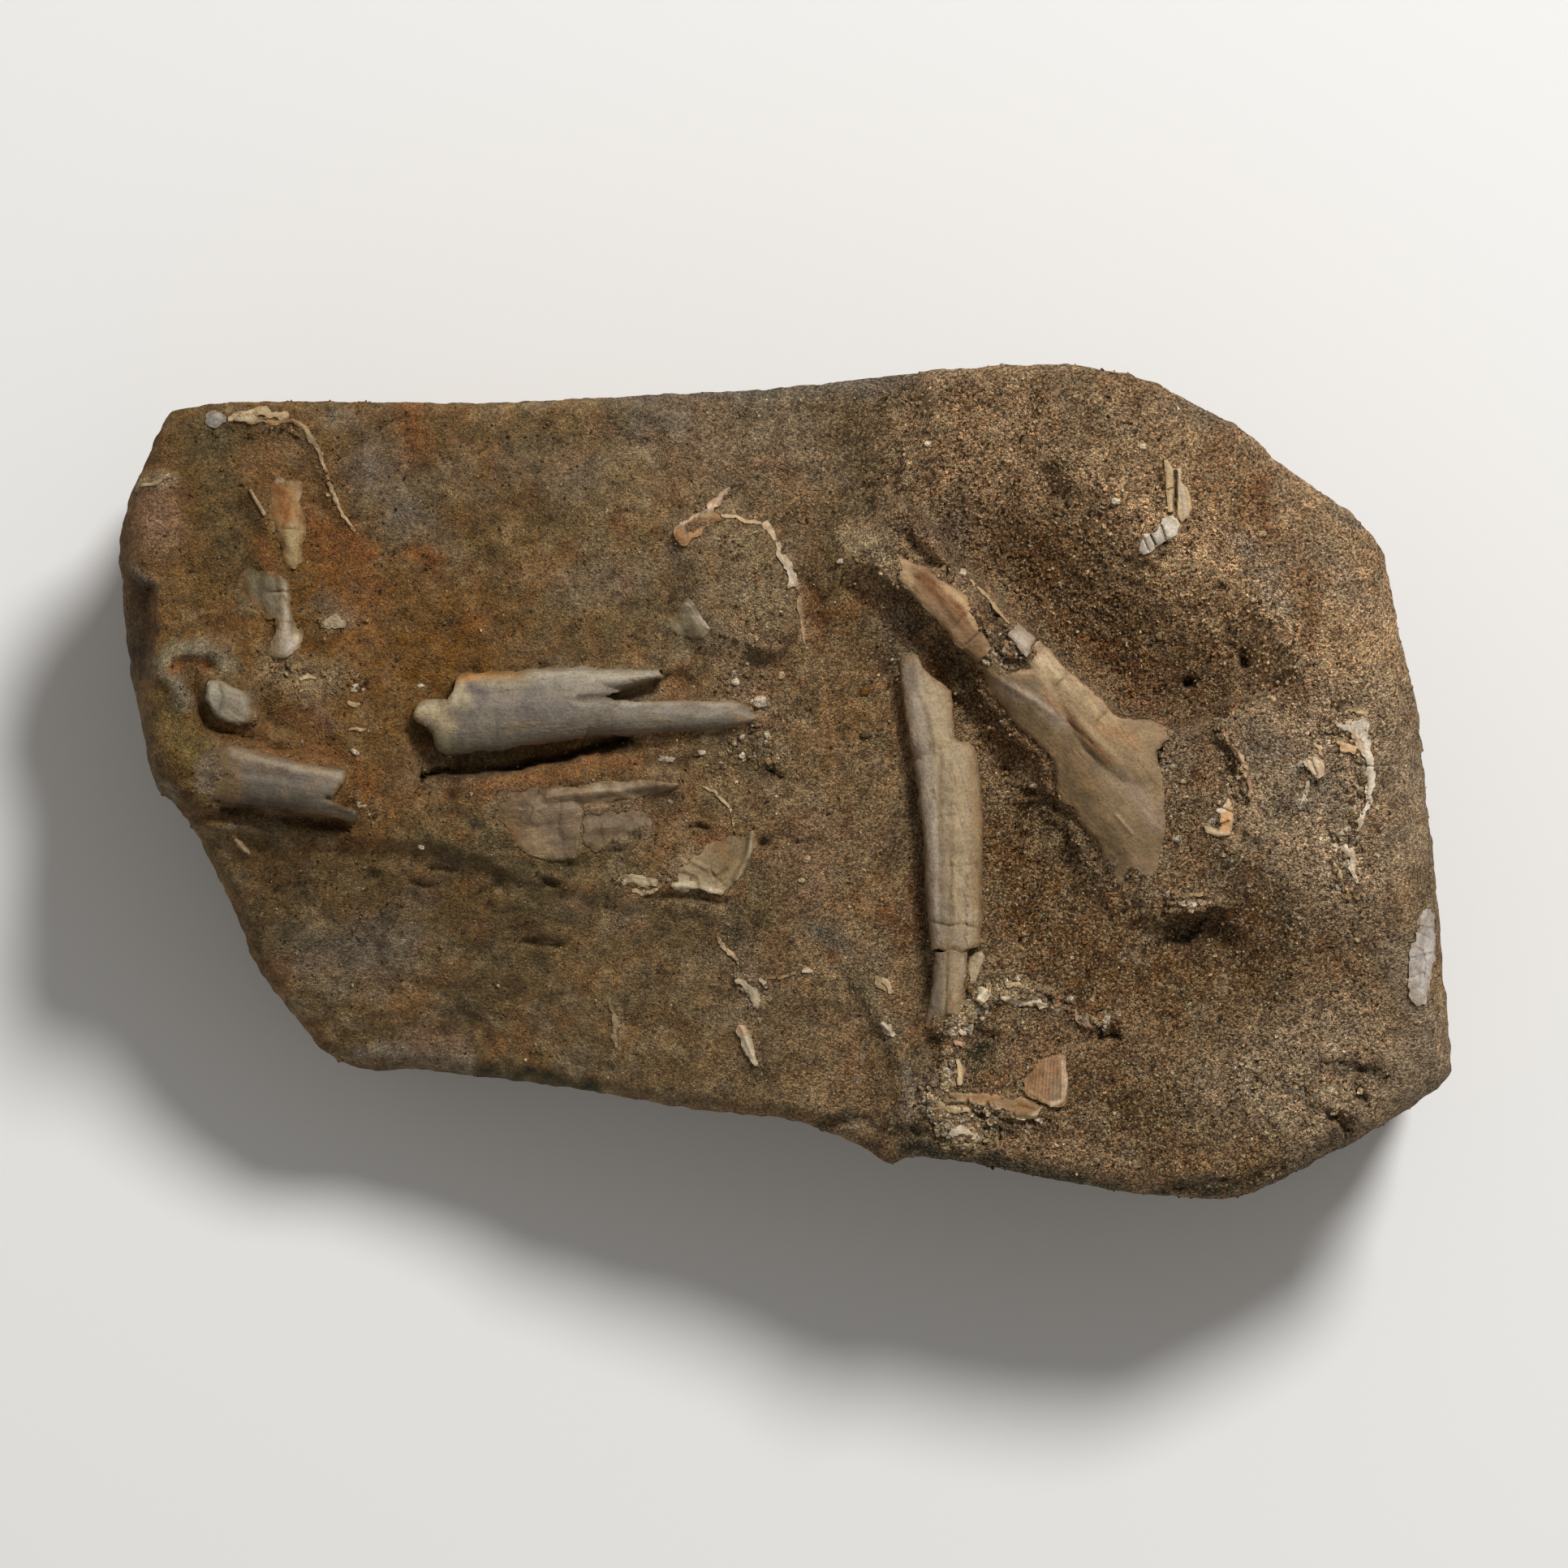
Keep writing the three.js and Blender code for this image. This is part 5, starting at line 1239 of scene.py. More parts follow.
# ---------------------------------------------------------------------------------------------
# Upright bone at the top left, stained by iron: a flattened upper length, then after a break
# a paler lower length that widens to a foot. A splinter of its wall lies beside it.
# ---------------------------------------------------------------------------------------------
bone(
    "upper_left_bone_head",
    "stained_bone",
    [(-95.7, 55.2), (-94.5, 56.3), (-92, 56.3), (-89.3, 55.8), (-89.2, 52), (-89, 48), (-89, 44),
     (-89.4, 41.5), (-90.5, 39.9), (-92, 39.8), (-93, 41), (-93.4, 43.5), (-94.2, 46.5), (-95.2, 50),
     (-95.3, 53)],
    tone(148, 124, 86),
    lift=0.15,
    drape=True,
    edge=0.5,
    film=2.0,
    dust=0.95,
    hug=3,
    nibble=0.8,
    buried=[
        ([(-98, 58), (-95.6, 56), (-94.6, 50), (-93.6, 45), (-92.4, 39), (-98, 39)], 3),
        ([(-88, 58), (-88.6, 50), (-88.8, 44), (-86, 40), (-86, 58)], 2),
    ],
    relief=[
        ([(-92, 57), (-91.6, 48), (-91.2, 40)], 0.9, 3.4, 3.2),
        ([(-94.6, 47.4), (-89.4, 46.8)], -0.2, 0.4, 0.4),
    ],
    stains_and_painted_light=[
        (AMBER_BONE, [(-93, 53.6), (-91.6, 50)], 3.6, 0.9),
        (tone(146, 96, 50), [(-94, 54.6), (-92.4, 51.6), (-92.6, 48)], 1.6, 0.8),
        (RUST, [(-94.6, 54), (-94, 50)], 1.5, 0.7),
        (tone(158, 142, 104), [(-91, 46.6), (-90.8, 42)], 2.4, 0.8),
        (WHITE_BONE, [(-94, 56), (-89.8, 55.6)], 0.7, 0.9),
        (WHITE_BONE, [(-90, 55), (-89.6, 50)], 0.7, 0.5),
        (SAND, [(-94.6, 47), (-93.6, 42)], 1.2, 0.7),
        (CRACK, [(-94.4, 47.4), (-89.6, 46.8)], 0.3, 0.5),
    ],
    turn=86,
    shade=(1.0, 0.94, 0.86),
)
bone(
    "upper_left_bone_foot",
    "cream_bone",
    [(-100, 39.5), (-97.5, 39.8), (-94.5, 39), (-92.3, 37.8), (-91.3, 36.5), (-91.4, 34), (-91.2, 31),
     (-90.5, 29), (-88.8, 28), (-88.9, 26.3), (-90, 24.5), (-91, 23.5), (-93, 23), (-94.6, 22.9),
     (-95.4, 24), (-95.4, 26), (-94.5, 28), (-94.2, 30), (-95.5, 30.6), (-98, 31), (-101, 31.5),
     (-101.6, 34), (-101.3, 37), (-100.8, 39)],
    tone(122, 108, 80),
    lift=0.15,
    drape=True,
    edge=0.4,
    film=1.8,
    dust=0.9,
    hug=3,
    nibble=0.8,
    relief=[
        ([(-93, 38.4), (-92.2, 32), (-91.6, 24)], 1.5, 1.6, 5),
        ([(-96, 35.5), (-91.5, 35.3)], -0.35, 0.35, 0.35),
    ],
    buried=[([(-104, 42), (-101, 42), (-100.4, 36), (-97, 32), (-95.6, 29), (-104, 29)], 4)],
    stains_and_painted_light=[
        (tone(108, 98, 70), [(-99, 38), (-99.5, 33)], 2.8, 0.7),
        (tone(176, 162, 138), [(-92.5, 36.6), (-92.3, 30.4)], 1.0, 0.95),
        (tone(124, 114, 92), [(-95.6, 37), (-95.6, 32.5)], 2.2, 0.6),
        (tone(170, 152, 130), [(-92.4, 29), (-92, 24.4)], 2.6, 0.9),
        (tone(186, 172, 156), [(-90.6, 27), (-91.6, 24.6)], 1.5, 0.9),
        (tone(136, 118, 90), [(-94.4, 27), (-94.6, 24)], 1.3, 0.7),
        (YELLOW_BONE, [(-90.4, 27.6), (-90, 26.4)], 1.2, 0.6),
        (SAND, [(-101, 38), (-101, 32)], 1.6, 0.6),
        (CRACK, [(-96, 35.5), (-91.5, 35.3)], 0.3, 0.6),
        (CRACK, [(-94.6, 30.2), (-91.4, 29.8)], 0.3, 0.5),
    ],
    turn=94,
)
bone(
    "thin_bone_sliver",
    "cream_bone",
    [(-99.4, 54.4), (-98.7, 54.3), (-97.4, 52.2), (-96, 49.8), (-96.5, 49.3), (-98, 51.8)],
    CREAM_BONE,
    lift=0.7,
    edge=0.3,
    cell=0.22,
    nibble=0.1,
    turn=-60,
)

# ---------------------------------------------------------------------------------------------
# Bone sheet at the top left corner: only a grey chip and the sheet's own worn edge are left, an
# arch that runs along the rim and then down to the rusty patch.
# ---------------------------------------------------------------------------------------------
bone(
    "corner_bone_chip",
    "grey_bone",
    [(-108, 66.5), (-107.2, 67.6), (-106, 69), (-104.5, 69.2), (-103, 67.8), (-103.5, 66.5), (-105.5, 66)],
    tone(128, 122, 112),
    lift=0.25,
    drape=True,
    edge=0.25,
    cell=0.28,
    nibble=0.7,
    film=1.2,
    dust=0.9,
    hug=3,
    stains_and_painted_light=[(WHITE_BONE, [(-105.8, 68), (-104.8, 68.2)], 0.9, 0.5), (tone(96, 96, 104), [(-106.6, 67.2)], 1.2, 0.6)],
    turn=10,
)
bone(
    "arched_bone_edge",
    "cream_bone",
    [(-101.8, 67.7), (-98.4, 68.4), (-97.7, 67.3), (-94, 67.2), (-91, 67.8), (-88.6, 66.1), (-87.2, 64.4),
     (-86.1, 61.4), (-84.1, 56), (-82.1, 50.8), (-79, 46.6), (-79.5, 46.1), (-82.7, 50.4), (-84.7, 55.6),
     (-86.7, 61), (-88.1, 63.6), (-89.4, 65.4), (-91, 66.7), (-95, 66.4), (-99.2, 66.6), (-101.6, 67)],
    tone(146, 118, 82),
    lift=0.45,
    edge=0.35,
    cell=0.26,
    nibble=0.5,
    film=0.7,
    hug=2.5,
    stains_and_painted_light=[
        (tone(184, 166, 132), [(-101, 67.6), (-98.6, 67.8)], 1.3, 0.9),
        (AMBER_BONE, [(-95, 66.8), (-91.6, 67.4)], 1.4, 0.7),
        (CREAM_BONE, [(-89.6, 66.4), (-88, 64.6)], 1.2, 0.6),
        (tone(190, 168, 134), [(-86.4, 62), (-84.6, 57), (-82.6, 51.4)], 0.7, 0.7),
        (RUST, [(-85, 58), (-84.4, 56)], 0.7, 0.6),
    ],
    turn=-60,
    dust=0.9,
)

# ---------------------------------------------------------------------------------------------
# Crescent-shaped edge of a bone sunk in the raised patch: its left part is stained, its right
# part is clean and white. A grey, three-cornered chip lies below them.
# ---------------------------------------------------------------------------------------------
bone(
    "crescent_bone_left",
    "stained_bone",
    [(-20.3, 46), (-20, 47.5), (-19.5, 48.8), (-18, 49.3), (-16, 50), (-13.9, 51.1), (-12.9, 53.1),
     (-11.5, 54.5), (-10, 55.3), (-9.3, 55), (-11.4, 53), (-12.4, 51), (-12.5, 50.2), (-11.5, 49.4),
     (-11.5, 48.2), (-14, 47.4), (-16, 46), (-18, 44.4), (-19.8, 44)],
    tone(172, 128, 84),
    lift=0.55,
    drape=True,
    edge=0.3,
    cell=0.24,
    nibble=1.1,
    film=0.6,
    relief=[
        ([(-19, 47.6), (-15, 49.2), (-12.4, 49.2)], 0.4, 0.7, 0.9),
        ([(-16.4, 47.4), (-15.8, 50)], -0.5, 0.3, 0.3),
    ],
    buried=[([(-18.6, 46), (-15.6, 47.4), (-12.8, 48.2), (-13.2, 49.2), (-16.4, 49), (-18.8, 47.6)], 0.9)],
    stains_and_painted_light=[
        (AMBER_BONE, [(-20, 47), (-18.6, 48.6)], 1.2, 0.7),
        (CREAM_BONE, [(-18, 48.4), (-14, 50)], 1.0, 0.7),
        (tone(176, 160, 138), [(-12.6, 52), (-10, 54.8)], 0.9, 0.8),
        (RUST, [(-13.4, 48.6), (-12, 49)], 0.9, 0.7),
        (tone(208, 190, 164), [(-15.4, 50.4), (-13, 51.4)], 0.8, 0.9),
        (tone(206, 186, 158), [(-19.6, 48.4), (-17.6, 49)], 0.7, 0.9),
        (tone(150, 92, 52), [(-16, 47.6), (-13, 48.4)], 1.0, 0.8),
        (tone(120, 84, 50), [(-19.4, 46), (-18, 45)], 1.0, 0.6),
        (CRACK, [(-16.4, 47.6), (-15.9, 49.8)], 0.3, 0.6),
        (WHITE_BONE, [(-19.8, 47.8), (-17, 49.4), (-14, 50.4)], 0.5, 0.8),
        (tone(132, 90, 54), [(-18.6, 46.8), (-15, 47.8)], 0.7, 0.7),
    ],
    turn=28,
)
bone(
    "crescent_bone_right",
    "cream_bone",
    [(-5, 48.7), (-3, 48.5), (-2, 46.5), (-1.2, 44.6), (-0.4, 42.7), (0.9, 40.5), (1.8, 38.5), (2.2, 36.5),
     (1.5, 36), (0.3, 36), (0.2, 38), (0.2, 39.2), (-0.9, 41.2), (-1.6, 43), (-2.3, 45), (-3.2, 46.8),
     (-4.4, 47.8)],
    tone(184, 166, 138),
    lift=0.5,
    drape=True,
    edge=0.25,
    cell=0.24,
    nibble=0.7,
    film=0.5,
    relief=[([(-2.4, 44.6), (-0.4, 45)], -0.6, 0.3, 0.3), ([(-0.6, 40.2), (1.4, 40)], -0.4, 0.3, 0.3)],
    stains_and_painted_light=[
        (AMBER_BONE, [(-4.4, 48.2), (-3, 47.4)], 0.9, 0.6),
        (WHITE_BONE, [(0.6, 40), (1.6, 37)], 0.9, 0.7),
        (CRACK, [(-2.4, 44.6), (-1, 45)], 0.3, 0.6),
    ],
    turn=-62,
)
bone(
    "triangular_bone_chip",
    "grey_bone",
    [(-18.3, 34.6), (-17, 33.5), (-15.5, 31), (-14.3, 29), (-13.5, 28.3), (-15, 27), (-17, 26.6),
     (-20, 27.5), (-22.5, 29), (-22, 30), (-20, 32)],
    tone(130, 116, 90),
    lift=0.4,
    drape=True,
    edge=0.4,
    cell=0.28,
    hug=3,
    dust=0.85,
    relief=[([(-18, 34), (-16, 31), (-14, 28.6)], 0.5, 1.0, 0.8)],
    buried=[([(-25, 34), (-21, 33.4), (-20.4, 26), (-25, 26)], 3)],
    stains_and_painted_light=[
        (tone(196, 182, 158), [(-18.2, 34), (-15.8, 30.8), (-14, 28.5)], 0.6, 0.9),
        (tone(116, 106, 78), [(-18, 30), (-16, 28)], 2, 0.6),
        (SAND, [(-21.6, 29.4), (-20, 31)], 1.6, 0.7),
    ],
    turn=-55,
)

# ---------------------------------------------------------------------------------------------
# Crushed shaft under the forked one: its wall has collapsed to a plate whose left side is still
# under the rock. A darker flake of the same wall lies against its right side.
# ---------------------------------------------------------------------------------------------
bone(
    "flattened_shaft_bone",
    "grey_bone",
    [(-52, -2), (-47, -1), (-40, -0.5), (-34, 0.3), (-28, 0.5), (-22, 0.5), (-20, 0.2), (-19, -0.2),
     (-20.5, -1), (-25, -2.2), (-28.5, -3), (-31, -3), (-35, -4), (-37, -5.5), (-37.5, -7),
     (-38, -10), (-38.5, -12), (-38.8, -14.5), (-41, -14.5), (-44, -14), (-48, -13), (-50, -11.5),
     (-51, -9), (-53, -6.5), (-55.5, -5.3), (-55, -3.5)],
    tone(142, 120, 94),
    lift=0.3,
    drape=True,
    edge=0.35,
    nibble=0.5,
    film=2.6,
    dust=0.95,
    hug=4,
    relief=[
        ([(-44, -2.4), (-34, -1.4), (-26, -0.6), (-20, -0.3)], 1.0, 1.2, 1.8),
        ([(-46, -5), (-40, -5.6)], 0.9, 3, 6),
        ([(-46, -2.6), (-47.4, -7)], -0.2, 0.3, 0.3),
        ([(-41.4, -3), (-42, -12)], -0.12, 0.3, 0.3),
    ],
    buried=[
        ([(-60, 2), (-51, 1), (-52, -6), (-50, -11), (-47, -17), (-60, -17)], 7),
        ([(-38, -3.6), (-30, -3.4), (-24, -3), (-30, -6), (-37.6, -6)], 1.6),
    ],
    stains_and_painted_light=[
        (BROWN_BONE, [(-53, -4), (-50, -8)], 4, 0.7),
        (tone(130, 110, 92), [(-44, -4), (-40, -6)], 3.4, 0.5),
        (tone(172, 156, 130), [(-35, -0.9), (-28, -0.8), (-20.4, -0.2)], 1.2, 0.85),
        (tone(128, 112, 98), [(-30, -2), (-24, -1.4)], 0.9, 0.6),
        (tone(104, 88, 70), [(-40, -10), (-42, -13)], 2.4, 0.6),
        (CRACK, [(-46, -2.6), (-47.4, -7)], 0.3, 0.6),
        (CRACK, [(-41.4, -3), (-42, -11)], 0.28, 0.45),
        (CREAM_BONE, [(-46.6, -3.6), (-45.6, -5.6)], 0.6, 0.4),
    ],
    turn=4,
    shade=(0.8, 0.78, 0.74),
)
bone(
    "flattened_bone_flake",
    "grey_bone",
    [(-36.5, -5), (-31, -4.8), (-26, -5.3), (-24.5, -7.5), (-26, -9.5), (-30, -12), (-35, -12.5), (-37.2, -11.5),
     (-37.1, -8)],
    tone(116, 96, 70),
    lift=0.2,
    drape=True,
    edge=0.3,
    nibble=0.8,
    film=2.6,
    buried=[([(-33, -10.4), (-26, -8), (-22, -8), (-24, -15), (-36, -15)], 4)],
    dust=0.95,
    hug=4,
    relief=[
        ([(-36, -8.4), (-30, -8), (-26, -7.6)], 0.5, 2, 2),
        ([(-34.6, -5.4), (-33.6, -11.8)], -0.15, 0.3, 0.3),
    ],
    stains_and_painted_light=[
        (tone(122, 104, 84), [(-35, -7), (-28, -6.8)], 1.8, 0.7),
        (tone(76, 62, 46), [(-32, -10.6), (-28, -9.4)], 1.8, 0.6),
        (CRACK, [(-34.6, -5.4), (-33.6, -11.8)], 0.3, 0.5),
    ],
    turn=8,
    shade=(0.78, 0.74, 0.68),
)

# ---------------------------------------------------------------------------------------------
# Curled piece of bone wall: a shell that opens downwards, so that its lower edge stands free
# over a deep shadow. The edge is clean white, the middle is stained.
# ---------------------------------------------------------------------------------------------
bone(
    "curved_shell_chip",
    "cream_bone",
    [(-5.6, -8.5), (-5.5, -10.5), (-6, -13), (-7, -15), (-8, -17.5), (-9.5, -18.8), (-10.8, -19.8),
     (-11.5, -21), (-13, -20.8), (-14.5, -20.2), (-16, -19.7), (-18, -19.6), (-20, -19.6),
     (-21.5, -19.3), (-20.5, -17.5), (-19.5, -15.5), (-18, -14), (-16, -13), (-14, -11), (-11, -9.8),
     (-8.5, -8.5)],
    tone(144, 120, 86),
    lift=0.75,
    edge=0.3,
    cell=0.26,
    relief=[
        ([(-21, -19), (-16, -19.4), (-11.6, -20.2)], 0.9, 1.4, 1.6),
        ([(-19, -16.6), (-16.6, -17.6), (-16, -20)], -0.25, 0.6, 0.5),
        ([(-10.8, -16), (-12.4, -17.4), (-11, -20)], -0.25, 0.5, 0.5),
        ([(-17, -14.6), (-13, -16.6)], 0.4, 0.7, 0.7),
        ([(-6, -9), (-6.8, -13.6), (-9, -17.8)], 0.9, 0.9, 1.2),
        ([(-14, -16), (-12.6, -18), (-13.6, -19.6)], -0.4, 0.5, 0.5),
    ],
    buried=[([(-23, -15), (-18, -8), (-9, -5), (-9.6, -9), (-14, -11.6), (-19, -15.6)], 3)],
    film=1.6,
    dust=0.85,
    hug=0.9,
    nibble=0.75,
    stains_and_painted_light=[
        (tone(150, 116, 72), [(-12, -12), (-9.6, -15)], 2.4, 0.7),
        (tone(160, 142, 114), [(-18.4, -16.4), (-16, -15)], 1.8, 0.6),
        (tone(176, 156, 124), [(-17.4, -17.4), (-14.6, -18.4), (-12, -19)], 2.6, 0.7),
        (tone(255, 240, 214), [(-21, -19.1), (-16, -19.5), (-11.8, -20.2)], 1.3, 0.95),
        (tone(110, 84, 52), [(-19, -16.6), (-16.6, -17.6), (-16, -19)], 0.9, 0.6),
        (tone(120, 92, 58), [(-10.8, -16), (-12.4, -17.4)], 0.8, 0.6),
        (tone(188, 172, 146), [(-20, -17.6), (-17.4, -18.6)], 1.2, 0.8),
        (tone(196, 180, 152), [(-5.8, -9), (-6.8, -13.8), (-9, -18.2)], 0.8, 0.95),
        (tone(176, 152, 116), [(-8.6, -15), (-10.4, -17.6)], 1.4, 0.6),
    ],
    turn=40,
    shade=(0.68, 0.67, 0.6),
)

# ---------------------------------------------------------------------------------------------
# Long upright shaft: it rises from the rock at its tip, steps out where a layer of wall is lost,
# and ends in a splintered foot with a flake beside it.
# ---------------------------------------------------------------------------------------------
bone(
    "long_shaft_bone",
    "grey_bone",
    [(21.5, 24.3), (21.2, 20), (21.8, 17), (22.3, 13), (23, 8), (23.8, 3), (24.5, 0), (25, -5),
     (25.6, -9), (25.8, -13), (26, -18), (26.3, -23), (26.7, -28), (27, -31), (28.4, -30.4),
     (29.6, -31.2), (31, -30.6), (32.6, -31.3), (34, -30.6), (36, -30.2), (36.3, -26), (36.4, -20),
     (36.4, -6), (36, 0), (35.5, 4), (35, 6.5), (34, 7.6), (32, 7.9), (31.4, 8.3), (31, 13),
     (30.8, 17), (29.5, 18), (27, 19.8), (25.3, 21.5), (24.5, 23.5), (22.5, 24.5)],
    tone(164, 147, 118),
    film=1.5,
    dust=0.8,
    hug=3.0,
    buried=[([(19, 27), (25, 27), (24, 23.4), (20, 22)], 4)],
    shafts=[
        [(23.2, 24, 2.8, 2.0), (25, 20.6, 4.2, 3.4), (26.4, 16, 5, 4.4), (27.1, 9, 5, 5.2), (29.4, 6.4, 6, 5.6),
         (30.2, -2, 6.3, 6), (31, -12, 5.9, 6.2), (31.4, -22, 5.5, 6), (31.6, -30.4, 5.1, 5.4)],
    ],
    relief=[
        ([(31.2, 8), (34.6, 7)], -0.8, 1.0, 0.5),
        ([(31.4, 4), (31.6, -10), (31.4, -28)], 0.4, 1.4, 1.4),
        ([(28.4, 6), (28.2, -8), (28.6, -26)], -0.3, 0.9, 0.9),
        ([(24.6, -5.8), (28, -6.4), (31.6, -5.6)], -0.12, 0.3, 0.3),
        ([(29, -15.2), (32, -15.4), (36, -14.8)], -0.14, 0.3, 0.3),
        ([(27.2, -25.6), (30, -26.4), (33, -26), (36, -27)], -0.3, 0.3, 0.35),
        ([(33.6, -17), (33.4, -30)], -0.35, 0.3, 0.3),
        ([(24, 20), (27, 12), (28, 6)], 0.3, 1.2, 1.2),
    ],
    stains_and_painted_light=[
        (tone(158, 146, 130), [(22.6, 22), (23.6, 12), (25, 2), (26.4, -12), (27.2, -28)], 3.0, 0.9),
        (tone(190, 178, 160), [(24, 17), (25.4, 8), (27, -4), (28, -14), (28.6, -24)], 1.8, 0.6),
        (tone(176, 158, 124), [(28.6, 16), (29.4, 8), (31.4, -2), (32, -14), (32.6, -26)], 2.0, 0.65),
        (tone(150, 124, 86), [(34.6, 4), (35, -8), (35.4, -22)], 1.6, 0.6),
        (tone(120, 104, 84), [(22.4, 23), (24.6, 20)], 1.8, 0.4),
        (WHITE_BONE, [(33.4, -24), (33.6, -25)], 1.4, 0.8),
        (WHITE_BONE, [(29, -28), (33, -29.4)], 1.8, 0.5),
        (tone(132, 112, 84), [(30.6, 8.6), (34, 7.4)], 1.0, 0.6),
        (CRACK, [(24.8, -5.8), (28, -6.4), (31.6, -5.6)], 0.25, 0.35),
        (CRACK, [(29, -15.2), (32, -15.4), (36, -14.8)], 0.25, 0.35),
        (CRACK, [(27.2, -25.6), (30, -26.4), (33, -26), (36, -27)], 0.3, 0.55),
        (CRACK, [(33.6, -17), (33.4, -30)], 0.3, 0.45),
        (AMBER_BONE, [(28, -17), (29, -20)], 1.0, 0.4),
    ],
    turn=-80,
    shade=(0.8, 0.74, 0.69),
)
bone(
    "long_shaft_foot",
    "cream_bone",
    [(27.6, -31), (29.5, -31.1), (30.5, -30.9), (33.7, -31), (33.4, -35), (33, -40), (32.3, -43),
     (30, -43), (28.9, -43.6), (28, -45), (26, -45.3), (26.3, -42), (27.3, -37), (28, -33.5)],
    tone(150, 130, 98),
    shafts=[[(30.9, -30.8, 3.6, 5.4), (30.2, -37, 3.4, 4.4), (29.4, -42, 3.2, 3.2), (27.8, -45.2, 2.2, 1.4)]],
    relief=[
        ([(30, -31.6), (29.9, -36), (29.6, -40), (29.6, -43.4)], -0.35, 0.45, 0.45),
        ([(31.8, -34), (31.6, -40)], -0.2, 0.35, 0.35),
    ],
    stains_and_painted_light=[
        (tone(136, 124, 108), [(28.8, -32), (28.4, -37), (27.2, -44)], 1.3, 0.9),
        (CREAM_BONE, [(31.8, -32), (31.6, -38), (31, -42.6)], 1.7, 0.8),
        (WHITE_BONE, [(32.8, -32.4), (32.8, -36)], 0.8, 0.6),
        (CRACK, [(30, -31.6), (29.9, -36), (29.6, -40), (29.6, -43.4)], 0.35, 0.5),
        (AMBER_BONE, [(30.6, -40), (31, -43)], 1.0, 0.5),
    ],
    film=0.8,
    hug=2.6,
    nibble=0.4,
    buried=[([(24, -46), (27, -43.6), (30, -42.8), (33.4, -41.6), (33.4, -37), (36, -36), (36, -48)], 2.6)],
    turn=-98,
    cell=0.28,
    shade=(0.9, 0.87, 0.87),
)
bone(
    "long_shaft_flake",
    "cream_bone",
    [(33.8, -32), (36.5, -31), (37, -32), (36.2, -34.5), (35, -37.5), (33.7, -38.3), (33.2, -37), (33.8, -34)],
    tone(150, 128, 94),
    lift=1.5,
    edge=0.5,
    cell=0.26,
    relief=[([(36, -31.6), (35, -36.6)], 0.4, 1.2, 0.8)],
    stains_and_painted_light=[(tone(184, 166, 134), [(36.2, -31.8), (34.6, -37)], 1.3, 0.8)],
    turn=-110,
    hug=2.6,
    film=0.7,
)

# ---------------------------------------------------------------------------------------------
# Flared bone: a stained neck, a broken gap filled with grit and a white chip, then a wide, thin
# blade with a rounded ridge along its upper side. The blade's far end runs under the rock.
# ---------------------------------------------------------------------------------------------
bone(
    "flared_bone_neck",
    "stained_bone",
    [(19, 40.5), (22, 41.5), (24, 41), (26.5, 39.5), (29, 37), (31.5, 36.2), (33, 35), (34.5, 32.5),
     (35.2, 30.5), (36, 28.5), (37.2, 27.3), (38, 25.5), (36.5, 23.2), (35.5, 22.3), (33.5, 24.5),
     (31.5, 26), (30, 27.8), (28, 30), (26, 32.5), (24, 34.3), (22, 36.5), (20.5, 38.5)],
    tone(158, 128, 92),
    shafts=[
        [(18, 42, 2.6, 2.2), (22, 39.4, 3.8, 3), (26.8, 35.6, 4.4, 3.6), (30.4, 32, 4.6, 4),
         (33.8, 27.6, 4.2, 4), (36.4, 24.4, 2.6, 3.2)],
    ],
    relief=[
        ([(24, 37.6), (28, 33.8), (33, 27)], -0.35, 1.2, 1.2),
        ([(22, 41), (27, 38.6), (31, 35.6), (35, 30)], 0.4, 0.8, 1.6),
        ([(33.8, 31.6), (31, 28.6)], -0.2, 0.3, 0.3),
        ([(35.4, 27.6), (33, 25.4)], -0.3, 0.3, 0.3),
    ],
    buried=[([(12, 48), (22, 46), (23.4, 40), (21.4, 35), (12, 34)], 11)],
    stains_and_painted_light=[
        (tone(172, 144, 112), [(19, 40.6), (24, 36.6), (27.6, 32.8)], 2.2, 0.7),
        (AMBER_BONE, [(22, 40.4), (26, 38), (29, 35)], 2.0, 0.75),
        (RUST, [(24, 40.2), (27, 38.4)], 1.2, 0.6),
        # near-white line along the upper edge: the bone's cream, brightened by a painted highlight
        (tone(244, 222, 184), [(29, 36.4), (33.2, 33), (35.4, 29.4)], 1.7, 0.9),
        (tone(150, 88, 46), [(26, 38.6), (30, 34.6), (33, 31)], 1.3, 0.6),
        (tone(158, 136, 114), [(28, 31.6), (31, 29), (33.6, 26)], 2.2, 0.75),
        (tone(120, 88, 56), [(24.6, 36.6), (28, 33), (31, 29.6)], 0.9, 0.5),
        (CRACK, [(33.8, 31.6), (31, 28.6)], 0.25, 0.4),
        (CRACK, [(35.4, 27.6), (33, 25.4)], 0.35, 0.6),
    ],
    turn=-47,
    cell=0.3,
    nibble=0.6,
    film=1.6,
    dust=0.85,
    hug=3.2,
    shade=(0.58, 0.47, 0.36),
)
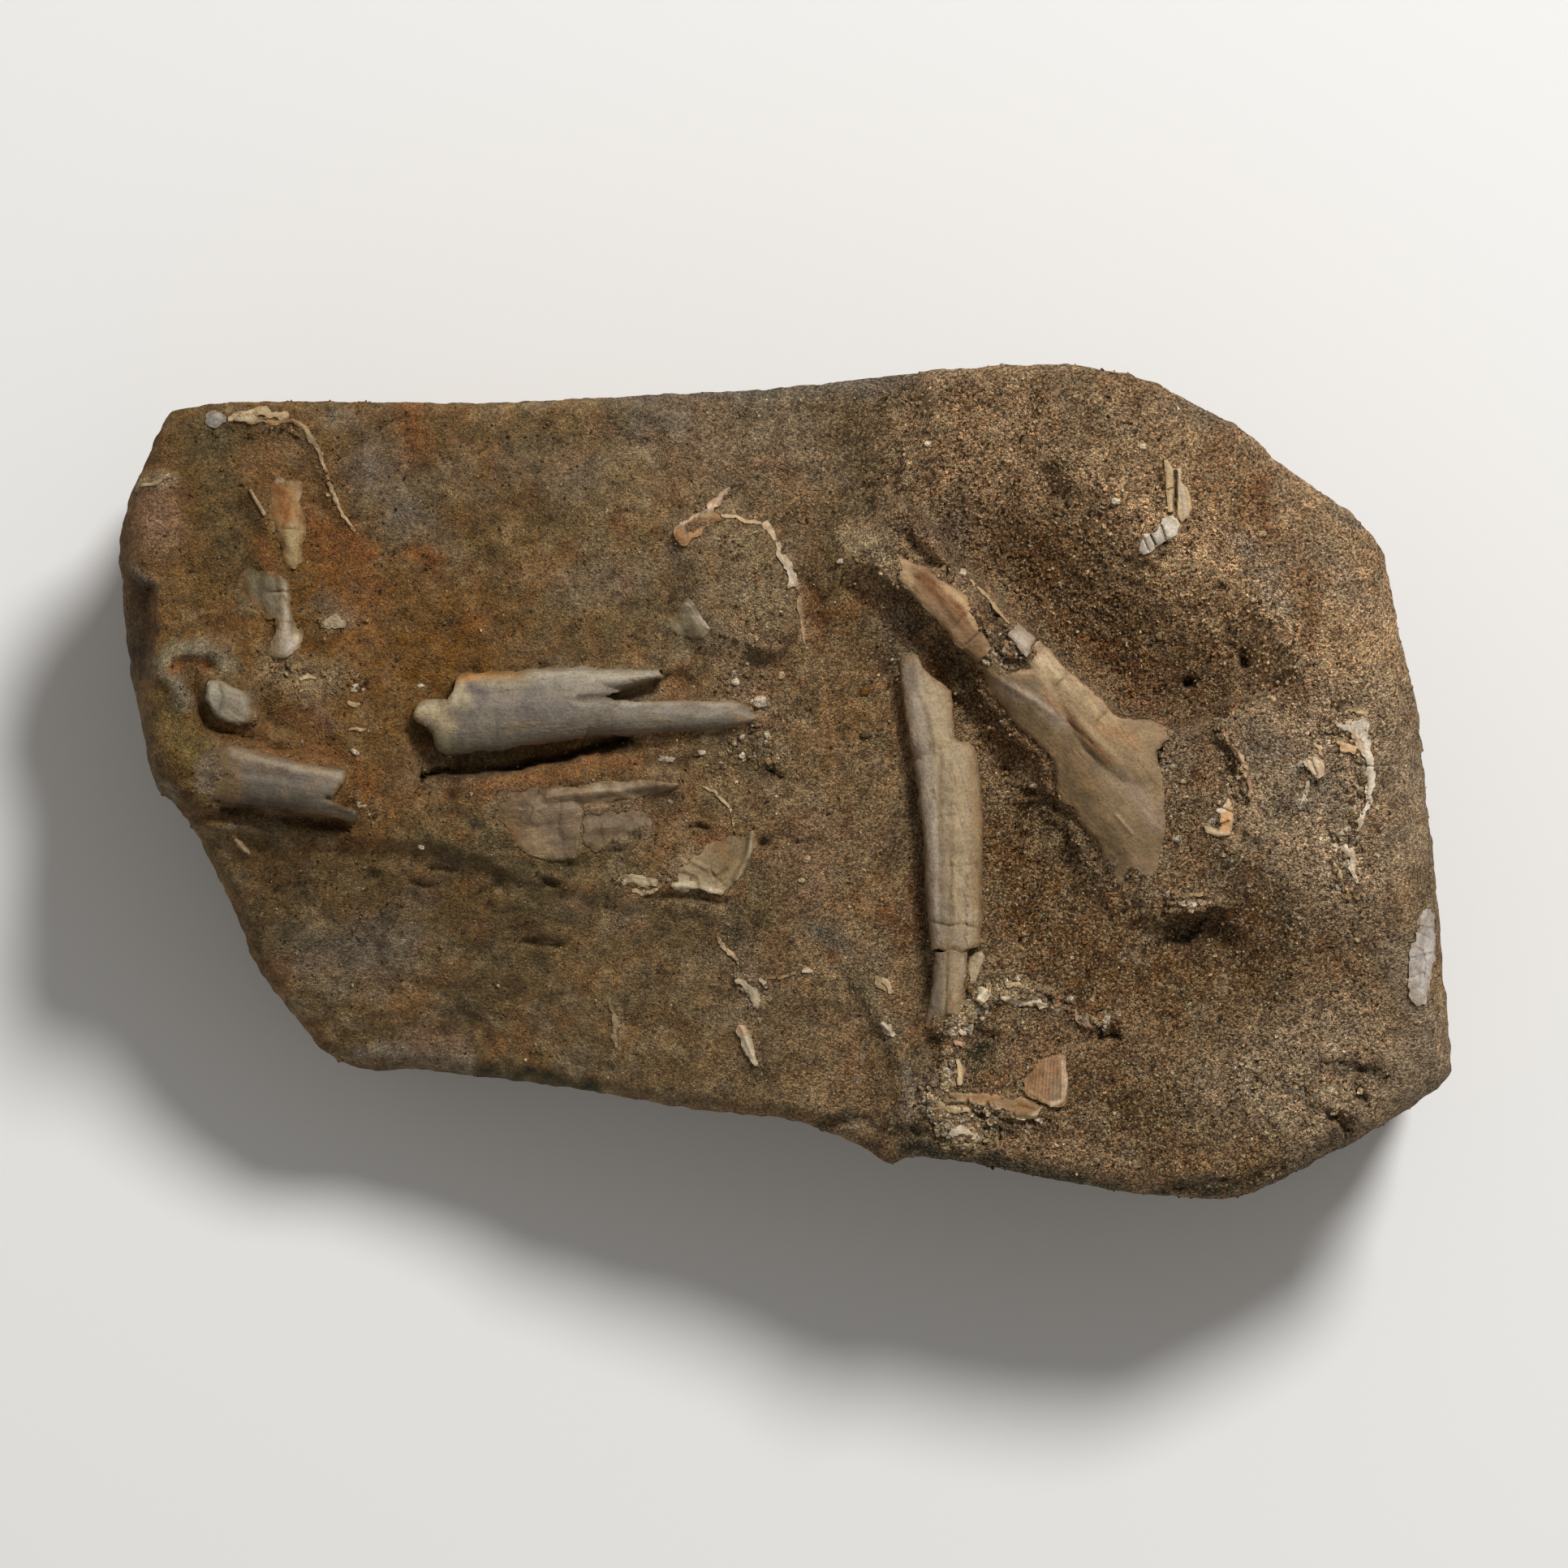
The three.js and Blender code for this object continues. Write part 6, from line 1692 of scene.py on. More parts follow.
bone(
    "flared_bone_blade",
    "cream_bone",
    [(35, 21.8), (37, 20), (38, 17), (39.5, 15), (41.5, 12), (43.5, 10), (46, 8), (48, 6), (49.5, 4),
     (50, 1), (50.2, -1.5), (51.5, -4), (53, -4.5), (54.5, -7), (56, -9.5), (58, -10.5), (58.5, -14),
     (60, -17), (62, -20), (64, -22.5), (67.5, -22), (68, -18), (69, -15), (69.5, -12), (70.3, -9),
     (70, -6), (70, -3), (69.8, 0), (69, 3), (68.5, 5.5), (68.7, 6.5), (70, 7.5), (72, 8.5), (72, 9.5),
     (69, 11), (66, 11.5), (63, 12), (60.5, 12.8), (59, 14.5), (57, 16.5), (54.5, 18.5), (52.5, 20.5),
     (50.5, 22.5), (48, 25.5), (46.8, 26.6), (46, 25), (44.8, 22.8), (45, 21), (43.6, 20.8),
     (41, 20.3), (38.6, 22.6), (36.4, 23.2)],
    tone(150, 127, 94),
    lift=1.35,
    edge=0.6,
    film=2.4,
    dust=0.95,
    hug=3.2,
    shafts=[
        [(46.4, 25.2, 2.6, 3.4), (51, 20.2, 4.2, 4.3), (55.5, 15.6, 5.4, 4.5), (60, 10.6, 6.4, 4.0),
         (65, 6.4, 7, 3.0), (69.6, 3.4, 7, 1.6)],
    ],
    relief=[
        ([(52, 11.5), (54.6, 9.2), (56.6, 7.2)], -0.45, 0.4, 0.4),
        ([(36, 22), (40, 18.8), (45, 15.8), (49, 13)], 0.35, 0.8, 1.2),
        ([(46, 20), (51, 14.6), (56, 9), (62, 3)], 0.5, 1.6, 6),
        ([(61, -6), (64, -9.5)], 0.4, 0.5, 0.4),
        ([(55, 3), (60, -4), (62, -8)], 0.3, 4, 4),
        ([(44, 18), (50, 11), (52, 5)], -0.15, 1.5, 1.5),
        ([(52.4, 20.6), (50, 18)], -0.3, 0.3, 0.3),
        ([(59.6, 13.6), (56.6, 10.6)], -0.25, 0.3, 0.3),
    ],
    buried=[
        ([(52, -13), (57, -14), (61, -15), (66, -15), (72, -17), (76, -32), (50, -32)], 11),
        ([(67, 15), (69, 10), (70.4, 6), (72, 0), (72, -14), (78, -14), (78, 15)], 5),
        ([(38, 12), (44, 8.4), (48.6, 4), (49.6, -2), (54, -6), (57, -14), (44, -14), (38, 0)], 4),
    ],
    dents=[([(50, -6), (62, -8), (73, -8), (76, -30), (50, -30)], -0.5, 12)],
    stains_and_painted_light=[
        # lighter cream along the rounded ridge: the bone's cream, brightened by a painted highlight
        (tone(196, 168, 130), [(46, 24), (49.6, 19.4), (54, 14), (60, 8), (66, 5)], 6, 0.6),
        (tone(238, 214, 178), [(45.6, 26), (48.4, 22.6), (51, 20), (53, 18)], 2.6, 0.95),
        (tone(206, 180, 142), [(53, 17.6), (57, 13.6), (60.6, 11.4)], 3.0, 0.85),
        (tone(186, 158, 120), [(62, 10.6), (66, 9), (71, 9)], 3.0, 0.6),
        (tone(140, 122, 98), [(41, 16.4), (46.6, 18)], 2.0, 0.7),
        (tone(176, 160, 134), [(36, 21.9), (38, 20)], 0.8, 0.8),
        (tone(170, 150, 118), [(40, 19), (45, 16), (48.6, 13.4)], 0.8, 0.6),
        (tone(140, 104, 66), [(50, 8), (54, 3), (58, -2)], 3.4, 0.35),
        (tone(196, 128, 78), [(48, 17), (56, 8), (60, 4)], 1.1, 0.4),
        (tone(186, 168, 154), [(40, 18.4), (46, 15.6), (51, 11)], 2.4, 0.6),
        (tone(190, 166, 148), [(61, 1), (66, -3), (69, -8)], 3.2, 0.6),
        (tone(204, 150, 96), [(58, 11), (64, 7.4)], 2, 0.5),
        (tone(132, 114, 82), [(44, 12), (50, 5), (53, -2)], 2.2, 0.5),
        (tone(140, 90, 56), [(52, 11.3), (54.6, 9), (56.4, 7.2)], 0.6, 0.7),
        (tone(128, 110, 82), [(54, -3), (58, -8), (62, -14)], 3, 0.4),
        (tone(124, 102, 68), [(60, -18), (66, -20)], 4, 0.6),
        (tone(150, 130, 98), [(60, 2), (64, -6), (66, -14)], 3, 0.35),
        (tone(182, 164, 134), [(63.4, 4.4), (64.4, 3.8)], 0.8, 0.8),
        (tone(182, 164, 134), [(65.2, 2.8), (66, 2.2)], 0.7, 0.7),
        (CREAM_BONE, [(61, -6), (64, -9.4)], 0.5, 0.8),
        (CREAM_BONE, [(69.6, 3), (69.8, -3)], 0.8, 0.45),
        (tone(150, 116, 74), [(46, 8.6), (49.4, 4.6)], 0.9, 0.4),
        (CRACK, [(52.4, 20.6), (50, 18)], 0.3, 0.45),
        (CRACK, [(59.6, 13.6), (56.6, 10.6)], 0.28, 0.4),
    ],
    nibble=0.5,
    turn=-48,
    cell=0.37,
    shade=(0.66, 0.62, 0.55),
)
bone(
    "flared_bone_chip",
    "grey_bone",
    [(41, 27.3), (42, 28.4), (43, 29.6), (44.6, 28.2), (46.3, 26.8), (45.6, 25.4), (44.5, 23.3), (42.8, 25.3)],
    tone(206, 190, 170),
    lift=2.9,
    edge=0.45,
    cell=0.26,
    relief=[([(42.2, 28.6), (44.8, 25.6)], 0.3, 1.2, 1.2)],
    stains_and_painted_light=[
        (WHITE_BONE * 1.15, [(42.2, 28), (44.4, 25.6)], 1.6, 0.7),
        (tone(150, 130, 108), [(44.8, 24.6), (45.8, 25.6)], 0.8, 0.5),
    ],
    turn=-48,
    shade=(0.68, 0.66, 0.65),
)

# ---------------------------------------------------------------------------------------------
# Crumbled plate and ribbed flake: thin bone under the long shaft's foot, hollow below, so its
# lower lip stands over a deep shadow. The flake beside it shows the ribs of its inner face.
# ---------------------------------------------------------------------------------------------
bone(
    "crumbled_bone_plate",
    "stained_bone",
    [(29.5, -58), (31, -59.3), (34, -59.2), (37, -60.2), (39.5, -60), (41.5, -61.3), (43.5, -62.2),
     (46, -62), (47.5, -61), (48, -60), (46, -59), (44, -57.3), (43, -55), (41, -53), (38, -52.5),
     (35.5, -54), (33, -56), (30.5, -57)],
    tone(128, 98, 62),
    lift=1.1,
    edge=0.3,
    cell=0.24,
    nibble=1.0,
    relief=[
        ([(30, -58.6), (34, -58.9), (38, -59.8), (42, -61.2), (46, -61.4)], 0.7, 1.4, 0.8),
        ([(44, -59), (47, -60.4)], 0.4, 1, 1),
    ],
    dents=[
        ([(27, -57), (34, -57.2), (40, -58), (44, -58.2), (48, -57), (44, -50), (30, -50)], -1.2, 3),
        ([(36.4, -61.6), (37.4, -58.8), (38.4, -61.6)], -1.6, 0.5),
        ([(33, -60.4), (33.6, -58.2), (34.6, -60.4)], -1.3, 0.5),
        ([(41.6, -62.6), (42.2, -60.6), (42.8, -62.8)], -1.0, 0.4),
    ],
    buried=[([(26, -56.4), (34, -57.2), (40, -58), (44, -58.2), (49, -57.6), (46, -49), (28, -49)], 2.4)],
    stains_and_painted_light=[
        (tone(196, 174, 136), [(30, -58.8), (34, -59), (38, -59.9)], 1.1, 0.9),
        (tone(240, 216, 174), [(39.6, -60.4), (42, -61.8), (45, -62.4), (47.4, -61)], 1.1, 0.95),
        (tone(156, 106, 62), [(31, -58), (36, -58.6), (40, -59.6)], 0.8, 0.6),
        (AMBER_BONE, [(42, -59.4), (45.6, -60.2)], 1.2, 0.8),
        (tone(150, 112, 66), [(34, -57), (38, -57.6)], 2.4, 0.5),
    ],
    turn=-10,
    film=2.4,
    dust=0.6,
    hug=1.0,
    shade=(0.8, 0.78, 0.72),
)
bone(
    "ribbed_bone_flake",
    "cream_bone",
    [(46.5, -50.5), (49, -50.3), (52, -50.5), (52.2, -54), (52, -58), (51.7, -59.3), (50.5, -59.8),
     (49, -59.8), (47, -58.7), (45, -57.7), (44.2, -57), (44, -55), (44.3, -54.5), (46, -53), (46.6, -51.8)],
    tone(152, 118, 84),
    lift=1.5,
    edge=0.3,
    cell=0.2,
    nibble=0.45,
    film=1.0,
    buried=[([(43, -49), (46.4, -49.6), (53, -49.6), (53, -50.8), (46.8, -51.2), (43, -53)], 1.5)],
    relief=[([(46.2 + 0.62 * k, -51.2), (45.4 + 0.7 * k, -58.4)], 0.2, 0.28, 0.28) for k in range(10)],
    stains_and_painted_light=[
        (tone(172, 140, 112), [(48.4, -51.4), (48, -57)], 1.8, 0.6),
        (tone(170, 152, 128), [(50, -55), (49.4, -59)], 1.2, 0.7),
        (tone(222, 204, 176), [(51.6, -51.4), (51.5, -58.6), (49.4, -59.4)], 0.8, 0.95),
        (tone(180, 152, 114), [(45, -57.2), (49, -59.4)], 0.7, 0.8),
        (tone(132, 98, 66), [(45.6, -54.6), (47.6, -54)], 1.4, 0.5),
    ],
    turn=-94,
    shade=(0.86, 0.78, 0.68),
)

# ---------------------------------------------------------------------------------------------
# Splinter at the upper right: a slender bone split lengthwise by a dark crack, with a white,
# frayed foot that has slipped to the left.
# ---------------------------------------------------------------------------------------------
bone(
    "splinter_bone_shaft",
    "cream_bone",
    [(69.7, 60), (70.5, 59.5), (71.3, 58), (73, 57.9), (73.1, 55.6), (74, 54.7), (74.8, 52.5),
     (75, 50.5), (74.2, 49), (73, 48), (72.2, 49.4), (71.5, 49.8), (70.5, 50), (70.3, 53), (70, 57)],
    tone(186, 160, 120),
    lift=1.6,
    edge=0.35,
    cell=0.24,
    nibble=0.2,
    relief=[
        ([(71.9, 57.4), (72, 53), (71.8, 49.4)], -1.7, 0.5, 0.4),
        ([(70.4, 54), (71.6, 54.4)], -0.5, 0.25, 0.25),
        ([(73.6, 53.6), (74, 49.6)], 0.5, 0.8, 0.7),
    ],
    stains_and_painted_light=[
        (YELLOW_BONE, [(70.4, 58.6), (71, 54)], 1.0, 0.7),
        (WHITE_BONE, [(73.2, 54.4), (74, 50)], 1.1, 0.8),
        (WHITE_BONE, [(72.6, 57.4), (72.6, 56)], 0.8, 0.8),
        (CRACK, [(71.9, 57.4), (72, 53), (71.8, 49.4)], 0.55, 0.9),
        (CRACK, [(70.4, 54), (71.6, 54.4)], 0.3, 0.5),
    ],
    turn=-86,
    dust=0.35,
)
bone(
    "splinter_bone_foot",
    "cream_bone",
    [(71.5, 49.3), (73, 48), (72.5, 46), (71, 45), (70, 44.5), (68.5, 43.5), (67.5, 42.5), (66, 42),
     (65, 43), (65.5, 44.5), (66.5, 46), (68, 46.3), (69, 47.5), (69.8, 49)],
    tone(206, 196, 178),
    lift=1.4,
    edge=0.35,
    cell=0.24,
    nibble=0.45,
    relief=[
        ([(67.4, 45.8), (68.4, 43.8)], -1.1, 0.3, 0.3),
        ([(69.4, 47.4), (70.2, 45)], -0.9, 0.3, 0.3),
        ([(66.2, 45), (67, 43)], -0.7, 0.25, 0.25),
    ],
    stains_and_painted_light=[
        (WHITE_BONE * 1.1, [(66.4, 43.6), (70.6, 46.6)], 1.6, 0.6),
        (CRACK, [(67.4, 45.8), (68.4, 43.8)], 0.3, 0.6),
        (CRACK, [(69.4, 47.4), (70.2, 45)], 0.3, 0.6),
        (YELLOW_BONE, [(70.4, 49), (72.2, 47.6)], 0.9, 0.5),
    ],
    turn=40,
    film=0.6,
    dust=0.35,
)

# ---------------------------------------------------------------------------------------------
# Ring-shaped section of a hollow bone, right: the white outer wall stands out as a crescent, and
# one piece of its inside is left. A small chip lies to their left.
# ---------------------------------------------------------------------------------------------
bone(
    "ring_bone_crescent",
    "cream_bone",
    [(101.8, 10.6), (103.4, 11.6), (105, 11.4), (106.6, 11.9), (108, 10.6), (107.7, 8), (108.2, 6), (108.9, 4), (109, 2.5),
     (108.7, 0.5), (108.6, -1.5), (108.1, -3.5), (107.5, -5), (106.8, -7), (106.5, -8.5), (105.5, -9.5),
     (105, -10), (105.3, -8.5), (106, -6.5), (107, -4.5), (107.5, -2), (107.5, 0), (107.2, 2),
     (106.8, 4), (106.2, 5.5), (105.4, 7.4), (104.4, 9.2)],
    tone(222, 206, 182),
    lift=1.0,
    edge=0.3,
    cell=0.22,
    nibble=0.8,
    film=0.4,
    dust=0.4,
    relief=[
        ([(105.6, 3.4), (108.8, 3)], -0.5, 0.25, 0.25),
        ([(106.6, -3.4), (108.4, -3)], -0.5, 0.25, 0.25),
        ([(106.6, 8), (107.9, 3), (107.7, -2)], 0.3, 0.7, 0.6),
    ],
    stains_and_painted_light=[
        (tone(192, 150, 104), [(104.6, 9), (106, 6)], 1.3, 0.7),
        (WHITE_BONE, [(107.6, 4), (107.8, -2)], 1.0, 0.7),
        (AMBER_BONE, [(106.2, -7), (105.6, -9)], 0.9, 0.6),
        (CRACK, [(105.6, 3.4), (108.8, 3)], 0.25, 0.5),
        (CRACK, [(106.6, -3.4), (108.4, -3)], 0.25, 0.5),
    ],
    turn=-86,
)
bone(
    "ring_bone_core",
    "cream_bone",
    [(96, 4), (97, 5.1), (98.5, 4.2), (100, 3.5), (99.5, 2), (98.5, 1), (97.5, 1.5), (96.4, 2.8)],
    tone(204, 180, 146),
    lift=0.9,
    edge=0.3,
    cell=0.24,
    nibble=0.7,
    film=0.5,
    relief=[([(97, 4.6), (98.2, 1.4)], -0.5, 0.3, 0.3)],
    stains_and_painted_light=[(AMBER_BONE, [(98.8, 3.6), (99.4, 2.4)], 0.8, 0.6), (CRACK, [(97, 4.6), (98.2, 1.4)], 0.3, 0.5)],
    turn=-40,
)
bone(
    "socket_bone_chip",
    "cream_bone",
    [(77.2, -8), (78.6, -8), (80, -8.6), (80.4, -7.6), (80.3, -5.8), (79.2, -4.8), (80.8, -4.5),
     (81.7, -2.4), (82.4, -3.6), (82.6, -7), (82, -9.2), (80.8, -9.9), (79, -9.6), (77.6, -8.8)],
    tone(204, 168, 122),
    lift=1.1,
    edge=0.3,
    cell=0.24,
    nibble=0.4,
    film=0.7,
    dust=0.7,
    relief=[([(79.8, -8), (81.8, -7)], -0.6, 0.3, 0.3), ([(80.8, -4.6), (82.4, -5.4)], -0.5, 0.3, 0.3)],
    stains_and_painted_light=[
        (tone(206, 138, 76), [(81, -5.6), (81.4, -8.4)], 1.1, 0.7),
        (tone(226, 214, 194), [(79.4, -5), (80.8, -5), (81.6, -3)], 0.8, 0.9),
        (tone(220, 200, 166), [(77.6, -8.6), (80, -9.4), (82, -9)], 0.7, 0.8),
        (CRACK, [(79.8, -8), (81.8, -7)], 0.3, 0.6),
    ],
    turn=80,
)

# ---------------------------------------------------------------------------------------------
# Side patch, pointed chip and cream chip: three small remains of other bones. The patch is a
# thin, chalky film on the right flank.
# ---------------------------------------------------------------------------------------------
bone(
    "side_bone_patch",
    "cream_bone",
    [(118.6, -20.2), (119.8, -22), (120.1, -25), (120.4, -29), (120.2, -33), (119.6, -36), (118.8, -39),
     (117, -41.7), (115.8, -40), (115.7, -36), (115, -33), (116, -29.5), (117, -26), (117.3, -23.5),
     (118, -20.5)],
    tone(186, 176, 166),
    lift=0.5,
    edge=0.25,
    cell=0.26,
    nibble=0.9,
    relief=[([(117.6, -24), (118.4, -31), (117.4, -38)], -0.25, 0.6, 0.6), ([(115.6, -32.4), (119.8, -31.4)], -0.4, 0.25, 0.25),
            ([(116, -27), (119, -28.6)], -0.3, 0.25, 0.25), ([(115.8, -36), (118, -35), (119.6, -37)], -0.35, 0.25, 0.25)],
    stains_and_painted_light=[
        (tone(140, 126, 108), [(118.8, -24), (118.4, -27), (117.6, -30)], 1.2, 0.6),
        (tone(206, 198, 186), [(119, -30), (118.8, -35)], 1.4, 0.8),
        (tone(206, 198, 186), [(118.8, -21.4), (118.2, -24)], 0.9, 0.8),
        (tone(130, 112, 90), [(116.4, -33.6), (117.4, -35)], 1.0, 0.6),
        (CRACK, [(117, -27.6), (118.6, -26.4), (119.8, -26.6)], 0.25, 0.6),
        (CRACK, [(116.2, -29.8), (117.8, -30.6), (118.6, -33), (118.2, -36)], 0.25, 0.6),
        (tone(140, 126, 106), [(116.4, -37), (117, -40.6)], 1.0, 0.5),
        (CRACK, [(115.6, -32.4), (119.6, -31.4)], 0.25, 0.5),
    ],
    turn=-86,
    dust=0.6,
    film=1.2,
    shade=(0.82, 0.82, 0.82),
)
bone(
    "pointed_bone_chip",
    "cream_bone",
    [(-9, -44.5), (-7.5, -45), (-6.5, -46.5), (-6, -48), (-5.5, -50), (-5, -52), (-5.3, -52.8),
     (-6.3, -52), (-7.3, -50.5), (-8, -49), (-8.3, -47.5), (-9, -46)],
    tone(186, 166, 132),
    lift=0.8,
    edge=0.3,
    cell=0.22,
    nibble=0.4,
    film=0.6,
    dust=0.5,
    relief=[([(-8.2, -45), (-6.2, -50.6)], 0.4, 0.7, 0.7)],
    stains_and_painted_light=[(tone(190, 144, 110), [(-8.6, -45), (-7.6, -46)], 1.3, 0.7), (tone(204, 188, 158), [(-7.6, -47), (-5.8, -51)], 1.0, 0.7)],
    turn=-66,
)
bone(
    "corner_cream_chip",
    "cream_bone",
    [(17, -36), (18.5, -36), (20, -37.5), (19.8, -38.5), (18.5, -38.8), (16.8, -38)],
    tone(178, 154, 114),
    lift=0.7,
    edge=0.3,
    cell=0.24,
    nibble=0.6,
    stains_and_painted_light=[(AMBER_BONE, [(17.4, -38), (18.4, -38.4)], 0.8, 0.5)],
    turn=-30,
)

# ---------------------------------------------------------------------------------------------
# Flakes and film-thin edges: remains of bone wall under about 3 mm, too thin for pieces of their
# own. They lie in the crumbled zone, along the neck, round the ring and on the lower bench.
# ---------------------------------------------------------------------------------------------
def strip(line, half_width):
    """The outline of a thin strip along a line of points."""
    sides = [[], []]
    for i, (x, y) in enumerate(line):
        before, after = line[max(0, i - 1)], line[min(len(line) - 1, i + 1)]
        dx, dy = after[0] - before[0], after[1] - before[1]
        length = math.hypot(dx, dy)
        width = half_width * (0.55 if i in (0, len(line) - 1) else 1)
        sides[0].append((x + dy / length * width, y - dx / length * width))
        sides[1].append((x - dy / length * width, y + dx / length * width))
    return sides[0] + sides[1][::-1]


WHITE_FLAKE = tone(206, 188, 160)
CREAM_FLAKE = tone(184, 158, 118)
TAN_FLAKE = tone(156, 124, 86)
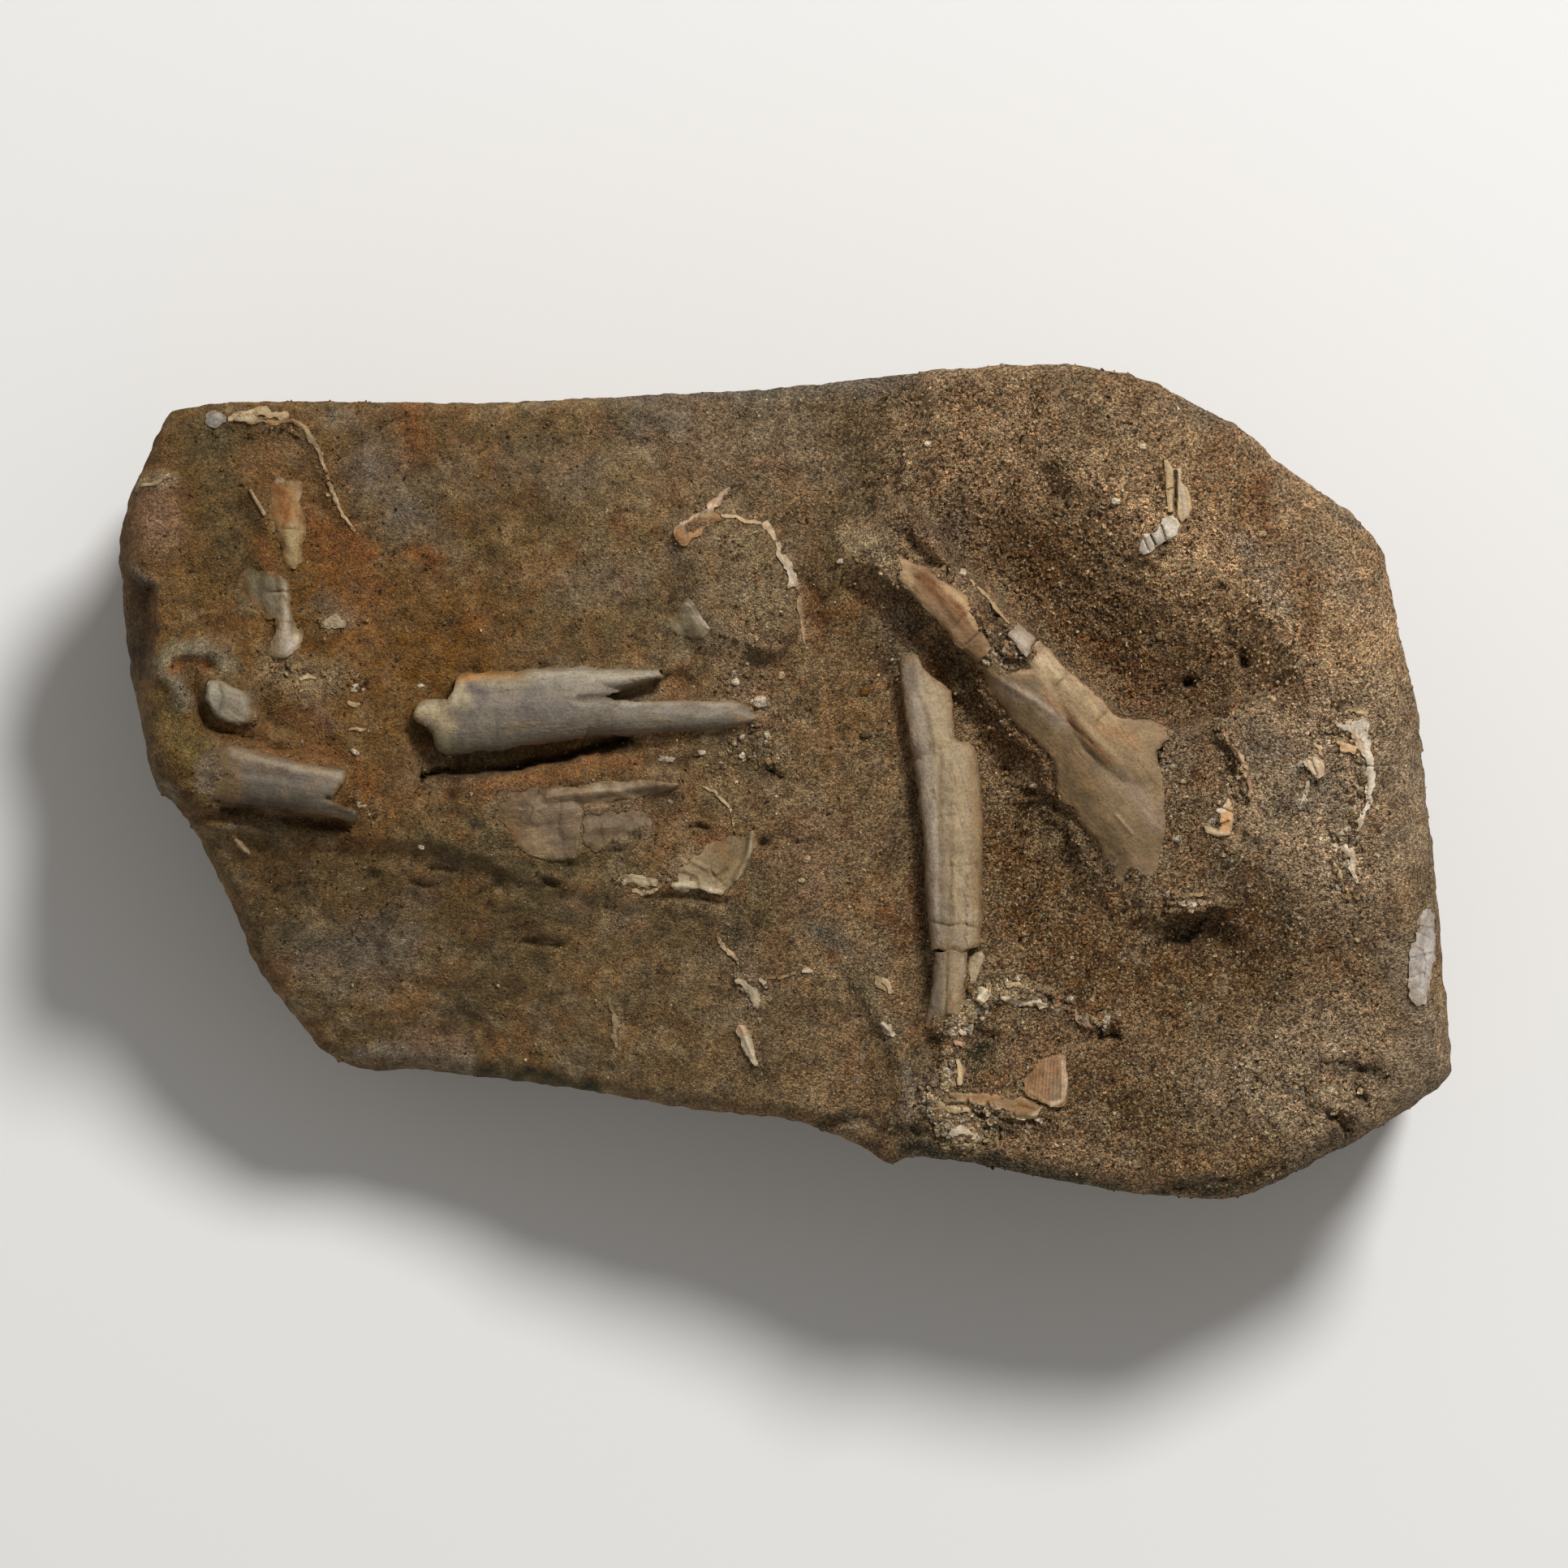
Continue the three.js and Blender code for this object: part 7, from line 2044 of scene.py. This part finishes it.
# Thin edges: name, line, half width, colour, how far they stand out of the rock.
THIN_EDGES = [
    ("neck_edge_upper", [(23, 47), (24.4, 45), (26, 43.2), (27.2, 42), (29, 40.6), (31, 39.4)], 0.3, TAN_FLAKE, 0.8),
    ("neck_edge_lower", [(33.4, 38.4), (35, 36.6), (37.4, 34.6), (38.8, 32.8), (41.4, 29.2)], 0.35, CREAM_FLAKE, 0.8),
    ("arch_low_edge", [(-83, 51.4), (-81, 48.6), (-79.4, 46.5)], 0.35, CREAM_FLAKE, 0.5),
    ("arch_top_band", [(-103.6, 67.2), (-100, 68.2), (-96.6, 68.8), (-92, 67.8)], 0.8, CREAM_FLAKE * 0.9, 0.2),
    ("crescent_middle", [(-11.8, 49.4), (-9, 49.3), (-6.6, 48.5), (-4.6, 48)], 0.35, CREAM_FLAKE, 0.5),
    ("patch_right_edge", [(2, 36), (2.9, 32), (3.4, 28), (3.7, 25.6)], 0.3, tone(176, 142, 108), 0.4),
    ("ring_halo_top", [(103, 13), (105.6, 13.4), (107.6, 12.6)], 0.6, CREAM_FLAKE * 1.1, 0.5),
    ("ring_halo_low", [(101.4, -9.4), (103.6, -9), (105, -8)], 0.6, WHITE_FLAKE, 0.5),
    ("ring_halo_left", [(97.6, 7.4), (99, 6.4), (98.6, 5)], 0.6, CREAM_FLAKE * 1.1, 0.5),
    ("ring_low_tail", [(101, -14), (102.4, -17), (104.4, -20)], 0.5, CREAM_FLAKE, 0.5),
    ("neck_flake", [(32, 40), (33, 39), (34, 38.2)], 0.7, WHITE_FLAKE, 0.6),
    ("shell_sliver", [(-16, 0), (-13, -1.6), (-11.7, -3), (-10, -5), (-9.7, -8)], 0.3, CREAM_FLAKE, 0.5),
    ("shell_foot_flake", [(-30.5, -18), (-28.4, -17.5), (-26, -18.2), (-23.6, -18.8)], 1.0, tone(166, 146, 112), 0.3),
    ("shell_foot_bit", [(-28.6, -20), (-26.4, -20.4), (-24, -19.6)], 0.6, CREAM_FLAKE, 0.4),
    ("ring_thin_edge", [(80.5, 10), (81.5, 8), (83, 6), (84.5, 4), (85.3, 2.6)], 0.5, tone(190, 150, 118), 0.7),
    ("ring_thin_edge_low", [(85.4, 2), (85.8, -1), (85.6, -4)], 0.35, tone(180, 140, 112), 0.6),
    ("ring_top_chip", [(101.4, 7.6), (102.8, 6.6), (104.4, 6.6), (105.6, 6)], 0.9, tone(198, 162, 118), 0.9),
    ("ring_low_bit", [(101, -11.4), (103, -12), (104.6, -13.6)], 0.8, WHITE_FLAKE, 0.7),
    ("ring_low_edge", [(106, -9.6), (104.4, -11.4), (104.8, -15), (106, -19)], 0.5, WHITE_FLAKE, 0.6),
    ("ring_inner_edge", [(96.6, 1), (96, -2), (95, -4.4)], 0.45, WHITE_FLAKE, 0.5),
    ("wedge_chip", [(72.4, -22), (74, -22.7), (76.2, -22.2)], 0.5, WHITE_FLAKE, 0.9),
    ("wedge_edge", [(74.6, -20.8), (77.4, -20.2)], 0.5, TAN_FLAKE, 0.7),
    ("corner_cream_low", [(17.6, -44), (19, -45.4), (20.2, -47)], 0.7, WHITE_FLAKE * 0.9, 0.5),
    ("corner_cream_top", [(17, -36.2), (18.6, -37), (20, -38.6)], 0.8, CREAM_FLAKE, 0.4),
    ("bench_flake_low", [(-81, 15), (-79.4, 14.6), (-78, 15)], 0.5, CREAM_FLAKE * 0.9, 0.3),
    ("low_streak_line", [(-3.3, -36.2), (-0.8, -35.9), (2.4, -35.2)], 0.35, tone(176, 138, 92), 0.4),
    ("low_streak_crumb", [(-9.4, -36.4), (-7.8, -37), (-6.8, -38.4)], 0.8, tone(170, 154, 126), 0.5),
    ("low_streak_bit", [(-4.8, -36.4), (-3.6, -37), (-3.4, -38.2)], 0.6, tone(176, 158, 128), 0.5),
    ("low_streak_upper", [(-13, -28), (-11.6, -29.6), (-10.2, -31.4), (-8.5, -33.5)], 0.4, CREAM_FLAKE, 0.4),
    ("low_streak_middle", [(-8, -37.4), (-6, -38.4), (-5.4, -41.6)], 1.1, tone(176, 158, 128), 0.3),
    ("low_white_chip", [(3, -34.9), (4.2, -34.7), (5.5, -34.9)], 0.5, WHITE_FLAKE * 1.2, 0.7),
    ("bench_line", [(-32.4, -40), (-31.4, -44), (-31.8, -47), (-31.2, -50)], 0.5, tone(142, 122, 90), 0.2),
    ("crumb_ridge_edge", [(31.8, -50.8), (32.6, -53), (32.4, -56)], 0.8, CREAM_FLAKE, 0.9),
    ("crumb_white_flake", [(35.6, -40.6), (36.4, -39), (37.6, -37.8)], 0.9, WHITE_FLAKE * 1.15, 0.9),
    ("crumb_cream_flake", [(39.6, -39.4), (43, -40.4), (46, -40.2), (49, -41)], 0.8, WHITE_FLAKE, 0.7),
    ("crumb_upper_flake", [(41, -37), (44.4, -37.6)], 0.8, CREAM_FLAKE, 0.5),
    ("crumb_low_flake", [(30.4, -65.4), (32.4, -64.2), (35, -65.2)], 1.0, WHITE_FLAKE, 0.8),
    ("crumb_low_bit", [(28, -59.4), (31, -60.6), (34.4, -60.6)], 0.8, CREAM_FLAKE, 0.8),
    ("crumb_low_edge", [(31, -66.8), (34.6, -67.2)], 0.7, CREAM_FLAKE, 0.6),
    ("foot_crumb_white", [(32.2, -45.4), (33.4, -46), (35, -46)], 0.8, WHITE_FLAKE * 1.1, 0.9),
    ("foot_crumb_pink", [(31.4, -47.8), (33, -48.4)], 0.8, tone(196, 150, 120), 0.8),
    ("plate_crack_edge", [(53.6, -41.8), (54.6, -43.8), (57, -45.4)], 0.6, tone(176, 140, 110), 0.5),
    ("left_rim_line", [(-119.6, 55), (-117, 55.4), (-115.2, 56.2), (-113.8, 57)], 0.4, tone(168, 142, 108), 0.4),
    ("hump_chip", [(-102, -10.2), (-100.4, -12), (-98.8, -13.4)], 0.5, CREAM_FLAKE, 0.3),
    ("shaft_crumb", [(-79, -3.6), (-77.6, -4.4)], 0.6, WHITE_FLAKE * 0.8, 0.8),
    ("bench_chip_left", [(-85.6, 29.6), (-83.6, 30.2), (-81.6, 29)], 1.2, tone(160, 140, 108), 0.3),
    ("bench_grain_long", [(-90, 19.2), (-88, 19.6), (-86.6, 19.2)], 0.4, CREAM_FLAKE, 0.4),
    ("bench_thin_line", [(-80.8, 9.9), (-79, 10), (-77.6, 9.8)], 0.3, CREAM_FLAKE, 0.3),
    ("bench_white_chip", [(-21.8, -3.4), (-20, -3.8), (-18.4, -4.4)], 0.5, tone(160, 150, 126), 0.4),
    ("top_white_chip", [(25.8, 63), (26.8, 62.4)], 0.5, WHITE_FLAKE, 0.5),
    ("blade_break_bit", [(37.4, 24.4), (39.2, 23.4)], 0.8, tone(160, 142, 118), 1.0),
    ("blade_break_chip", [(39.6, 21.6), (41.6, 21.2)], 0.6, tone(170, 150, 120), 1.0),
]
for name, line, half_width, colour, lift in THIN_EDGES:
    way_along = math.degrees(math.atan2(line[-1][1] - line[0][1], line[-1][0] - line[0][0]))
    bone(
        name, "cream_bone", strip(line, half_width), colour, lift=0.1 + 0.6 * lift, drape=True, edge=0.2,
        turn=way_along, cell=0.2, nibble=min(0.9, 0.3 + 0.6 * half_width), film=0.5, dust=0.6, hug=1.4,
        stands_for_node=False,
    )

# ---------------------------------------------------------------------------------------------
# Loose grains and crumbs: sand, quartz and specks of bone that the rock sheds. They are scattered
# over its upper face, thick on the coarse right part and thin on the fine left part.
# ---------------------------------------------------------------------------------------------
# Pebbles that lie free on the bench: place, half width, half length, direction, colour.
PEBBLES = [
    (-4.7, 15, 1.2, 1.35, 30, WHITE_FLAKE), (-9.2, 18.7, 0.7, 0.8, 0, WHITE_FLAKE * 1.1),
    (-0.7, 20, 0.65, 0.8, 60, CREAM_FLAKE), (-8, 5.2, 0.6, 0.75, 20, WHITE_FLAKE * 0.9),
    (-22, 4.4, 0.7, 1.5, -8, WHITE_FLAKE * 0.7), (-8, 8.5, 0.5, 0.7, 40, WHITE_FLAKE * 0.9),
    (-9.4, 7.4, 0.5, 0.6, 0, CREAM_FLAKE), (-3.5, 9, 0.55, 0.7, 80, WHITE_FLAKE * 0.8),
    (-15.5, 5.7, 0.5, 0.8, 10, WHITE_FLAKE * 0.7), (-3, 4, 0.6, 0.8, -30, TAN_FLAKE * 0.8),
    (-79.5, 18, 0.45, 0.6, 0, WHITE_FLAKE), (-67.4, 18, 0.4, 0.8, 5, WHITE_FLAKE * 0.9),
    (-79.6, 5.8, 0.5, 0.9, -30, WHITE_FLAKE * 0.8), (-67.4, -11.8, 0.45, 0.7, -30, WHITE_FLAKE * 0.8),
    (10.2, 41, 0.5, 0.7, 0, WHITE_FLAKE * 0.9), (26.3, 62.7, 0.5, 0.7, 0, WHITE_FLAKE),
    (14.6, 17, 0.9, 1.2, 30, BROWN), (16, 12, 0.8, 1.1, 80, TAN_FLAKE * 0.8), (15, 9, 0.7, 1, 0, OLIVE),
    (4, -14, 0.6, 0.8, 30, CREAM_FLAKE), (3, -18, 0.5, 0.7, 0, CREAM_FLAKE), (46, -0.4, 0.6, 1, 0, WHITE_FLAKE),
    (66, 62, 0.6, 0.8, 0, WHITE_FLAKE), (61, 52, 0.6, 0.9, 0, WHITE_FLAKE), (88, 46, 0.6, 0.8, 20, CREAM_FLAKE),
]
bpy.ops.object.select_all(action="DESELECT")
pebbles = []
for number, (px, py, small, large, direction, colour) in enumerate(PEBBLES):
    ground_z = rock_height(np.array([px]), np.array([py]))[0]
    bpy.ops.mesh.primitive_ico_sphere_add(subdivisions=3, radius=1)
    pebble = bpy.context.object
    ball = corners(pebble.data)
    ball *= (1 + 0.3 * noise(*ball.T, 0.9, 80 + number) + 0.12 * noise(*ball.T, 0.4, 90 + number))[:, None]
    turn = math.radians(direction)
    along, across = ball[:, 0] * large, ball[:, 1] * small
    x = px + along * math.cos(turn) - across * math.sin(turn)
    y = py + along * math.sin(turn) + across * math.cos(turn)
    move_corners(pebble.data, np.stack([x, y, ground_z + 0.2 * small + ball[:, 2] * small * 0.8], 1) * MM)
    store_colour(pebble.data, colour * (1 + 0.15 * noise(*ball.T, 0.5, 99))[:, None])
    number_layer(pebble.data, "coarse", np.zeros(len(ball)))
    pebbles.append(pebble)
for pebble in pebbles:
    pebble.select_set(True)
bpy.ops.object.join()
pebble = bpy.context.object
pebble.name = "pebbles"
pebble.data.materials.append(sandstone)
bpy.ops.object.shade_smooth()
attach(pebble, "root")

GRAINS_EACH = 8500
dice = np.random.default_rng(7)


def grain_heap(name, count, spread, small, large, tones, power=2.5, flat=(0.45, 0.8)):
    """Many copies of one rounded grain, each turned, squashed and set half into the rock."""
    chance = spread * ~under_bone
    spots = dice.choice(len(rock_x), count, p=chance / chance.sum())
    bpy.ops.object.select_all(action="DESELECT")
    bpy.ops.mesh.primitive_ico_sphere_add(subdivisions=1, radius=1)
    heap = bpy.context.object
    heap.name = name
    copies = heap.modifiers.new("copies", "ARRAY")
    copies.count = count
    copies.use_relative_offset = False
    bpy.ops.object.modifier_apply(modifier="copies")
    shape = corners(heap.data).reshape(count, -1, 3)
    shape *= dice.uniform(0.7, 1.3, shape.shape[:2])[..., None]
    size = small + (large - small) * dice.random(count) ** power
    shape *= (size[:, None] * dice.uniform([0.8, 0.6, flat[0]], [1.4, 1, flat[1]], (count, 3)))[:, None]
    turn = dice.uniform(0, math.tau, count)[:, None]
    tip = dice.normal(0, 0.5, count)[:, None]
    gx, gy, gz = shape[..., 0], shape[..., 1], shape[..., 2]
    gx, gz = gx * np.cos(tip) + gz * np.sin(tip), gz * np.cos(tip) - gx * np.sin(tip)
    gx, gy = gx * np.cos(turn) - gy * np.sin(turn), gx * np.sin(turn) + gy * np.cos(turn)
    shift = dice.uniform(-0.3, 0.3, (3, count, 1)) * [[[1]], [[1]], [[0.2]]]
    middle = corners(rock.data)[spots].T[..., None] / MM
    pull = 1 - 0.35 / np.hypot(middle[0], middle[1]).clip(1)
    x, y = (middle[0] * pull + shift[0] + gx), (middle[1] * pull + shift[1] + gy)
    z = np.minimum(middle[2] + shift[2] + gz, cad_high.z / MM - 0.01)
    move_corners(heap.data, np.stack([x, y, z.clip(0.02)], 2).reshape(-1, 3) * MM)
    colour = painted[spots] * dice.uniform(0.75, 1.6, count)[:, None]
    kinds = dice.random(count)
    for kind, (grain_tone, share) in enumerate(tones):
        chosen = (kinds > kind * 0.2) & (kinds < kind * 0.2 + share)
        colour[chosen] = grain_tone * dice.uniform(0.7, 1.1, chosen.sum())[:, None]
    store_colour(heap.data, np.repeat(colour, shape.shape[1], 0))
    number_layer(heap.data, "coarse", np.full(len(heap.data.vertices), 0.5))
    heap.data.materials.append(sandstone)
    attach(heap, "root")


on_face = ~rock_on_flank
gritty = on_face * (0.03 + coarse**2)
light_and_dark = [(QUARTZ, 0.14), (UMBER, 0.05), (OCHRE, 0.1)]
grain_heap("sand_grains_upper", GRAINS_EACH, gritty * (rock_y > 12), 0.16, 0.5, light_and_dark)
grain_heap("sand_grains_lower", GRAINS_EACH, gritty * (rock_y <= 12), 0.16, 0.5, light_and_dark)
grain_heap("fine_sand_grains", 8000, on_face * (1.05 - coarse), 0.14, 0.42, [(CREAM, 0.05), (UMBER, 0.06)])
crumb_tones = [(CREAM_FLAKE, 0.16), (WHITE_FLAKE, 0.08), (TAN_FLAKE, 0.16), (tone(176, 124, 82), 0.03)]
grain_heap("bone_crumbs", 5600, on_face * crumbled**1.5, 0.16, 0.8, crumb_tones, 3.5)
flake_tones = [(WHITE_FLAKE, 0.2), (CREAM_FLAKE * 1.1, 0.2), (WHITE_FLAKE * 0.9, 0.2), (TAN_FLAKE, 0.1)]
grain_heap("bone_flakes", 420, on_face * crumbled**2 * (coarse > 0.5), 0.5, 1.3, flake_tones, 2.5, (0.15, 0.3))
store_colour(rock.data, painted)

# ---------------------------------------------------------------------------------------------
# Table, light and camera: a pale table under soft light from the far right, seen from above.
# ---------------------------------------------------------------------------------------------
bpy.ops.object.select_all(action="DESELECT")
bpy.ops.mesh.primitive_plane_add(size=6)
table = bpy.context.object
table.name = "table"
pale, pale_surface, _, _ = new_material("pale_table", 0.8)
pale_surface.inputs["Base Color"].default_value = (0.78, 0.77, 0.75, 1)
table.data.materials.append(pale)

bpy.ops.object.light_add(type="AREA", location=(0.75, 1.28, 1.65))
key_light = bpy.context.object
key_light.data.shape = "DISK"
key_light.data.size = 0.55
key_light.data.energy = 50
key_light.rotation_euler = (-key_light.location).to_track_quat("-Z", "Y").to_euler()
world = bpy.data.worlds.new("studio")
world.use_nodes = True
world.node_tree.nodes["Background"].inputs["Color"].default_value = (1, 0.98, 0.95, 1)
world.node_tree.nodes["Background"].inputs["Strength"].default_value = 0.3
bpy.context.scene.world = world

CAMERA_HEIGHT = 3.0  # above the bones, in metres
VIEW_WIDTH = 0.2898  # what the camera takes in at the bones, in metres
bpy.ops.object.camera_add(location=(-0.00022, -0.00015, 0.06 + CAMERA_HEIGHT), rotation=(0, 0, 0))
camera = bpy.context.object
camera.data.sensor_width = 36
camera.data.lens = camera.data.sensor_width * CAMERA_HEIGHT / VIEW_WIDTH
camera.data.clip_end = 20
bpy.context.scene.camera = camera
bpy.context.scene.view_settings.view_transform = "Standard"
